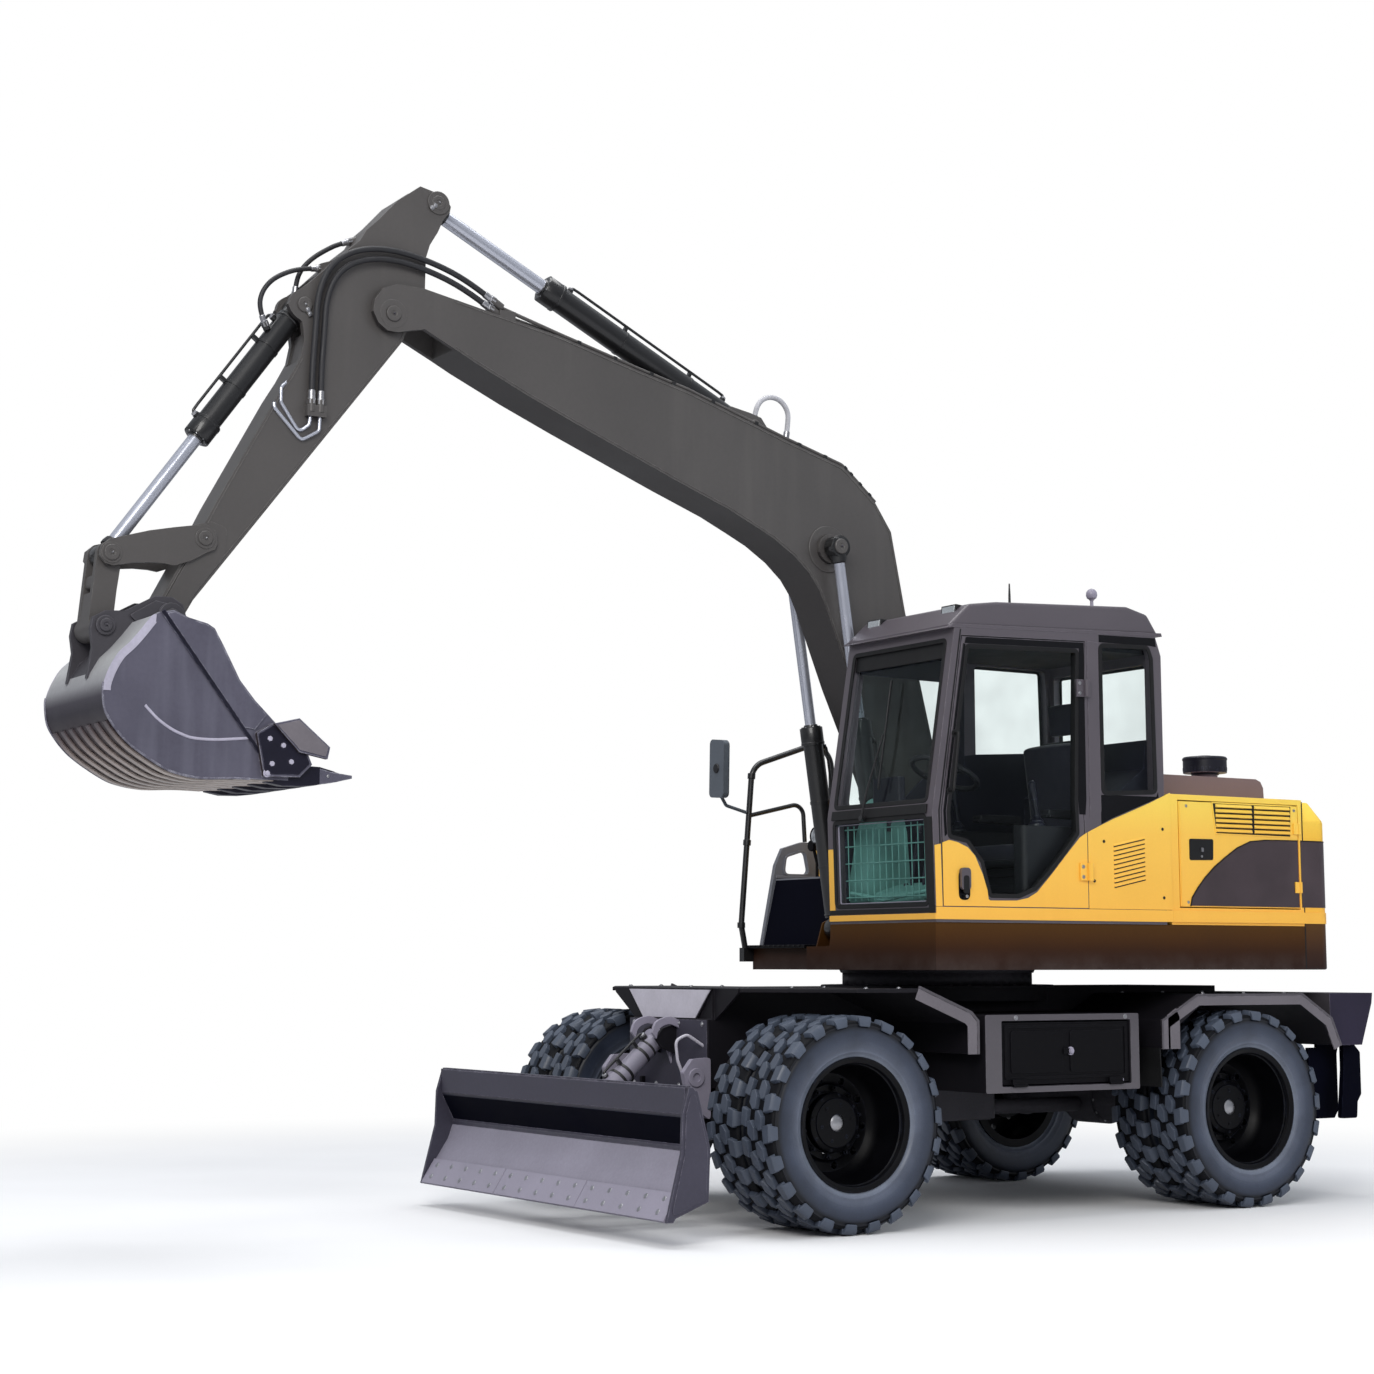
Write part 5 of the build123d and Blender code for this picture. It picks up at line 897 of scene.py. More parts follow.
# ---------------------------------------------------------------------------
# Pins: cap plate with its keeper and bolts, on both sides
# ---------------------------------------------------------------------------
def pin_caps(name, body, slot, pins, mats=("cylinder_black", "bright_steel")):
    s = Shape()
    for x, z, y, r, keeper in pins:
        for sy in (-1, 1):
            s.use(0)
            s.lathe((x, sy * y, z), (0, sy, 0), [(-6, 0), (-6, r), (7, r), (11, r - 4), (11, r * 0.42), (8, r * 0.36), (8, 0)], 32)
            if keeper:
                a = math.radians(keeper)
                d = Vector((math.cos(a), 0, math.sin(a)))
                q = Vector((x, sy * y, z)) + d * (r * 1.02)
                s.obox(q + Vector((0, sy * 4, 0)), d, d.cross(Vector((0, 1, 0))), (0, 1, 0), r * 0.62, r * 0.34, 5)
                s.use(1)
                s.bolt(q + d * r * 0.28 + Vector((0, sy * 9, 0)), (0, sy, 0), 8, 7)
                s.bolt(q - d * r * 0.30 + Vector((0, sy * 9, 0)), (0, sy, 0), 8, 7)
            s.use(1)
            s.lathe((x, sy * (y + 8), z), (0, sy, 0), [(0, 0), (0, 6), (5, 6), (8, 3.5), (13, 3.5), (14, 0)], 12)
    return make(name, s, body, slot, list(mats), bevel=1.6)


pin_caps("boom_pin_caps", "boom", "boom_grey", [(3420, 4440, 140, 40, 0), (815, 3500, 262, 42, 0)], ("boom_grey", "cast_grey"))
pin_caps("arm_cylinder_foot_caps", "boom", "boom_grey", [(1265, 4130, 104, 40, 20)], ("boom_grey", "bright_steel"))
pin_caps("arm_pin_caps", "arm", "boom_grey", [(3161, 5055, 95, 38, 320), (3870, 4430, 95, 38, 240), (4354, 3239, 118, 36, 0), (4525, 2855, 95, 28, 0)], ("boom_grey", "bright_steel"))
pin_caps("lever_pin_caps", "tipping_lever", "boom_grey", [(4801, 3133, 118, 38, 0)], ("boom_grey", "bright_steel"))
pin_caps("ear_pin_caps", "bucket", "bucket_steel", [(4525, 2855, 172, 34, 0), (4833, 2792, 164, 31, 0)], ("ear_dark", "cast_grey"))
pin_caps("boom_foot_caps", "upper", "cylinder_black", [(80, 1750, 162, 58, 60)])

# ---------------------------------------------------------------------------
# Boom and arm: edge welds, pipes and clamps, hose ends, boss plates
# ---------------------------------------------------------------------------
BOOM_TOP = [(132, 2543), (296, 3197), (387, 3636), (490, 3785), (629, 3902), (709, 3966), (1086, 4073), (1700, 4262), (2005, 4334), (2484, 4455), (2916, 4530), (3080, 4560)]
BOOM_LOW = [(3080, 4307), (2966, 4252), (2677, 4126), (2382, 4008), (2081, 3892), (1772, 3774), (1457, 3659), (1296, 3587), (1167, 3527), (1036, 3445), (937, 3359), (872, 3271), (826, 3174), (753, 2997), (661, 2770), (555, 2543), (275, 1900)]
boom_d = Shape()
for sy in (-1, 1):
    # fillet welds where the top and bottom plates meet the side plate
    boom_d.tube([(x, sy * 140, z) for x, z in offset(BOOM_TOP, -13)], 3.6, 6)
    boom_d.tube([(x, sy * 140, z) for x, z in offset(BOOM_LOW, -13)], 3.6, 6)
    # boss plate round the boom cylinder pin, and the fork cheek's doubling plate
    boom_d.ring((815, sy * 139, 3500), (0, sy, 0), 128, 79, 9, 48, 3)
    boom_d.ring((3420, sy * 139, 4440), (0, sy, 0), 72, 42, 3, 40, 1)
    y0, y1 = sorted((sy * 139, sy * 145))
    boom_d.prism(rounded([(30, 1690), (150, 1720), (230, 1900), (330, 2150), (250, 2210), (60, 2150), (-20, 1880)], 40), 'y', y0, y1)
make("boom_weld_plates", boom_d, "boom", "boom_grey", bevel=2)

tops = Shape()
for y in (-108, -58):
    tops.strip([(690, 3958), (840, 4003), (1000, 4050)], 11, 7, 'y', y, lift=1.0)
make("boom_top_strips", tops, "boom", "boom_grey", ["pale_trim_wear_and_highlight"], bevel=1.5)

PIPE_TOP = offset(BOOM_TOP, 20)
pipes = Shape()
for y, last in ((112, 2867), (86, 2760)):
    run = [(x, z) for x, z in PIPE_TOP if 380 < x < last - 60]
    pts = [(x, y, z) for x, z in run]
    end = (2790, y, 4535) if y < 100 else (2830, 112, 4568)
    pipes.pipe(pts + [end], 10, 60, 10)
    pipes.use(1)
    for (xa, za), (xb, zb) in zip(run, run[1:]):
        d = Vector((xb - xa, 0, zb - za)).normalized()
        for f in (0.3, 0.75):
            c = Vector((xa + (xb - xa) * f, y, za + (zb - za) * f)) - Vector((-d.z, 0, d.x)) * 6
            pipes.obox(c, d, (0, 1, 0), d.cross(Vector((0, 1, 0))), 11, 15, 13)
    pipes.use(0)
pipes.use(2)
for y in (112, 86):
    pipes.lathe((2755, y, 4514), (0.98, 0, 0.17), [(0, 0), (0, 17), (26, 17), (28, 13), (28, 0)], 6)
make("boom_pipes", pipes, "boom", "boom_grey", ["boom_grey", "cylinder_black", "bright_steel"], bevel=1.5)

ends = Shape()
for n in ("arm_hose_outer", "arm_hose_inner"):
    ferrule(ends, hose_lines[n], True, 15)
ferrule(ends, hose_lines["boom_hose"], False, 14)
make("boom_hose_fittings", ends, "boom", "boom_grey", ["bright_steel"], bevel=0.8)
ends = Shape()
for n in ("arm_hose_outer", "arm_hose_inner"):
    ferrule(ends, hose_lines[n], False, 15)
for n in ("bucket_hose_left", "bucket_hose_right"):
    ferrule(ends, hose_lines[n], False, 12, 36)
# rigid tubes from the hose block on towards the bucket cylinder
ends.use(1)
ends.pipe([(3838, 112, 3884), (3842, 112, 3840), (3890, 100, 3800), (3985, 100, 3935), (3985, 100, 4010), (3950, 84, 4040)], 9, 30, 10)
ends.pipe([(3788, 112, 3884), (3790, 112, 3815), (3878, 104, 3760), (4018, 100, 3905), (4018, 96, 3930)], 9, 30, 10)
make("arm_hose_fittings", ends, "arm", "boom_grey", ["bright_steel", "chrome_rod"], bevel=0.8)
for body, names in (("arm_cylinder_barrel", ("boom_hose",)), ("bucket_cylinder_barrel", ("bucket_hose_left", "bucket_hose_right"))):
    s = Shape()
    for n in names:
        ferrule(s, hose_lines[n], True, 14 if n == "boom_hose" else 12, 36)
    make(body + "_hose_ends", s, body, "cylinder_black", ["bright_steel"], bevel=0.8)

ARM_REAR = [(3229, 4598), (3350, 4316), (4246, 3149), (4398, 2947)]
ARM_FRONT = [(4580, 2900), (4536, 2974), (4453, 3133), (4354, 3304), (4302, 3410), (4182, 3631), (4060, 3855), (4001, 3966), (3936, 4073), (3886, 4169)]
arm_d = Shape()
for sy in (-1, 1):
    arm_d.tube([(x, sy * 95, z) for x, z in offset(ARM_REAR, 13)], 3.2, 6)
    arm_d.tube([(x, sy * 95, z) for x, z in offset(ARM_FRONT, 13)], 3.2, 6)
    arm_d.ring((4354, sy * 94, 3239), (0, sy, 0), 74, 31, 3, 40, 1)
    arm_d.ring((4525, sy * 94, 2855), (0, sy, 0), 56, 34, 12, 40, 3)
    arm_d.ring((3161, sy * 94, 5055), (0, sy, 0), 60, 33, 8, 40, 2)
    y0, y1 = sorted((sy * 94, sy * 100))
    arm_d.prism(rounded([(4240, 3300), (4330, 3330), (4420, 3150), (4540, 2930), (4560, 2830), (4480, 2815), (4400, 2965), (4250, 3165)], 30), 'y', y0, y1)
make("arm_weld_plates", arm_d, "arm", "boom_grey", bevel=1.8)

lev = Shape()
for sy in (-1, 1):
    lev.ring((4354, sy * 118, 3239), (0, sy, 0), 50, 31, 4, 36, 1.5)
    lev.ring((4801, sy * 118, 3133), (0, sy, 0), 50, 31, 4, 36, 1.5)
make("lever_bosses", lev, "tipping_lever", "boom_grey", bevel=1.2)
lk = Shape()
for sy in (-1, 1):
    lk.ring((4801, sy * 84, 3133), (0, sy, 0), 50, 31, 4, 36, 1.5)
    lk.tube([(4801 - 57, sy * 67, 3080), (4833 - 60, sy * 67, 2860)], 4, 6)
lk.prism(rounded([(4770, 3040), (4860, 3040), (4866, 2975), (4780, 2975)], 20), 'y', -50, 50)
make("link_web", lk, "bucket_link", "boom_grey", bevel=4)

# ---------------------------------------------------------------------------
# Cylinders: gland nuts, wiper rings, ports, clevises, side pipe
# ---------------------------------------------------------------------------
CYLS = [
    # name, foot, eye, ys, barrel r, rod r, barrel length
    ("boom_cylinder", (515, 1470), (815, 3500), (-226, 226), 54, 30, 1110),
    ("arm_cylinder", (1265, 4130), (3161, 5055), (0,), 66, 38, 1380),
    ("bucket_cylinder", (3870, 4430), (4801, 3133), (0,), 58, 34, 850),
    ("blade_cylinder", (1810, 900), (2240, 520), (0,), 50, 28, 390),
]
for name, foot, eye, ys, rb, rr, bl in CYLS:
    s = Shape()
    e = Shape()
    for y in ys:
        f, g = Vector((foot[0], y, foot[1])), Vector((eye[0], y, eye[1]))
        d = (g - f).normalized()
        up = d.cross(Vector((0, 1, 0)))
        if up.z < 0:
            up = -up
        s.use(0)
        # gland: stepped collar, spanner flats, bright wiper ring
        s.lathe(f + d * (bl - 96), d, [(0, rb - 1), (0, rb + 11), (14, rb + 11), (16, rb + 9.2)], 40)
        # the blade's short cylinder has a flush gland, its eye comes close to the barrel
        if name != "blade_cylinder":
            s.lathe(f + d * (bl - 2), d, [(0, rr + 1.5), (0, rb + 2), (9, rb - 2), (9, rr + 9), (18, rr + 7), (18, rr + 1.5)], 40, closed=True)
            for k in range(8):
                a = 2 * math.pi * (k + .5) / 8
                c = f + d * (bl + 1) + (up * math.cos(a) + Vector((0, 1, 0)) * math.sin(a)) * (rb - 5)
                s.use(1)
                s.bolt(c, d, 5.5, 6, washer=False)
            s.lathe(f + d * (bl + 10), d, [(0, rr + 0.6), (0, rr + 6), (7, rr + 5), (7, rr + 0.6)], 32, closed=True)
        s.use(0)
        # band clamps and weld rings on the barrel
        for frac in (0.3, 0.62):
            s.lathe(f + d * bl * frac, d, [(0, rb - 1), (0, rb + 3), (16, rb + 3), (16, rb - 1)], 40, closed=True)
        s.lathe(f + d * (rb * 1.1 + 16), d, [(-4, rb - 3), (0, rb + 3), (6, rb + 3.5), (11, rb)], 40)
        # ports
        for frac in (0.14, 0.9):
            c = f + d * bl * frac + up * (rb - 4)
            s.cyl(c, c + up * 20, 17, 16)
            s.use(1)
            s.lathe(c + up * 18, up, [(0, 0), (0, 15), (12, 15), (14, 11), (14, 0)], 6)
            s.use(0)
        # rigid pipe from end to end of the barrel on two stand-offs
        base = f + up * (rb + 30)
        p0, p1 = f + d * bl * 0.14 + up * (rb + 18), f + d * bl * 0.9 + up * (rb + 18)
        s.use(2)
        s.pipe([p0, p0 + up * 14 + d * 6, p0 + up * 16 + d * 46, p1 + up * 16 - d * 46, p1 + up * 14 - d * 6, p1], 7.5, 14, 10)
        s.use(0)
        for frac in (0.31, 0.63):
            s.obox(f + d * (bl * frac + 2) + up * (rb + 17), d, (0, 1, 0), up, 9, 13, 18)
        # rod eye: yoke neck, grease point
        e.use(0)
        e.lathe(g - d * (rr + 58), d, [(0, 0), (0, rr + 1), (6, rr + 8), (30, rr + 14), (44, rr + 14), (44, 0)], 32)
        e.use(1)
        e.lathe(g + d * (rr + 16), d, [(0, 0), (0, 6), (8, 6), (12, 3), (16, 3), (16, 0)], 10)
    if name in ("arm_cylinder", "bucket_cylinder"):
        # the rod goes on down the bore to its piston, so it stays in the barrel at full stroke
        start, tail = (1010, 440) if name == "arm_cylinder" else (752, 130)
        e.use(2)
        e.lathe(Vector((foot[0], 0, foot[1])) + d * (start + 6), -d, [(0, 0), (0, rr - 0.6), (tail - 40, rr - 0.6), (tail - 36, rr - 5), (tail - 26, rr - 5), (tail - 22, rr - 0.6), (tail, rr - 0.6), (tail + 4, rr - 4), (tail + 4, 0)], 32)
    make(name + "_fittings", s, name + "_barrel", "cylinder_black", ["cylinder_black", "bright_steel", "cylinder_black"], bevel=1.4)
    if name != "blade_cylinder":
        make(name + "_rod_neck", e, name + "_rod", "chrome_rod", ["cylinder_black", "bright_steel", "chrome_rod"], bevel=1.5)

# ---------------------------------------------------------------------------
# Blade: cutting edge with its plough bolts, top band, end caps, pipe
# ---------------------------------------------------------------------------
bl = Shape()
u = Vector((2526 - 2372, 116 - 345)).normalized()
nrm = Vector((-u.y, u.x))
a, b = Vector((2372, 345)) + u * 130, Vector((2526, 116)) - u * 4
bl.use(2)
for y0, y1 in ((-1226, -415), (-409, 409), (415, 1226)):
    bl.prism([tuple(a + nrm * 0.5), tuple(b + nrm * 0.5), tuple(b + nrm * 9), tuple(a + nrm * 13)], 'y', y0, y1)
bl.use(1)
for y in range(-1150, 1151, 164):
    for t in (0.24, 0.72):
        c = a + (b - a) * t + nrm * (12.0 - 3.0 * t)
        bl.dome((c.x, y, c.y), (nrm.x, 0, nrm.y), 15, 5, 16, 3)
# top band and the folded edge over the recess
bl.use(0)
bl.prism([(2409, 590), (2409, 716), (2416, 712), (2416, 594)], 'y', -1226, 1226)
bl.prism([(2385, 716), (2409, 716), (2409, 722), (2385, 722)], 'y', -1230, 1230)
# near-black sheet on the recess face: painted shade
bl.use(3)
bl.prism([(2334, 447), (2404, 580), (2408, 578), (2339, 445)], 'y', -1226, 1226)
bl.use(0)
bl.prism([(2334, 436), (2340, 452), (2350, 440), (2345, 420)], 'y', -1228, 1228)
for sy in (-1, 1):
    bl.use(0)
    y0, y1 = sorted((sy * 1250, sy * 1254))
    bl.prism(rounded(inset([(2410, 700), (2440, 600), (2446, 420), (2526, 116), (2300, 200), (2290, 440), (2360, 700)], 16), 20), 'y', y0, y1)
    # pivot bosses and their pins on the arms
    bl.ring((1700, sy * 324, 470), (0, sy, 0), 52, 29, 8, 32, 2)
    for y in (250, 320):
        bl.tube([(1780, sy * y, 520), (2200, sy * y, 501), (2318, sy * y, 596)], 3.5, 6)
make("blade_edges", bl, "blade", "chassis_grey", ["blade_end", "bright_steel", "lavender_trim", "navy_dark"], bevel=2)
pin_caps("blade_cylinder_pin", "blade", "chassis_grey", [(2240, 520, 74, 24, 180)], ("chassis_grey", "bright_steel"))

# ---------------------------------------------------------------------------
# Cab: seals, divider, guard, wiper, handles, roof gear
# ---------------------------------------------------------------------------
DOOR_WINDOW = [(845, 1900), (850, 2030), (715, 2872), (-20, 2895), (5, 2110), (0, 1940), (80, 1850), (190, 1740), (290, 1650), (400, 1610), (590, 1610), (640, 1780), (730, 1880)]
DOOR_OUTLINE = [(885, 1560), (893, 2030), (748, 2920), (-70, 2945), (-40, 2100), (-60, 1560)]
QUARTER = [(-170, 2150), (-170, 2935), (-510, 2945), (-535, 2880), (-545, 2170)]
CO, CI = 1196.0, 300.0

seal = Shape()
o = rounded(DOOR_WINDOW, 20)
add_frame(seal, inset(o, -7), inset(o, 15), 'y', CO - 3, CO + 2.5)
add_frame(seal, inset(o, 0.5), inset(o, 12), 'y', CO - 40, CO - 3)
make("door_window_seal", seal, "cab_door", "dark_plastic", ["seal_rubber"], bevel=1.5)

seal = Shape()
o = rounded(QUARTER, 32)
add_frame(seal, inset(o, -8), inset(o, 16), 'y', CO - 3, CO + 3)
# dark band behind the door post and round the door opening
o = rounded(DOOR_OUTLINE, 12)
add_frame(seal, inset(o, 0.5), inset(o, 5.0), 'y', CO - 30, CO - 2)
for q in ([(840, 2090), (720, 2890), (60, 2900), (60, 2090)], [(-20, 2090), (-20, 2900), (-520, 2900), (-540, 2090)]):
    o = rounded(q, 30)
    add_frame(seal, inset(o, -8), inset(o, 14), 'y', CI - 3, CI + 3)
back = rounded([(CI + 80, 2250), (CO - 80, 2250), (CO - 80, 2860), (CI + 80, 2860)], 26)
add_frame(seal, inset(back, -10), inset(back, 14), 'x', -604, -598)
make("cab_side_seals", seal, "upper", "dark_plastic", ["seal_rubber"], bevel=1.5)

# windscreen plane: runs through (945, 2030) and (790, 2960)
SL = Vector((790 - 945, 0, 2960 - 2030)).normalized()
SN = Vector((SL.z, 0, -SL.x))


def on_screen(y, t, out=0.0):
    """Point on the sloping front: y across, t up the slope from its lower edge, out along its normal."""
    q = Vector((945, y, 2030)) + SL * t + SN * out
    return (q.x, q.y, q.z)


def front_frame(shape, outer, inner, a, b):
    n = len(outer)
    vs = [on_screen(p[0], p[1], t) for t in (a, b) for ring in (outer, inner) for p in ring]
    fs = []
    for i in range(n):
        j = (i + 1) % n
        fs += [(i, j, n + j, n + i), (2 * n + i, 3 * n + i, 3 * n + j, 2 * n + j), (i, 2 * n + i, 2 * n + j, j), (n + i, n + j, 3 * n + j, 3 * n + i)]
    shape.raw(vs, fs)


def front_panel(shape, outline, a, b):
    n = len(outline)
    vs = [on_screen(p[0], p[1], t) for t in (a, b) for p in outline]
    shape.raw(vs, [tuple(range(n))[::-1], tuple(range(n, 2 * n))] + [(i, (i + 1) % n, n + (i + 1) % n, n + i) for i in range(n)])


scr = Shape()
up = rounded([(CI + 60, 54), (CO - 60, 54), (CO - 60, 877), (CI + 60, 877)], 24)
front_frame(scr, inset(up, -12), inset(up, 10), -6, 4)
# black divider bar between the two panes, blind box across the top of the screen
front_panel(scr, [(CI + 46, -14), (CO - 46, -14), (CO - 46, 34), (CI + 46, 34)], 0, 9)
front_panel(scr, [(CI + 66, 790), (CO - 66, 790), (CO - 66, 872), (CI + 66, 872)], -24, -12)
low = rounded([(CI + 60, 1570), (CO - 60, 1570), (CO - 60, 2005), (CI + 60, 2005)], 26)
vs_out = inset(low, -12)
make("windscreen_frame", scr, "upper", "dark_plastic", ["seal_rubber"], bevel=2)


def low_x(z):
    return 930 + (z - 1480) * (945 - 930) / (2030 - 1480)


lowf = Shape()
n = len(low)
for ring_o, ring_i, a, b, mat in ((inset(low, -12), inset(low, 10), -3, 4, 0), (inset(low, 12), inset(low, 17), -22, -14, 1)):
    lowf.use(mat)
    vs = [(low_x(p[1]) + t, p[0], p[1]) for t in (a, b) for r_ in (ring_o, ring_i) for p in r_]
    lowf.raw(vs, [f for i in range(n) for f in ((i, (i + 1) % n, n + (i + 1) % n, n + i), (2 * n + i, 3 * n + i, 3 * n + (i + 1) % n, 2 * n + (i + 1) % n), (i, 2 * n + i, 2 * n + (i + 1) % n, (i + 1) % n), (n + i, n + (i + 1) % n, 3 * n + (i + 1) % n, 3 * n + i))])
# black corner post beside the lower pane and the sill below it
lowf.use(0)
lowf.prism([(low_x(1500) + 0.5, 1500), (low_x(1500) + 4, 1500), (low_x(2000) + 4, 2000), (low_x(2000) + 0.5, 2000)], 'y', 1142, 1190)
lowf.prism([(low_x(1528) + 0.5, 1528), (low_x(1528) + 5, 1528), (low_x(1552) + 5, 1552), (low_x(1552) + 0.5, 1552)], 'y', 306, 1190)
make("lower_screen_frame", lowf, "upper", "dark_plastic", ["seal_rubber", "lavender_trim"], bevel=1.5)

guard = Shape()
# guard behind the lower pane: upright wires and cross rails
for i in range(13):
    y = 420 + i * 54
    guard.tube([(892, y, 1600), (900, y, 1985)], 3.0, 6)
for i in range(5):
    z = 1615 + i * 88
    guard.tube([(896 + (z - 1600) * 0.02, 400, z), (896 + (z - 1600) * 0.02, 1100, z)], 3.6, 6)
guard.tube([(880, 420, 1640), (880, 700, 1600), (880, 1080, 1640)], 11, 8)
make("lower_screen_guard", guard, "upper", "cab_grey", ["teal_plastic"], bevel=0)

wip = Shape()
wip.cyl(on_screen(640, -18, 6), on_screen(640, -18, 34), 15, 16)
wip.tube([on_screen(640, -18, 28), on_screen(662, 120, 30), on_screen(730, 420, 20)], [7, 6, 4.5], 8)
wip.tube([on_screen(730, 140, 12), on_screen(732, 420, 12), on_screen(728, 700, 12)], [4, 5, 4], 6)
wip.use(1)
wip.obox(on_screen(731, 420, 7.5), (0, 1, 0), SL, SN, 3, 290, 4)
make("windscreen_wiper", wip, "upper", "dark_plastic", ["cylinder_black", "seal_rubber"], bevel=0.8)

blk = Shape()
# dark glossy panels round the windows; the band above the quarter window is partly black trim, partly painted shade
# under the roof edge
blk.prism([(-158, 2146), (-158, 1994), (-235, 2028), (-323, 2059), (-420, 2094), (-499, 2122), (-560, 2146), (-556, 2174), (-545, 2150)], 'y', CO - 1, CO + 2.4)
blk.prism([(-166, 2946), (-166, 2985), (-560, 2994), (-566, 2948), (-512, 2951)], 'y', CO - 1, CO + 2.4)
make("quarter_dark_panels", blk, "upper", "dark_plastic", ["cab_black"], bevel=1.2)
blk = Shape()
# the band along the top of the door frame is partly black trim, partly painted shade under the roof edge
blk.prism([(729, 2880), (719, 2912), (-60, 2936), (-58, 2120), (-50, 2040), (-9, 2040), (-4, 2110), (-28, 2903)], 'y', CO - 1, CO + 2.4)
blk.prism([(856, 1914), (862, 2030), (722, 2876), (737, 2880), (878, 2030), (871, 1902)], 'y', CO - 1, CO + 2.0)
make("door_dark_panels", blk, "cab_door", "dark_plastic", ["cab_black"], bevel=1.2)

# grab rails, door handle, lock, hinges
hand = Shape()
hand.pipe([(838, CO, 2130), (838, CO + 34, 2130), (800, CO + 34, 2420), (800, CO, 2420)], 9, 22, 12)
for x, z in ((838, 2130), (800, 2420)):
    hand.lathe((x, CO, z), (0, 1, 0), [(0, 0), (0, 19), (4, 19), (5, 12), (5, 0)], 16)
o = rounded([(722, 1594), (786, 1594), (786, 1736), (722, 1736)], 30)
hand.use(1)
hand.prism(inset(o, -4), 'y', CO + 1, CO + 5)
hand.use(0)
hand.prism(rounded([(736, 1622), (772, 1622), (772, 1712), (736, 1712)], 16), 'y', CO + 15, CO + 23)
hand.use(2)
hand.lathe((754, CO + 22, 1608), (0, 1, 0), [(0, 0), (0, 8), (4, 8), (5, 6), (5, 0)], 16)
for z in (1745, 2695):
    for dz in (-26, 26):
        hand.bolt((-18, CO + 13, z + dz), (0, 1, 0), 7, 6)
make("cab_door_hardware", hand, "cab_door", "dark_plastic", ["seal_rubber", "cab_black", "bright_steel"], bevel=1.5)

roof = Shape()
# gutter round the roof, lamp bar at the front, aerial, round aerial dome, vent
roof.use(0)
roof.prism([(838, 2952), (800, 2976), (-606, 3024), (-612, 3006), (786, 2956)], 'y', CI - 4, CO + 2)
roof.use(1)
for y in (430, 1066):
    c = Vector((700, y, 3060))
    roof.obox(c, (0.97, 0, 0.1), (0, 1, 0), (-0.1, 0, 0.97), 26, 60, 26)
    roof.use(2)
    roof.obox(c + Vector((26.5, 0, 2.8)), (0.97, 0, 0.1), (0, 1, 0), (-0.1, 0, 0.97), 2, 50, 19)
    roof.use(1)
roof.lathe((60, 750, 3128), (0, 0, 1), [(0, 0), (0, 26), (10, 24), (16, 12), (24, 10), (24, 0)], 20)
roof.tube([(60, 750, 3150), (60, 750, 3235), (60, 750, 3296)], [8, 6.5, 4.0], 10)
roof.use(3)
roof.lathe((-520, 750, 3096), (0, 0, 1), [(0, 0), (0, 30), (10, 28), (18, 12), (150, 9), (158, 14), (166, 26), (182, 31), (200, 29), (214, 18), (220, 0)], 24)
roof.use(0)
for y in (520, 980):
    roof.box(-300, 300, y - 12, y + 12, 3128, 3146)
make("cab_roof_gear", roof, "upper", "cab_grey", ["cab_grey", "cylinder_black", "lamp_lens", "lavender_trim"], bevel=2.5)

post = Shape()
# corner post skin at the front left, with the dark joint lines beside it
post.use(0)
path = [(936, 1560), (947, 2030), (794, 2950)]
post.prism([(x + 1.5, z) for x, z in path] + [(x - 34, z) for x, z in path[::-1]], 'y', CO - 1, CO + 3)
post.use(1)
post.prism([(x - 38, z) for x, z in path] + [(x - 46, z) for x, z in path[::-1]], 'y', CO - 1, CO + 2)
post.use(0)
post.prism([(-80, 2020), (-80, 2948), (-158, 2944), (-158, 2060)], 'y', CO - 1, CO + 3)
make("cab_corner_posts", post, "upper", "cab_grey", ["cab_grey", "seal_rubber"], bevel=2.5)

# ---------------------------------------------------------------------------
# Yellow sweep along the cab, sill strip, vents
# ---------------------------------------------------------------------------
sweep = Shape()
sweep.prism([(884, 1560), (888, 1872), (845, 1886), (790, 1876), (727, 1852), (683, 1812), (633, 1716), (606, 1640), (600, 1596), (588, 1590), (418, 1592), (344, 1606), (284, 1636), (186, 1729), (78, 1837), (-8, 1921), (-57, 1948), (-57, 1560)][::-1], 'y', CO + 0.4, CO + 3)
make("door_yellow_sweep", sweep, "cab_door", "yellow_paint", bevel=1.2)

sweep = Shape()
sweep.prism([(-63, 1557), (-63, 1950), (-148, 1986), (-235, 2022), (-323, 2053), (-420, 2088), (-499, 2117), (-607, 2161), (-640, 2174), (-640, 1557)], 'y', CO - 4, CO + 3)
sweep.prism([(893, 1557), (900, 1866), (939, 1858), (933, 1557)], 'y', CO + 3, CO + 5.5)
# sill strip from the nose to the tail
sweep.prism([(931, 1494), (931, 1555), (-640, 1555), (-640, 1494)], 'y', CO - 5, CO + 5)
sweep.prism([(-640, 1494), (-640, 1555), (-1620, 1555), (-1620, 1494)], 'y', 1188, CO + 5)
# strips on the nose
sweep.prism([(low_x(1545) + 0.5, 1545), (low_x(1545) + 4, 1545), (low_x(1869) + 4, 1869), (low_x(1869) + 0.5, 1869)], 'y', 304, 350)
sweep.prism([(930, 1494), (938, 1494), (938, 1524), (930, 1524)], 'y', 302, CO + 4)
make("cab_yellow_sweep", sweep, "upper", "yellow_paint", bevel=1.5)

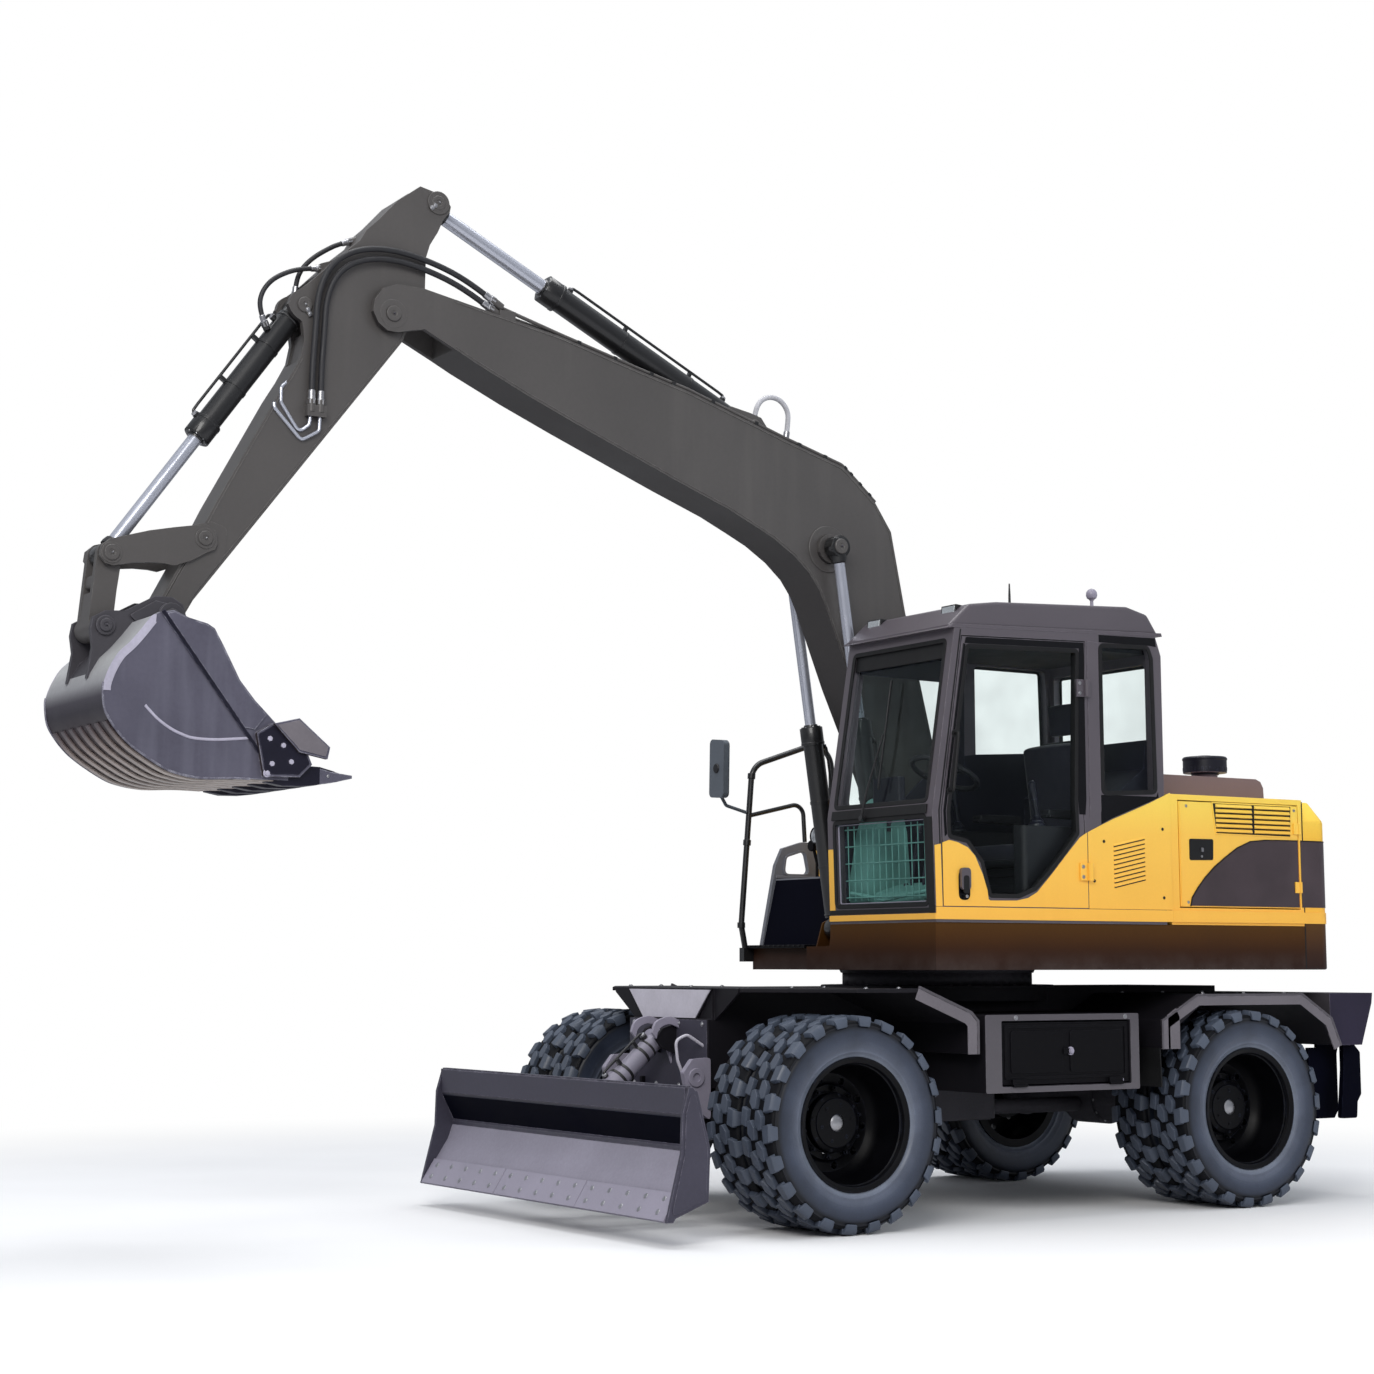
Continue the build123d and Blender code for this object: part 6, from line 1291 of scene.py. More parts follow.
vent = Shape()
for i in range(10):
    z = 1664 + i * 23.5
    # near-black strip under each slat: painted shade in the gap
    vent.use(1)
    vent.prism([(-236, z), (-236, z + 10), (-452, z + 10 + 44), (-452, z + 44)], 'y', CO + 2.2, CO + 3.6)
    vent.use(0)
    vs = [(-234, CO + 3, z + 9), (-454, CO + 3, z + 53), (-454, CO + 3, z + 64), (-234, CO + 3, z + 20), (-236, CO + 9, z + 7), (-452, CO + 9, z + 51)]
    vent.raw(vs, [(0, 1, 5, 4), (4, 5, 2, 3), (0, 4, 3), (1, 2, 5), (0, 3, 2, 1)])
vent.use(1)
for x, z in ((-80, 1700), (-560, 1980), (-560, 1620), (-150, 1905)):
    vent.lathe((x - 20, CO + 2.5, z), (0, 1, 0), [(0, 0), (0, 9), (2.5, 8), (3, 0)], 14)
make("cab_side_vents", vent, "upper", "yellow_paint", ["yellow_paint", "seal_rubber"], bevel=0.8)

# ---------------------------------------------------------------------------
# Engine body: louvres, latches, dark tail panel, seams, lamps
# ---------------------------------------------------------------------------
PANEL = [(-777, 1582), (-789, 1624), (-830, 1674), (-885, 1729), (-955, 1786), (-1035, 1839), (-1125, 1892), (-1223, 1929), (-1330, 1939), (-1449, 1941), (-1580, 1942), (-1580, 1582)]
for side, sy in (("left", 1), ("right", -1)):
    s = Shape()

    def yy(a, b):
        return sorted((sy * a, sy * b))
    s.use(2)
    s.prism(PANEL, 'y', *yy(1189, 1194))
    s.use(1)
    edge = [(-772, 1580), (-784, 1626), (-826, 1678), (-881, 1734), (-951, 1792), (-1032, 1845), (-1123, 1898), (-1222, 1935), (-1330, 1945), (-1449, 1947), (-1582, 1948)]
    s.prism(edge + offset(edge, 6)[::-1], 'y', *yy(1189, 1195.5))
    # louvre grille: hooded slats in two bays over a near-black field, painted shade behind the slats
    s.use(1)
    s.prism([(-951, 2131), (-1534, 2131), (-1526, 1966), (-974, 1970)], 'y', *yy(1189, 1191))
    s.use(0)
    for i in range(6):
        z = 1976 + i * 26.5
        for x0, x1 in ((-972, -1240), (-1258, -1526)):
            vs = [(x0, sy * 1190, z), (x1, sy * 1190, z), (x1, sy * 1190, z + 20), (x0, sy * 1190, z + 20), (x0 - 6, sy * 1202, z + 3), (x1 + 6, sy * 1202, z + 3)]
            s.raw(vs, [(0, 1, 5, 4), (4, 5, 2, 3), (0, 4, 3), (1, 2, 5), (0, 3, 2, 1)])
    add_frame(s, [(-944, 2137), (-1541, 2137), (-1533, 1960), (-967, 1964)], [(-952, 2130), (-1533, 2130), (-1526, 1967), (-974, 1971)], 'y', *yy(1189, 1193.5))
    # paddle latch in its dark plate
    s.use(1)
    s.prism(rounded([(-776, 1936), (-776, 1822), (-946, 1826), (-950, 1938)], 12), 'y', *yy(1189, 1193))
    s.use(3)
    s.prism(rounded([(-856, 1890), (-856, 1868), (-872, 1868), (-872, 1890)], 6), 'y', *yy(1192, 1200))
    s.lathe((-863, sy * 1193, 1844), (0, sy, 0), [(0, 0), (0, 7), (3, 6.5), (3.5, 0)], 14)
    s.use(0)
    s.prism([(-712, 1582), (-712, 2128), (-728, 2128), (-728, 1582)], 'y', *yy(1189, 1192.5))
    for x, z in ((-760, 1600), (-760, 2110), (-1560, 2110)):
        s.use(3)
        s.lathe((x, sy * 1190, z), (0, sy, 0), [(0, 0), (0, 9), (3, 8), (4, 0)], 14)
    make(side + "_service_door_panels", s, side + "_service_door", "yellow_paint", ["yellow_paint", "seal_rubber", "panel_purple", "bright_steel"], bevel=1.0)

TAIL = []
for k in range(7):
    a = math.radians(90 + (147.7 - 90) * k / 6)
    TAIL.append((-1741.7 + 90 * math.cos(a), 1100 + 90 * math.sin(a)))
arc = []
for k in range(1, 24):
    a = math.radians(147.7 + (212.3 - 147.7) * k / 24)
    arc.append((2150 * math.cos(a), 2150 * math.sin(a)))
TAIL_PATH = [(-1601, 1190)] + TAIL + arc + [(x, -y) for x, y in TAIL[::-1]] + [(-1601, -1190)]
tail = Shape()
tail.use(1)
tail.ribbon([(x, y) for x, y in TAIL_PATH][::-1], 1582, 1942, 3.2)
tail.use(2)
tail.ribbon([(x, y) for x, y in TAIL_PATH][::-1], 1942, 1948, 4.5)
tail.use(0)
tail.ribbon([(-1621, 1190)] + TAIL_PATH[1:-1] + [(-1621, -1190)], 1494, 1555, -5.0)
tail.use(2)
# joint line between body and counterweight, lifting eyes, bolt covers
for sy in (-1, 1):
    y0, y1 = sorted((sy * 1186, sy * 1191.5))
    tail.box(-1624, -1616, y0, y1, 1250, 2160)
    tail.use(3)
    for y in (380,):
        tail.prism([(-1800, 2160), (-1700, 2160), (-1720, 2222), (-1780, 2222)], 'y', sy * y - 10, sy * y + 10)
        tail.ring((-1750, sy * y - 14, 2194), (0, 1, 0), 22, 13, 28, 24, 3)
    tail.use(2)
make("counterweight_bands", tail, "upper", "yellow_paint", ["yellow_paint", "panel_purple", "seal_rubber", "cylinder_black"], bevel=1.5)

lamps = Shape()
for sy in (-1, 1):
    # rear lamp clusters on the cross member, front marker lamps on the fenders
    for z, m in ((1010, 1), (960, 2)):
        lamps.use(0)
        y0, y1 = sorted((sy * 930, sy * 1080))
        x = -2160 + (1060 - z) * 0.377
        lamps.obox((x - 4, sy * 1005, z), (1, 0, -0.37), (0, 1, 0), (0.37, 0, 1), 12, 78, 24)
        lamps.use(m)
        lamps.obox((x - 16, sy * 1005, z - 2), (1, 0, -0.37), (0, 1, 0), (0.37, 0, 1), 5, 68, 17)
    lamps.use(3)
    y0, y1 = sorted((sy * 905, sy * 1105))
    lamps.prism([(-2128, 1046), (-2044, 822), (-2034, 822), (-2072, 900), (-2116, 1046)], 'y', y0, y1)
make("rear_lamps", lamps, "chassis", "dark_plastic", ["dark_plastic", "amber_lens", "red_lens", "navy_dark"], bevel=2.5)

hd = Shape()
# hood: pressed ribs, catches, pre-cleaner detail
for y in (-620, -310, 0, 310):
    hd.prism(rounded([(-800, y - 26), (-1380, y - 26), (-1380, y + 26), (-800, y + 26)], 20), 'z', 2296, 2304)
hd.use(1)
hd.lathe((-1475, 600, 2352), (0, 0, 1), [(0, 121), (0, 123), (70, 123), (73, 126), (82, 126), (90, 118), (92, 60), (98, 40), (99, 0), (80, 0)], 48)
for k in range(36):
    a = 2 * math.pi * k / 36
    hd.obox((-1475 + 123 * math.cos(a), 600 + 123 * math.sin(a), 2372), (math.cos(a), math.sin(a), 0), (-math.sin(a), math.cos(a), 0), (0, 0, 1), 1.5, 4, 10)
hd.lathe((-1475, 600, 2340), (0, 0, 1), [(0, 68), (0, 78), (12, 78), (12, 68)], 32, closed=True)
hd.use(2)
for y in (-500, 500):
    hd.obox((-1592, y, 2200), (1, 0, 0), (0, 1, 0), (0, 0, 1), 4, 24, 16)
make("hood_details", hd, "hood", "cab_grey", ["hood_paint", "navy_plastic", "bright_steel"], bevel=3)

body = Shape()
# exhaust stub and its heat guard on the right, tank cap, tank straps
body.use(1)
body.lathe((-330, -760, 2058), (0, 0, 1), [(0, 0), (0, 62), (10, 62), (14, 50), (34, 50), (38, 44), (38, 0)], 32)
for k in range(12):
    a = 2 * math.pi * k / 12
    body.obox((-330 + 50 * math.cos(a), -760 + 50 * math.sin(a), 2078), (math.cos(a), math.sin(a), 0), (-math.sin(a), math.cos(a), 0), (0, 0, 1), 4, 5, 12)
body.use(0)
body.prism(rounded([(-600, -1150), (-60, -1150), (-60, -380), (-600, -380)], 40), 'z', 2059, 2064)
# non-slip strips on tank and step box tops
body.use(2)
for i in range(6):
    body.box(-570 + i * 84, -530 + i * 84, -640, -420, 2064, 2068)
for i in range(5):
    body.box(40 + i * 48, 62 + i * 48, -1080, -480, 1770, 1775)
body.use(1)
for z in (1470, 1620):
    body.box(298, 306, -1100, -700, z - 10, z + 10)
make("tank_and_steps_trim", body, "upper", "brown_paint", ["brown_paint", "cylinder_black", "seal_rubber"], bevel=2.5)

# ---------------------------------------------------------------------------
# Right front corner: hand-hold panel trim, work lamp, dark box, steps
# ---------------------------------------------------------------------------
rf = Shape()
hole = rounded([(240, 1800), (225, 1900), (90, 1940), (60, 1800)], 30)
add_frame(rf, inset(hole, -12), inset(hole, 2), 'y', -1132, -1124)
rf.prism([(300, 1775), (20, 1775), (20, 1790), (300, 1790)], 'y', -1131, -1122)
rf.use(1)
# navy box ahead of the tank, tapering forward
rf.prism([(20, 1380), (392, 1380), (300, 1762), (20, 1762)], 'y', -1128, -440)
rf.use(2)
rf.lathe((262, -770, 2010), (1, 0, 0.08), [(-44, 0), (-44, 22), (-28, 44), (6, 50), (12, 50), (12, 44), (8, 44), (6, 0)], 28)
rf.use(3)
rf.lathe((270, -770, 2010.6), (1, 0, 0.08), [(0, 0), (0, 43), (4, 34), (7, 16), (8, 0)], 28)
rf.use(2)
rf.pipe([(244, -770, 1985), (244, -770, 1880), (200, -770, 1750)], 12, 30, 10)
rf.lathe((230, -850, 1955), (1, 0, 0), [(-30, 0), (-30, 26), (10, 34), (18, 30), (18, 0)], 20)
rf.pipe([(225, -850, 1940), (200, -850, 1860), (200, -850, 1750)], 10, 30, 10)
# foot plate at the front corner with a toothed edge
rf.box(400, 500, -1180, -560, 1366, 1384)
for i in range(12):
    rf.prism([(500, 1372), (507, 1378), (500, 1384)], 'y', -1170 + i * 50, -1150 + i * 50)
# upright tube beside the boom well
rf.use(0)
rf.pipe([(470, -300, 1380), (470, -300, 1820), (420, -300, 1860)], 16, 40, 12)
make("right_front_trim", rf, "upper", "cab_grey", ["handhold_grey", "navy_dark", "door_black", "lamp_lens"], bevel=3)

rail = Shape()
for p, ax_ in (((520, -1165, 1500), (0, 0, 1)), ((478, -1165, 1980), (-0.085, 0, 1)), ((445, -1165, 2370), (-0.085, 0, 1)), ((-130, -1165, 2200), (0, 0, 1))):
    rail.lathe(Vector(p) - Vector(ax_) * 16, ax_, [(0, 16.5), (0, 23), (32, 23), (32, 16.5)], 18, closed=True)
rail.lathe((-130, -1165, 2060), (0, 0, 1), [(0, 17), (0, 40), (8, 40), (10, 17)], 24, closed=True)
rail.obox((484, -1165, 1330), (1, 0, 0), (0, 1, 0), (0, 0, 1), 34, 24, 40)
rail.use(1)
for dz in (-20, 20):
    rail.bolt((484, -1189, 1330 + dz), (0, -1, 0), 9, 8)
make("handrail_clamps", rail, "upper", "cylinder_black", ["cylinder_black", "bright_steel"], bevel=1.5)

mir = Shape()
face = rounded([(-1186, 2240), (-1044, 2231), (-1035, 2554), (-1176, 2568)], 28)
mir.prism(inset(face, 8), 'x', 684.0, 687.0)
mir.use(1)
add_frame(mir, inset(face, -1), inset(face, 9), 'x', 682, 690)
mir.lathe((706, -1110, 2262), (0, 0, 1), [(-30, 0), (-30, 16), (4, 20), (4, 0)], 20)
mir.lathe((728, -1110, 2400), (1, 0, 0), [(-2, 0), (-2, 30), (6, 24), (10, 0)], 24)
make("mirror_glass", mir, "upper", "dark_plastic", ["mirror_face", "dark_plastic"], bevel=1.5)

# ---------------------------------------------------------------------------
# Chassis: slew ring bolts, box borders, swivel, hoses, guards
# ---------------------------------------------------------------------------
ch = Shape()
for k in range(36):
    a = 2 * math.pi * k / 36
    ch.use(1)
    ch.bolt((560 * math.cos(a), 560 * math.sin(a), 1155), (0, 0, 1), 11, 10)
ch.use(0)
ch.lathe((0, 0, 1150), (0, 0, 1), [(0, 585), (0, 640), (10, 640), (14, 634), (14, 585)], 72, closed=True)
ch.use(2)
for sy in (-1, 1):
    # pale border round each tool box mouth
    y0, y1 = sorted((sy * 1149, sy * 1153))
    add_frame(ch, rounded([(596, 1022), (-422, 1022), (-422, 635), (596, 635)], 10), rounded([(494, 992), (-366, 992), (-366, 664), (494, 664)], 10), 'y', y0, y1)
    for x in (-330, 400):
        ch.use(1)
        ch.bolt((x, sy * 1152, 1006), (0, sy, 0), 9, 7)
        ch.use(2)
ch.use(3)
ch.prism([(-252, 1004), (252, 1004), (392, 1146), (-392, 1146)], 'x', 1735, 1741)
ch.use(4)
ch.prism([(-372, 640), (372, 640), (372, 996), (-372, 996)], 'x', 1744, 1747)
for y in (-330, -110, 110, 330):
    for z in (665, 975):
        ch.use(1)
        ch.bolt((1747, y, z), (1, 0, 0), 9, 7)
# hose loop and bracket beside the blade cylinder
ch.use(3)
for y in (336,):
    ch.pipe([(1744, y, 868), (1840, y, 925), (1908, y, 898), (1896, y, 800), (1850, y, 690), (1800, y, 640), (1744, y, 630)], 8, 40, 12)
ch.use(5)
for sy in (-1, 1):
    y0, y1 = sorted((sy * 368, sy * 402))
    ch.prism(rounded([(1742, 812), (1850, 806), (1902, 742), (1884, 662), (1824, 612), (1796, 540), (1742, 500)], 18), 'y', y0, y1)
    ch.ring((1830, sy * 402, 716), (0, sy, 0), 46, 22, 10, 32, 2)
make("chassis_borders", ch, "chassis", "chassis_grey", ["frame_dark", "bright_steel", "fender_grey", "front_plate", "blade_end", "lavender_trim"], bevel=1.8)

up_bolts = Shape()
for k in range(32):
    a = 2 * math.pi * (k + 0.5) / 32
    up_bolts.use(1)
    up_bolts.bolt((478 * math.cos(a), 478 * math.sin(a), 1231), (0, 0, -1), 11, 12)
up_bolts.use(0)
up_bolts.lathe((0, 0, 1228), (0, 0, 1), [(0, 420), (0, 528), (16, 536), (17, 420)], 64, closed=True)
make("slew_ring_upper_bolts", up_bolts, "upper", "cast_grey", ["cast_grey", "lavender_trim"], bevel=1.2)

for side, sy in (("left", 1), ("right", -1)):
    s = Shape()
    y0, y1 = sorted((sy * 1141, sy * 1147))
    add_frame(s, rounded([(470, 970), (-342, 970), (-342, 700), (470, 700)], 14), rounded([(456, 956), (-328, 956), (-328, 714), (456, 714)], 10), 'y', y0, y1)
    s.prism(rounded([(430, 940), (90, 940), (90, 730), (430, 730)], 20), 'y', y0, y1 - sy * 0 if sy > 0 else y1)
    s.prism(rounded([(40, 940), (-310, 940), (-310, 730), (40, 730)], 20), 'y', y0, y1)
    s.use(1)
    s.lathe((40, sy * 1146, 836), (0, sy, 0), [(0, 0), (0, 22), (6, 21), (8, 15), (16, 13), (18, 0)], 24)
    for x in (-322, 362):
        s.bolt((x + 22, sy * 1152, 684), (0, sy, 0), 7, 6)
        s.bolt((x + 52, sy * 1152, 684), (0, sy, 0), 7, 6)
    make(side + "_box_door_trim", s, side + "_box_door", "cylinder_black", ["door_black", "lavender_trim"], bevel=1.6)

un = Shape()
# centre swivel hoses to the axles and blade, brake lines on the axles, drain plugs
for y, x1, y1, z1 in ((60, 1350, 120, 640), (-60, 1350, -120, 640), (40, -1000, 110, 640), (-40, -1000, -110, 640)):
    un.pipe([(x1 * 0.15, y, 645), (x1 * 0.35, y, 618), (x1 * 0.8, y1 * 0.8, 618), (x1 * 0.93, y1, z1 - 20)], 12, 60, 10)
un.use(1)
for x in (1450, -1134):
    for sy in (-1, 1):
        un.tube([(x + 40, sy * 150, 600 if x > 0 else 620), (x + 44, sy * 300, 592 if x > 0 else 606), (x + 40, sy * 430, 590 if x > 0 else 600)], 5, 8)
un.use(2)
# pale rigid line looping from the frame to the blade cylinder
un.pipe([(1745, 30, 905), (1775, 30, 880), (1740, 34, 780), (1690, 34, 700), (1650, 30, 655)], 11, 50, 10)
# curved guard arm beside the blade cylinder foot
un.use(3)
un.prism(smooth_line([(1722, 980), (1800, 1010), (1880, 985), (1905, 930)], 5) + smooth_line([(1880, 900), (1862, 950), (1800, 972), (1722, 940)], 5), 'y', 92, 112)
un.prism(smooth_line([(1722, 980), (1800, 1010), (1880, 985), (1905, 930)], 5) + smooth_line([(1880, 900), (1862, 950), (1800, 972), (1722, 940)], 5), 'y', -112, -92)
make("under_frame_lines", un, "chassis", "chassis_grey", ["hose_rubber", "bright_steel", "lavender_trim", "lavender_trim"], bevel=1.5)

gear = Shape()
# transfer box ribs and bolts, axle housings' cover bolts
for y in (-120, -40, 40, 120):
    gear.box(-262, 242, y - 6, y + 6, 430, 446)
for k in range(10):
    a = 2 * math.pi * k / 10
    gear.use(1)
    gear.bolt((1450 + 108 * math.cos(a), -330, 516 + 108 * math.sin(a)), (0, -1, 0), 8, 7)
    gear.bolt((-1134 + 118 * math.cos(a), 119, 516 + 118 * math.sin(a)), (0, 1, 0), 8, 7)
    gear.bolt((-1134 + 118 * math.cos(a), -119, 516 + 118 * math.sin(a)), (0, -1, 0), 8, 7)
    gear.use(0)
for x0 in (200, -300):
    gear.lathe((x0, 0, 490), (1, 0, 0), [(0, 42), (0, 70), (14, 70), (18, 56), (60, 52), (60, 42)], 32, closed=True)
make("driveline_details", gear, "chassis", "cast_grey", ["cast_grey", "bright_steel"], bevel=2)

edges = Shape()
# rolled lips and mud flaps on the fenders, ribs on the rear member
for sy in (-1, 1):
    f = [(1010, 1155), (690, 1030), (650, 990), (650, 830)]
    y0, y1 = sorted((sy * 1144, sy * 1156))
    edges.use(0)
    edges.prism(f + offset(f, -14)[::-1], 'y', y0, y1) if sy > 0 else edges.prism(f + offset(f, -14)[::-1], 'y', y0, y1)
    r_ = [(-556, 835), (-556, 985), (-810, 1118), (-1590, 1118), (-1812, 985), (-1880, 835)]
    y0, y1 = sorted((sy * 1176, sy * 1186))
    edges.prism(r_ + offset(r_, 12)[::-1], 'y', y0, y1)
    edges.use(3)
    y0, y1 = sorted((sy * 1174, sy * 1183))
    edges.prism(r_ + offset(r_, 60)[::-1], 'y', y0, y1)
    edges.prism([(-600, 835), (-600, 1010), (-660, 1045), (-684, 1000), (-684, 835)], 'y', y0, y1)
    y0, y1 = sorted((sy * 1146, sy * 1153))
    edges.prism(f + offset(f, 56)[::-1], 'y', y0, y1)
    # bracket plate behind the rear wheel
    edges.use(4)
    y0, y1 = sorted((sy * 1058, sy * 1088))
    edges.prism(rounded([(-1990, 1000), (-1990, 700), (-1960, 430), (-2084, 430), (-2092, 520), (-2122, 560), (-2122, 790), (-2070, 840), (-2060, 1000)], 16), 'y', y0, y1)
    edges.use(1)
    y0, y1 = sorted((sy * 720, sy * 1170))
    edges.prism([(-556, 840), (-550, 840), (-556, 640), (-564, 640)], 'y', y0, y1)
    edges.use(2)
    for x in (-900, -1200, -1500):
        edges.bolt((x, sy * 1130, 1118), (0, 0, 1), 9, 8)
        edges.bolt((x, sy * 500, 1118), (0, 0, 1), 9, 8)
    for x in (1100, 1300):
        edges.bolt((x, sy * 1110, 1155), (0, 0, 1), 9, 8)
        edges.bolt((x, sy * 480, 1155), (0, 0, 1), 9, 8)
    edges.use(0)
    for y in (450, 840):
        edges.prism([(-2150, 1040), (-2172, 1112), (-2174, 1112), (-2078, 836), (-2070, 840)], 'y', sy * y - 6, sy * y + 6)
make("fender_lips", edges, "chassis", "chassis_grey", ["fender_grey", "seal_rubber", "bright_steel", "fender_light", "navy_dark"], bevel=2)

# ---------------------------------------------------------------------------
# Cab inside: padded seat, levers, monitor, floor mat, lining
# ---------------------------------------------------------------------------


def cushion(name, centre, half, pull=0.22, crown=0.10, channels=(), tilt=0.0, across=0.0, mat="seat_fabric"):
    """Stuffed pad: a crowned closed form, sides drawn in between the corners, sewn channels pressed in."""
    bm = bmesh.new()
    bmesh.ops.create_cube(bm, size=2.0)
    bmesh.ops.subdivide_edges(bm, edges=bm.edges[:], cuts=15, use_grid_fill=True)
    cu = Vector(centre)
    for v in bm.verts:
        x, y, z = v.co
        sph = Vector((x * math.sqrt(max(0, 1 - y * y / 2 - z * z / 2 + y * y * z * z / 3)), y * math.sqrt(max(0, 1 - x * x / 2 - z * z / 2 + x * x * z * z / 3)), z * math.sqrt(max(0, 1 - y * y / 2 - x * x / 2 + y * y * x * x / 3))))
        p = Vector((x, y, z)).lerp(sph, pull)
        p.z += crown * (1 - x * x) * (1 - y * y) * (1 if z > 0 else 0.2 if z < 0 else 0)
        p.x *= 1 - 0.04 * (1 - y * y) * abs(x)
        p.y *= 1 - 0.05 * (1 - x * x) * abs(y)
        if z > 0.5:
            for kind, at in channels:
                q = x if kind == 'x' else y
                p.z -= 0.13 * math.exp(-((q - at) / 0.055) ** 2)
            e = max(abs(x), abs(y))
            p.z -= 0.05 * math.exp(-((e - 0.86) / 0.05) ** 2)
        m = Vector((p.x * half[0], p.y * half[1], p.z * half[2]))
        m.rotate(Matrix.Rotation(tilt, 3, 'Y'))
        v.co = P(*(cu + m))
    me = bpy.data.meshes.new(name)
    bm.to_mesh(me)
    bm.free()
    for p in me.polygons:
        p.use_smooth = True
    me.materials.append(M[mat])
    ob = bpy.data.objects.new(name, me)
    SCENE.objects.link(ob)
    sub = ob.modifiers.new("round", 'SUBSURF')
    sub.levels = sub.render_levels = 1
    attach(ob, "upper")
    return ob


cushion("seat_cushion", (-30, 750, 1852), (252, 238, 46), channels=(('y', -0.55), ('y', 0.55), ('x', -0.1)))
cushion("seat_back", (-262, 750, 2160), (300, 228, 48), channels=(('y', -0.55), ('y', 0.55), ('x', -0.4), ('x', 0.25)), tilt=math.radians(-83))
cushion("seat_headrest", (-306, 750, 2580), (88, 108, 30), tilt=math.radians(-84))
for i, y in enumerate((470, 1030)):
    cushion("armrest_%d" % (i + 1), (-60, y, 2050), (150, 38, 22), mat="dark_plastic")
sb = Shape()
# seat pan, back shell, hinge covers, suspension bellows, armrest posts
sb.prism(rounded([(-285, 1775), (215, 1780), (225, 1815), (-285, 1812)], 14), 'y', 520, 980)
sb.prism(rounded([(-300, 1800), (-262, 1800), (-322, 2470), (-352, 2470)], 14), 'y', 540, 960)
sb.prism([(-330, 2450), (-312, 2450), (-330, 2560), (-344, 2560)], 'y', 690, 704)
sb.prism([(-330, 2450), (-312, 2450), (-330, 2560), (-344, 2560)], 'y', 796, 810)
for i in range(5):
    z = 1560 + i * 42
    g_ = 18 if i % 2 else 0
    sb.prism(rounded([(-240 + g_, 560 + g_), (160 - g_, 560 + g_), (160 - g_, 940 - g_), (-240 + g_, 940 - g_)], 30), 'z', z, z + 42)
for y in (470, 1030):
    sb.prism(rounded([(-210, 2020), (90, 2030), (90, 2046), (-210, 2040)], 8), 'y', y - 26, y + 26)
    sb.prism([(-190, 1830), (-150, 1830), (-150, 2030), (-190, 2030)], 'y', y - 10 + (30 if y < 750 else -30), y + 10 + (30 if y < 750 else -30))
o_ = make("seat_shell", sb, "upper", "dark_plastic", bevel=4)
for c_ in ("seat",):
    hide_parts(c_)

ins = Shape()
for y in (420, 1070):
    # joystick with boot and grip on each console
    ins.lathe((170, y, 1978), (0, 0, 1), [(0, 0), (0, 46), (12, 44), (22, 34), (32, 36), (42, 24), (56, 16), (60, 0)], 24)
    ins.tube([(170, y, 2030), (176, y, 2085), (186, y, 2130)], [12, 13, 17], 12)
    ins.lathe((184, y, 2120), (0.2, 0, 1), [(0, 0), (0, 17), (30, 21), (62, 23), (82, 20), (92, 10), (94, 0)], 20)
    ins.use(1)
    ins.lathe((192, y, 2211), (0.3, 0, 1), [(0, 0), (0, 5), (4, 4), (5, 0)], 10)
    ins.use(0)
# monitor on its stalk, dash, pedals, travel levers
ins.prism(rounded([(700, 430), (748, 430), (748, 660), (700, 660)], 14), 'z', 2060, 2240)
ins.pipe([(724, 545, 1960), (724, 545, 2070)], 14, 10, 12)
ins.use(2)
ins.box(697, 700.5, 448, 642, 2080, 2222)
ins.use(0)
for y in (640, 700, 800, 860):
    ins.pipe([(690, y, 1560), (700, y, 1700), (650, y, 1960 if y in (700, 800) else 1640)], 9, 40, 10)
    ins.lathe((650, y, 1950 if y in (700, 800) else 1632), (-0.2, 0, 1), [(0, 0), (0, 14), (20, 20), (40, 18), (50, 0)], 14)
# side wall linings, rear shelf, floor mat, roof lining with blind
ins.box(-548, 880, 1140, 1149, 1548, 1560)
ins.prism([(-190, 1552), (-190, 2140), (-548, 2140), (-548, 1552)], 'y', 1128, 1148)
ins.prism([(-350, 1552), (-350, 2180), (-524, 2300), (-538, 2455), (-548, 2455), (-548, 1552)], 'y', 350, 1128)
ins.prism([(860, 1552), (870, 2040), (560, 2080), (380, 2240), (200, 2380), (-20, 2410), (-540, 2440), (-540, 1552)], 'y', 347, 354)
ins.prism([(70, 2220), (200, 2214), (190, 2962), (60, 2962)], 'y', 347, 356)
ins.prism([(60, 2790), (760, 2800), (720, 2962), (60, 2962)], 'y', 347, 356)
ins.use(3)
ins.prism([(740, 2906), (700, 2950), (-540, 2962), (-540, 2910)], 'y', 350, 1146)
ins.use(4)
ins.prism(rounded([(860, 380), (260, 380), (260, 1120), (860, 1120)], 30), 'z', 1547, 1556)
for i in range(14):
    ins.box(290, 850, 400 + i * 50, 414 + i * 50, 1556, 1560)
ins.use(0)
# air duct with round outlets on the door side post
ins.prism(rounded([(-120, 1560), (-170, 1560), (-170, 2900), (-120, 2900)], 10), 'y', 1090, 1144)
ins.use(1)
ins.box(-121, -118, 1104, 1130, 2500, 2590)
ins.use(5)
# pale teal moulded console cover and storage tray ahead of the seat; the pale colour is partly painted window light
ins.prism(rounded([(560, 1562), (850, 1562), (850, 1700), (800, 1960), (740, 2120), (690, 2150), (630, 2120), (590, 1960)], 60), 'y', 360, 520)
ins.prism(rounded([(600, 1562), (840, 1562), (830, 1640), (620, 1700)], 30), 'y', 560, 980)
make("cab_inside", ins, "upper", "dark_plastic", ["navy_plastic", "bright_steel", "glass_dark", "headliner", "seal_rubber", "teal_plastic"], bevel=3)

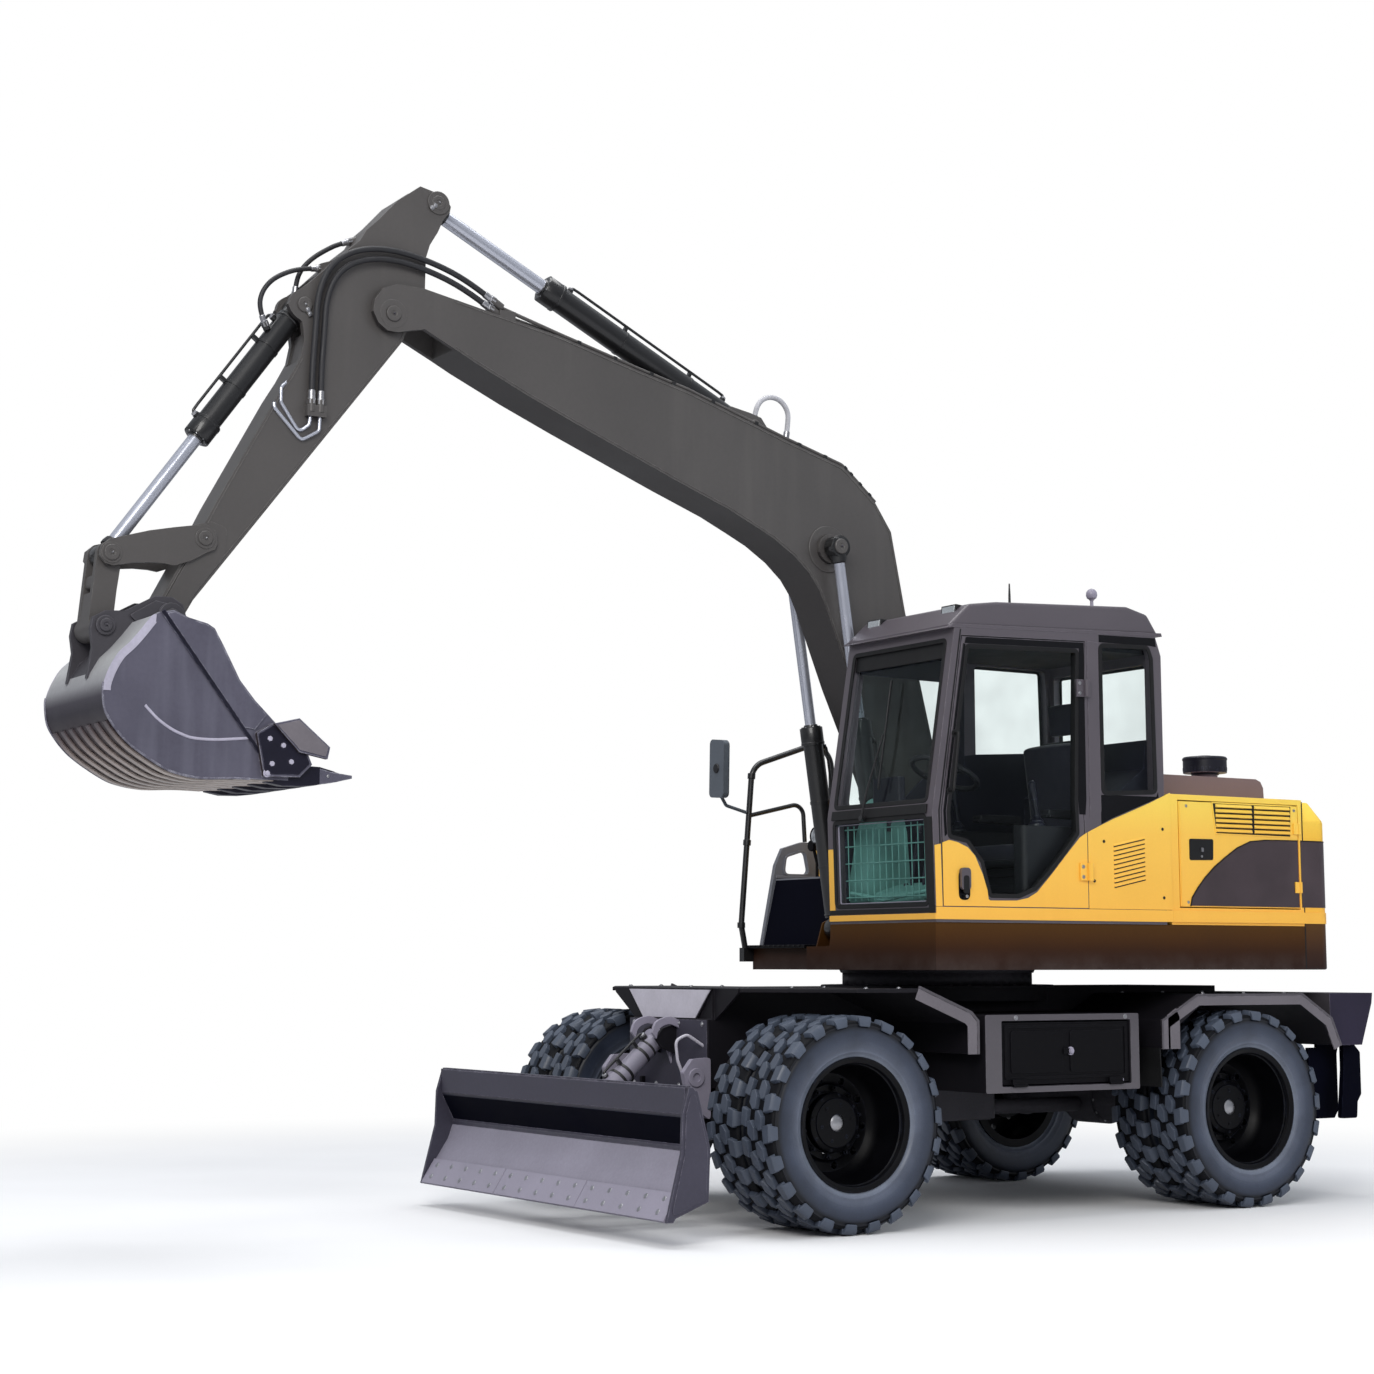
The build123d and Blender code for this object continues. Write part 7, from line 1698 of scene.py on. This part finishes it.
# steering wheel rim with grip, hub cap and spokes over the plain one
sw = Shape()
axis = Vector((-0.42, 0, 0.9075)).normalized()
uu, vv, ww = frame_of(axis)
cw = Vector((520, 750, 2250)) + axis * 11
ringp = [cw + (uu * math.cos(2 * math.pi * k / 48) + vv * math.sin(2 * math.pi * k / 48)) * 178 for k in range(49)]
sw.tube(ringp, 15, 12, caps=False)
sw.dome(cw + axis * 8, axis, 44, 18, 24, 4)
make("steering_wheel_grip", sw, "upper", "dark_plastic", ["dark_plastic"], bevel=0)

# ---------------------------------------------------------------------------
# Floor and light
# ---------------------------------------------------------------------------
world = bpy.data.worlds.new("studio")
bpy.context.scene.world = world
world.use_nodes = True
wt = world.node_tree
sky = node(wt, "ShaderNodeTexCoord").outputs["Generated"]
sz = node(wt, "ShaderNodeSeparateXYZ", ins={0: sky})
wt.links.new(ramp(wt, sz.outputs[2], [(0.0, (0.30, 0.31, 0.34, 1)), (0.12, (0.52, 0.54, 0.58, 1)), (0.5, (0.62, 0.65, 0.70, 1)), (1.0, (0.74, 0.78, 0.84, 1))]), wt.nodes["Background"].inputs[0])
wt.nodes["Background"].inputs[1].default_value = 0.70
plain = node(wt, "ShaderNodeBackground", ins={0: (1.0, 1.0, 1.0, 1), 1: 1.0})
seen = node(wt, "ShaderNodeLightPath").outputs["Is Camera Ray"]
wt.links.new(node(wt, "ShaderNodeMixShader", ins={0: seen, 1: wt.nodes["Background"].outputs[0], 2: plain.outputs[0]}).outputs[0], wt.nodes["World Output"].inputs[0])

fm = bpy.data.materials.new("floor_pale")
fm.use_nodes = True
ft = fm.node_tree
fo = node(ft, "ShaderNodeTexCoord").outputs["Object"]
fn = node(ft, "ShaderNodeTexNoise", ins={"Vector": fo, "Scale": 0.7, "Detail": 3.0})
ft.links.new(ramp(ft, fn.outputs[0], [(0.3, srgb(246, 246, 247)), (0.7, srgb(251, 251, 252))]), ft.nodes["Principled BSDF"].inputs["Base Color"])
ft.nodes["Principled BSDF"].inputs["Roughness"].default_value = 0.9
ft.nodes["Principled BSDF"].inputs["Specular IOR Level"].default_value = 0.1
far = node(ft, "ShaderNodeVectorMath", {"operation": 'LENGTH'}, {0: fo}).outputs["Value"]
fade = node(ft, "ShaderNodeMapRange", {"interpolation_type": 'SMOOTHSTEP'}, {0: far, 1: 4.0, 2: 9.0, 3: 0.0, 4: 1.0}).outputs[0]
glow = node(ft, "ShaderNodeEmission", ins={0: (1, 1, 1, 1), 1: 1.0})
top_look = node(ft, "ShaderNodeMixShader", ins={0: fade, 1: ft.nodes["Principled BSDF"].outputs[0], 2: glow.outputs[0]}).outputs[0]
# the floor throws back less light than it shows, which keeps the machine's underside dark
dull = node(ft, "ShaderNodeBsdfDiffuse", ins={0: srgb(206, 206, 208)}).outputs[0]
direct = node(ft, "ShaderNodeLightPath").outputs["Is Camera Ray"]
ft.links.new(node(ft, "ShaderNodeMixShader", ins={0: direct, 1: dull, 2: top_look}).outputs[0], ft.nodes["Material Output"].inputs[0])
fme = bpy.data.meshes.new("floor")
fme.from_pydata([(-90, -90, 0), (90, -90, 0), (90, 90, 0), (-90, 90, 0)], [], [(0, 1, 2, 3)])
fme.materials.append(fm)
floor = bpy.data.objects.new("floor", fme)
SCENE.objects.link(floor)


def lamp(name, kind, at, to, energy, size=None, colour=(1, 1, 1)):
    d = bpy.data.lights.new(name, kind)
    d.energy = energy
    d.color = colour
    if kind == 'AREA':
        d.shape = 'RECTANGLE'
        d.size, d.size_y = size
    elif size:
        d.angle = size
    o = bpy.data.objects.new(name, d)
    SCENE.objects.link(o)
    o.location = at
    o.rotation_euler = (Vector(to) - Vector(at)).to_track_quat('-Z', 'Y').to_euler()
    return o


lamp("key", 'AREA', (9.5, 10.5, 9.5), (0.5, 0, 1.6), 1160, (7, 6), (1.0, 0.98, 0.95))
lamp("fill", 'AREA', (-7.5, 10, 5.0), (-0.5, 0, 1.4), 380, (7, 6), (0.92, 0.96, 1.0)).visible_glossy = False
lamp("top", 'AREA', (0.0, -1.0, 12.0), (0.0, 0, 1.5), 700, (9, 7))

bpy.context.scene.view_settings.view_transform = 'Standard'
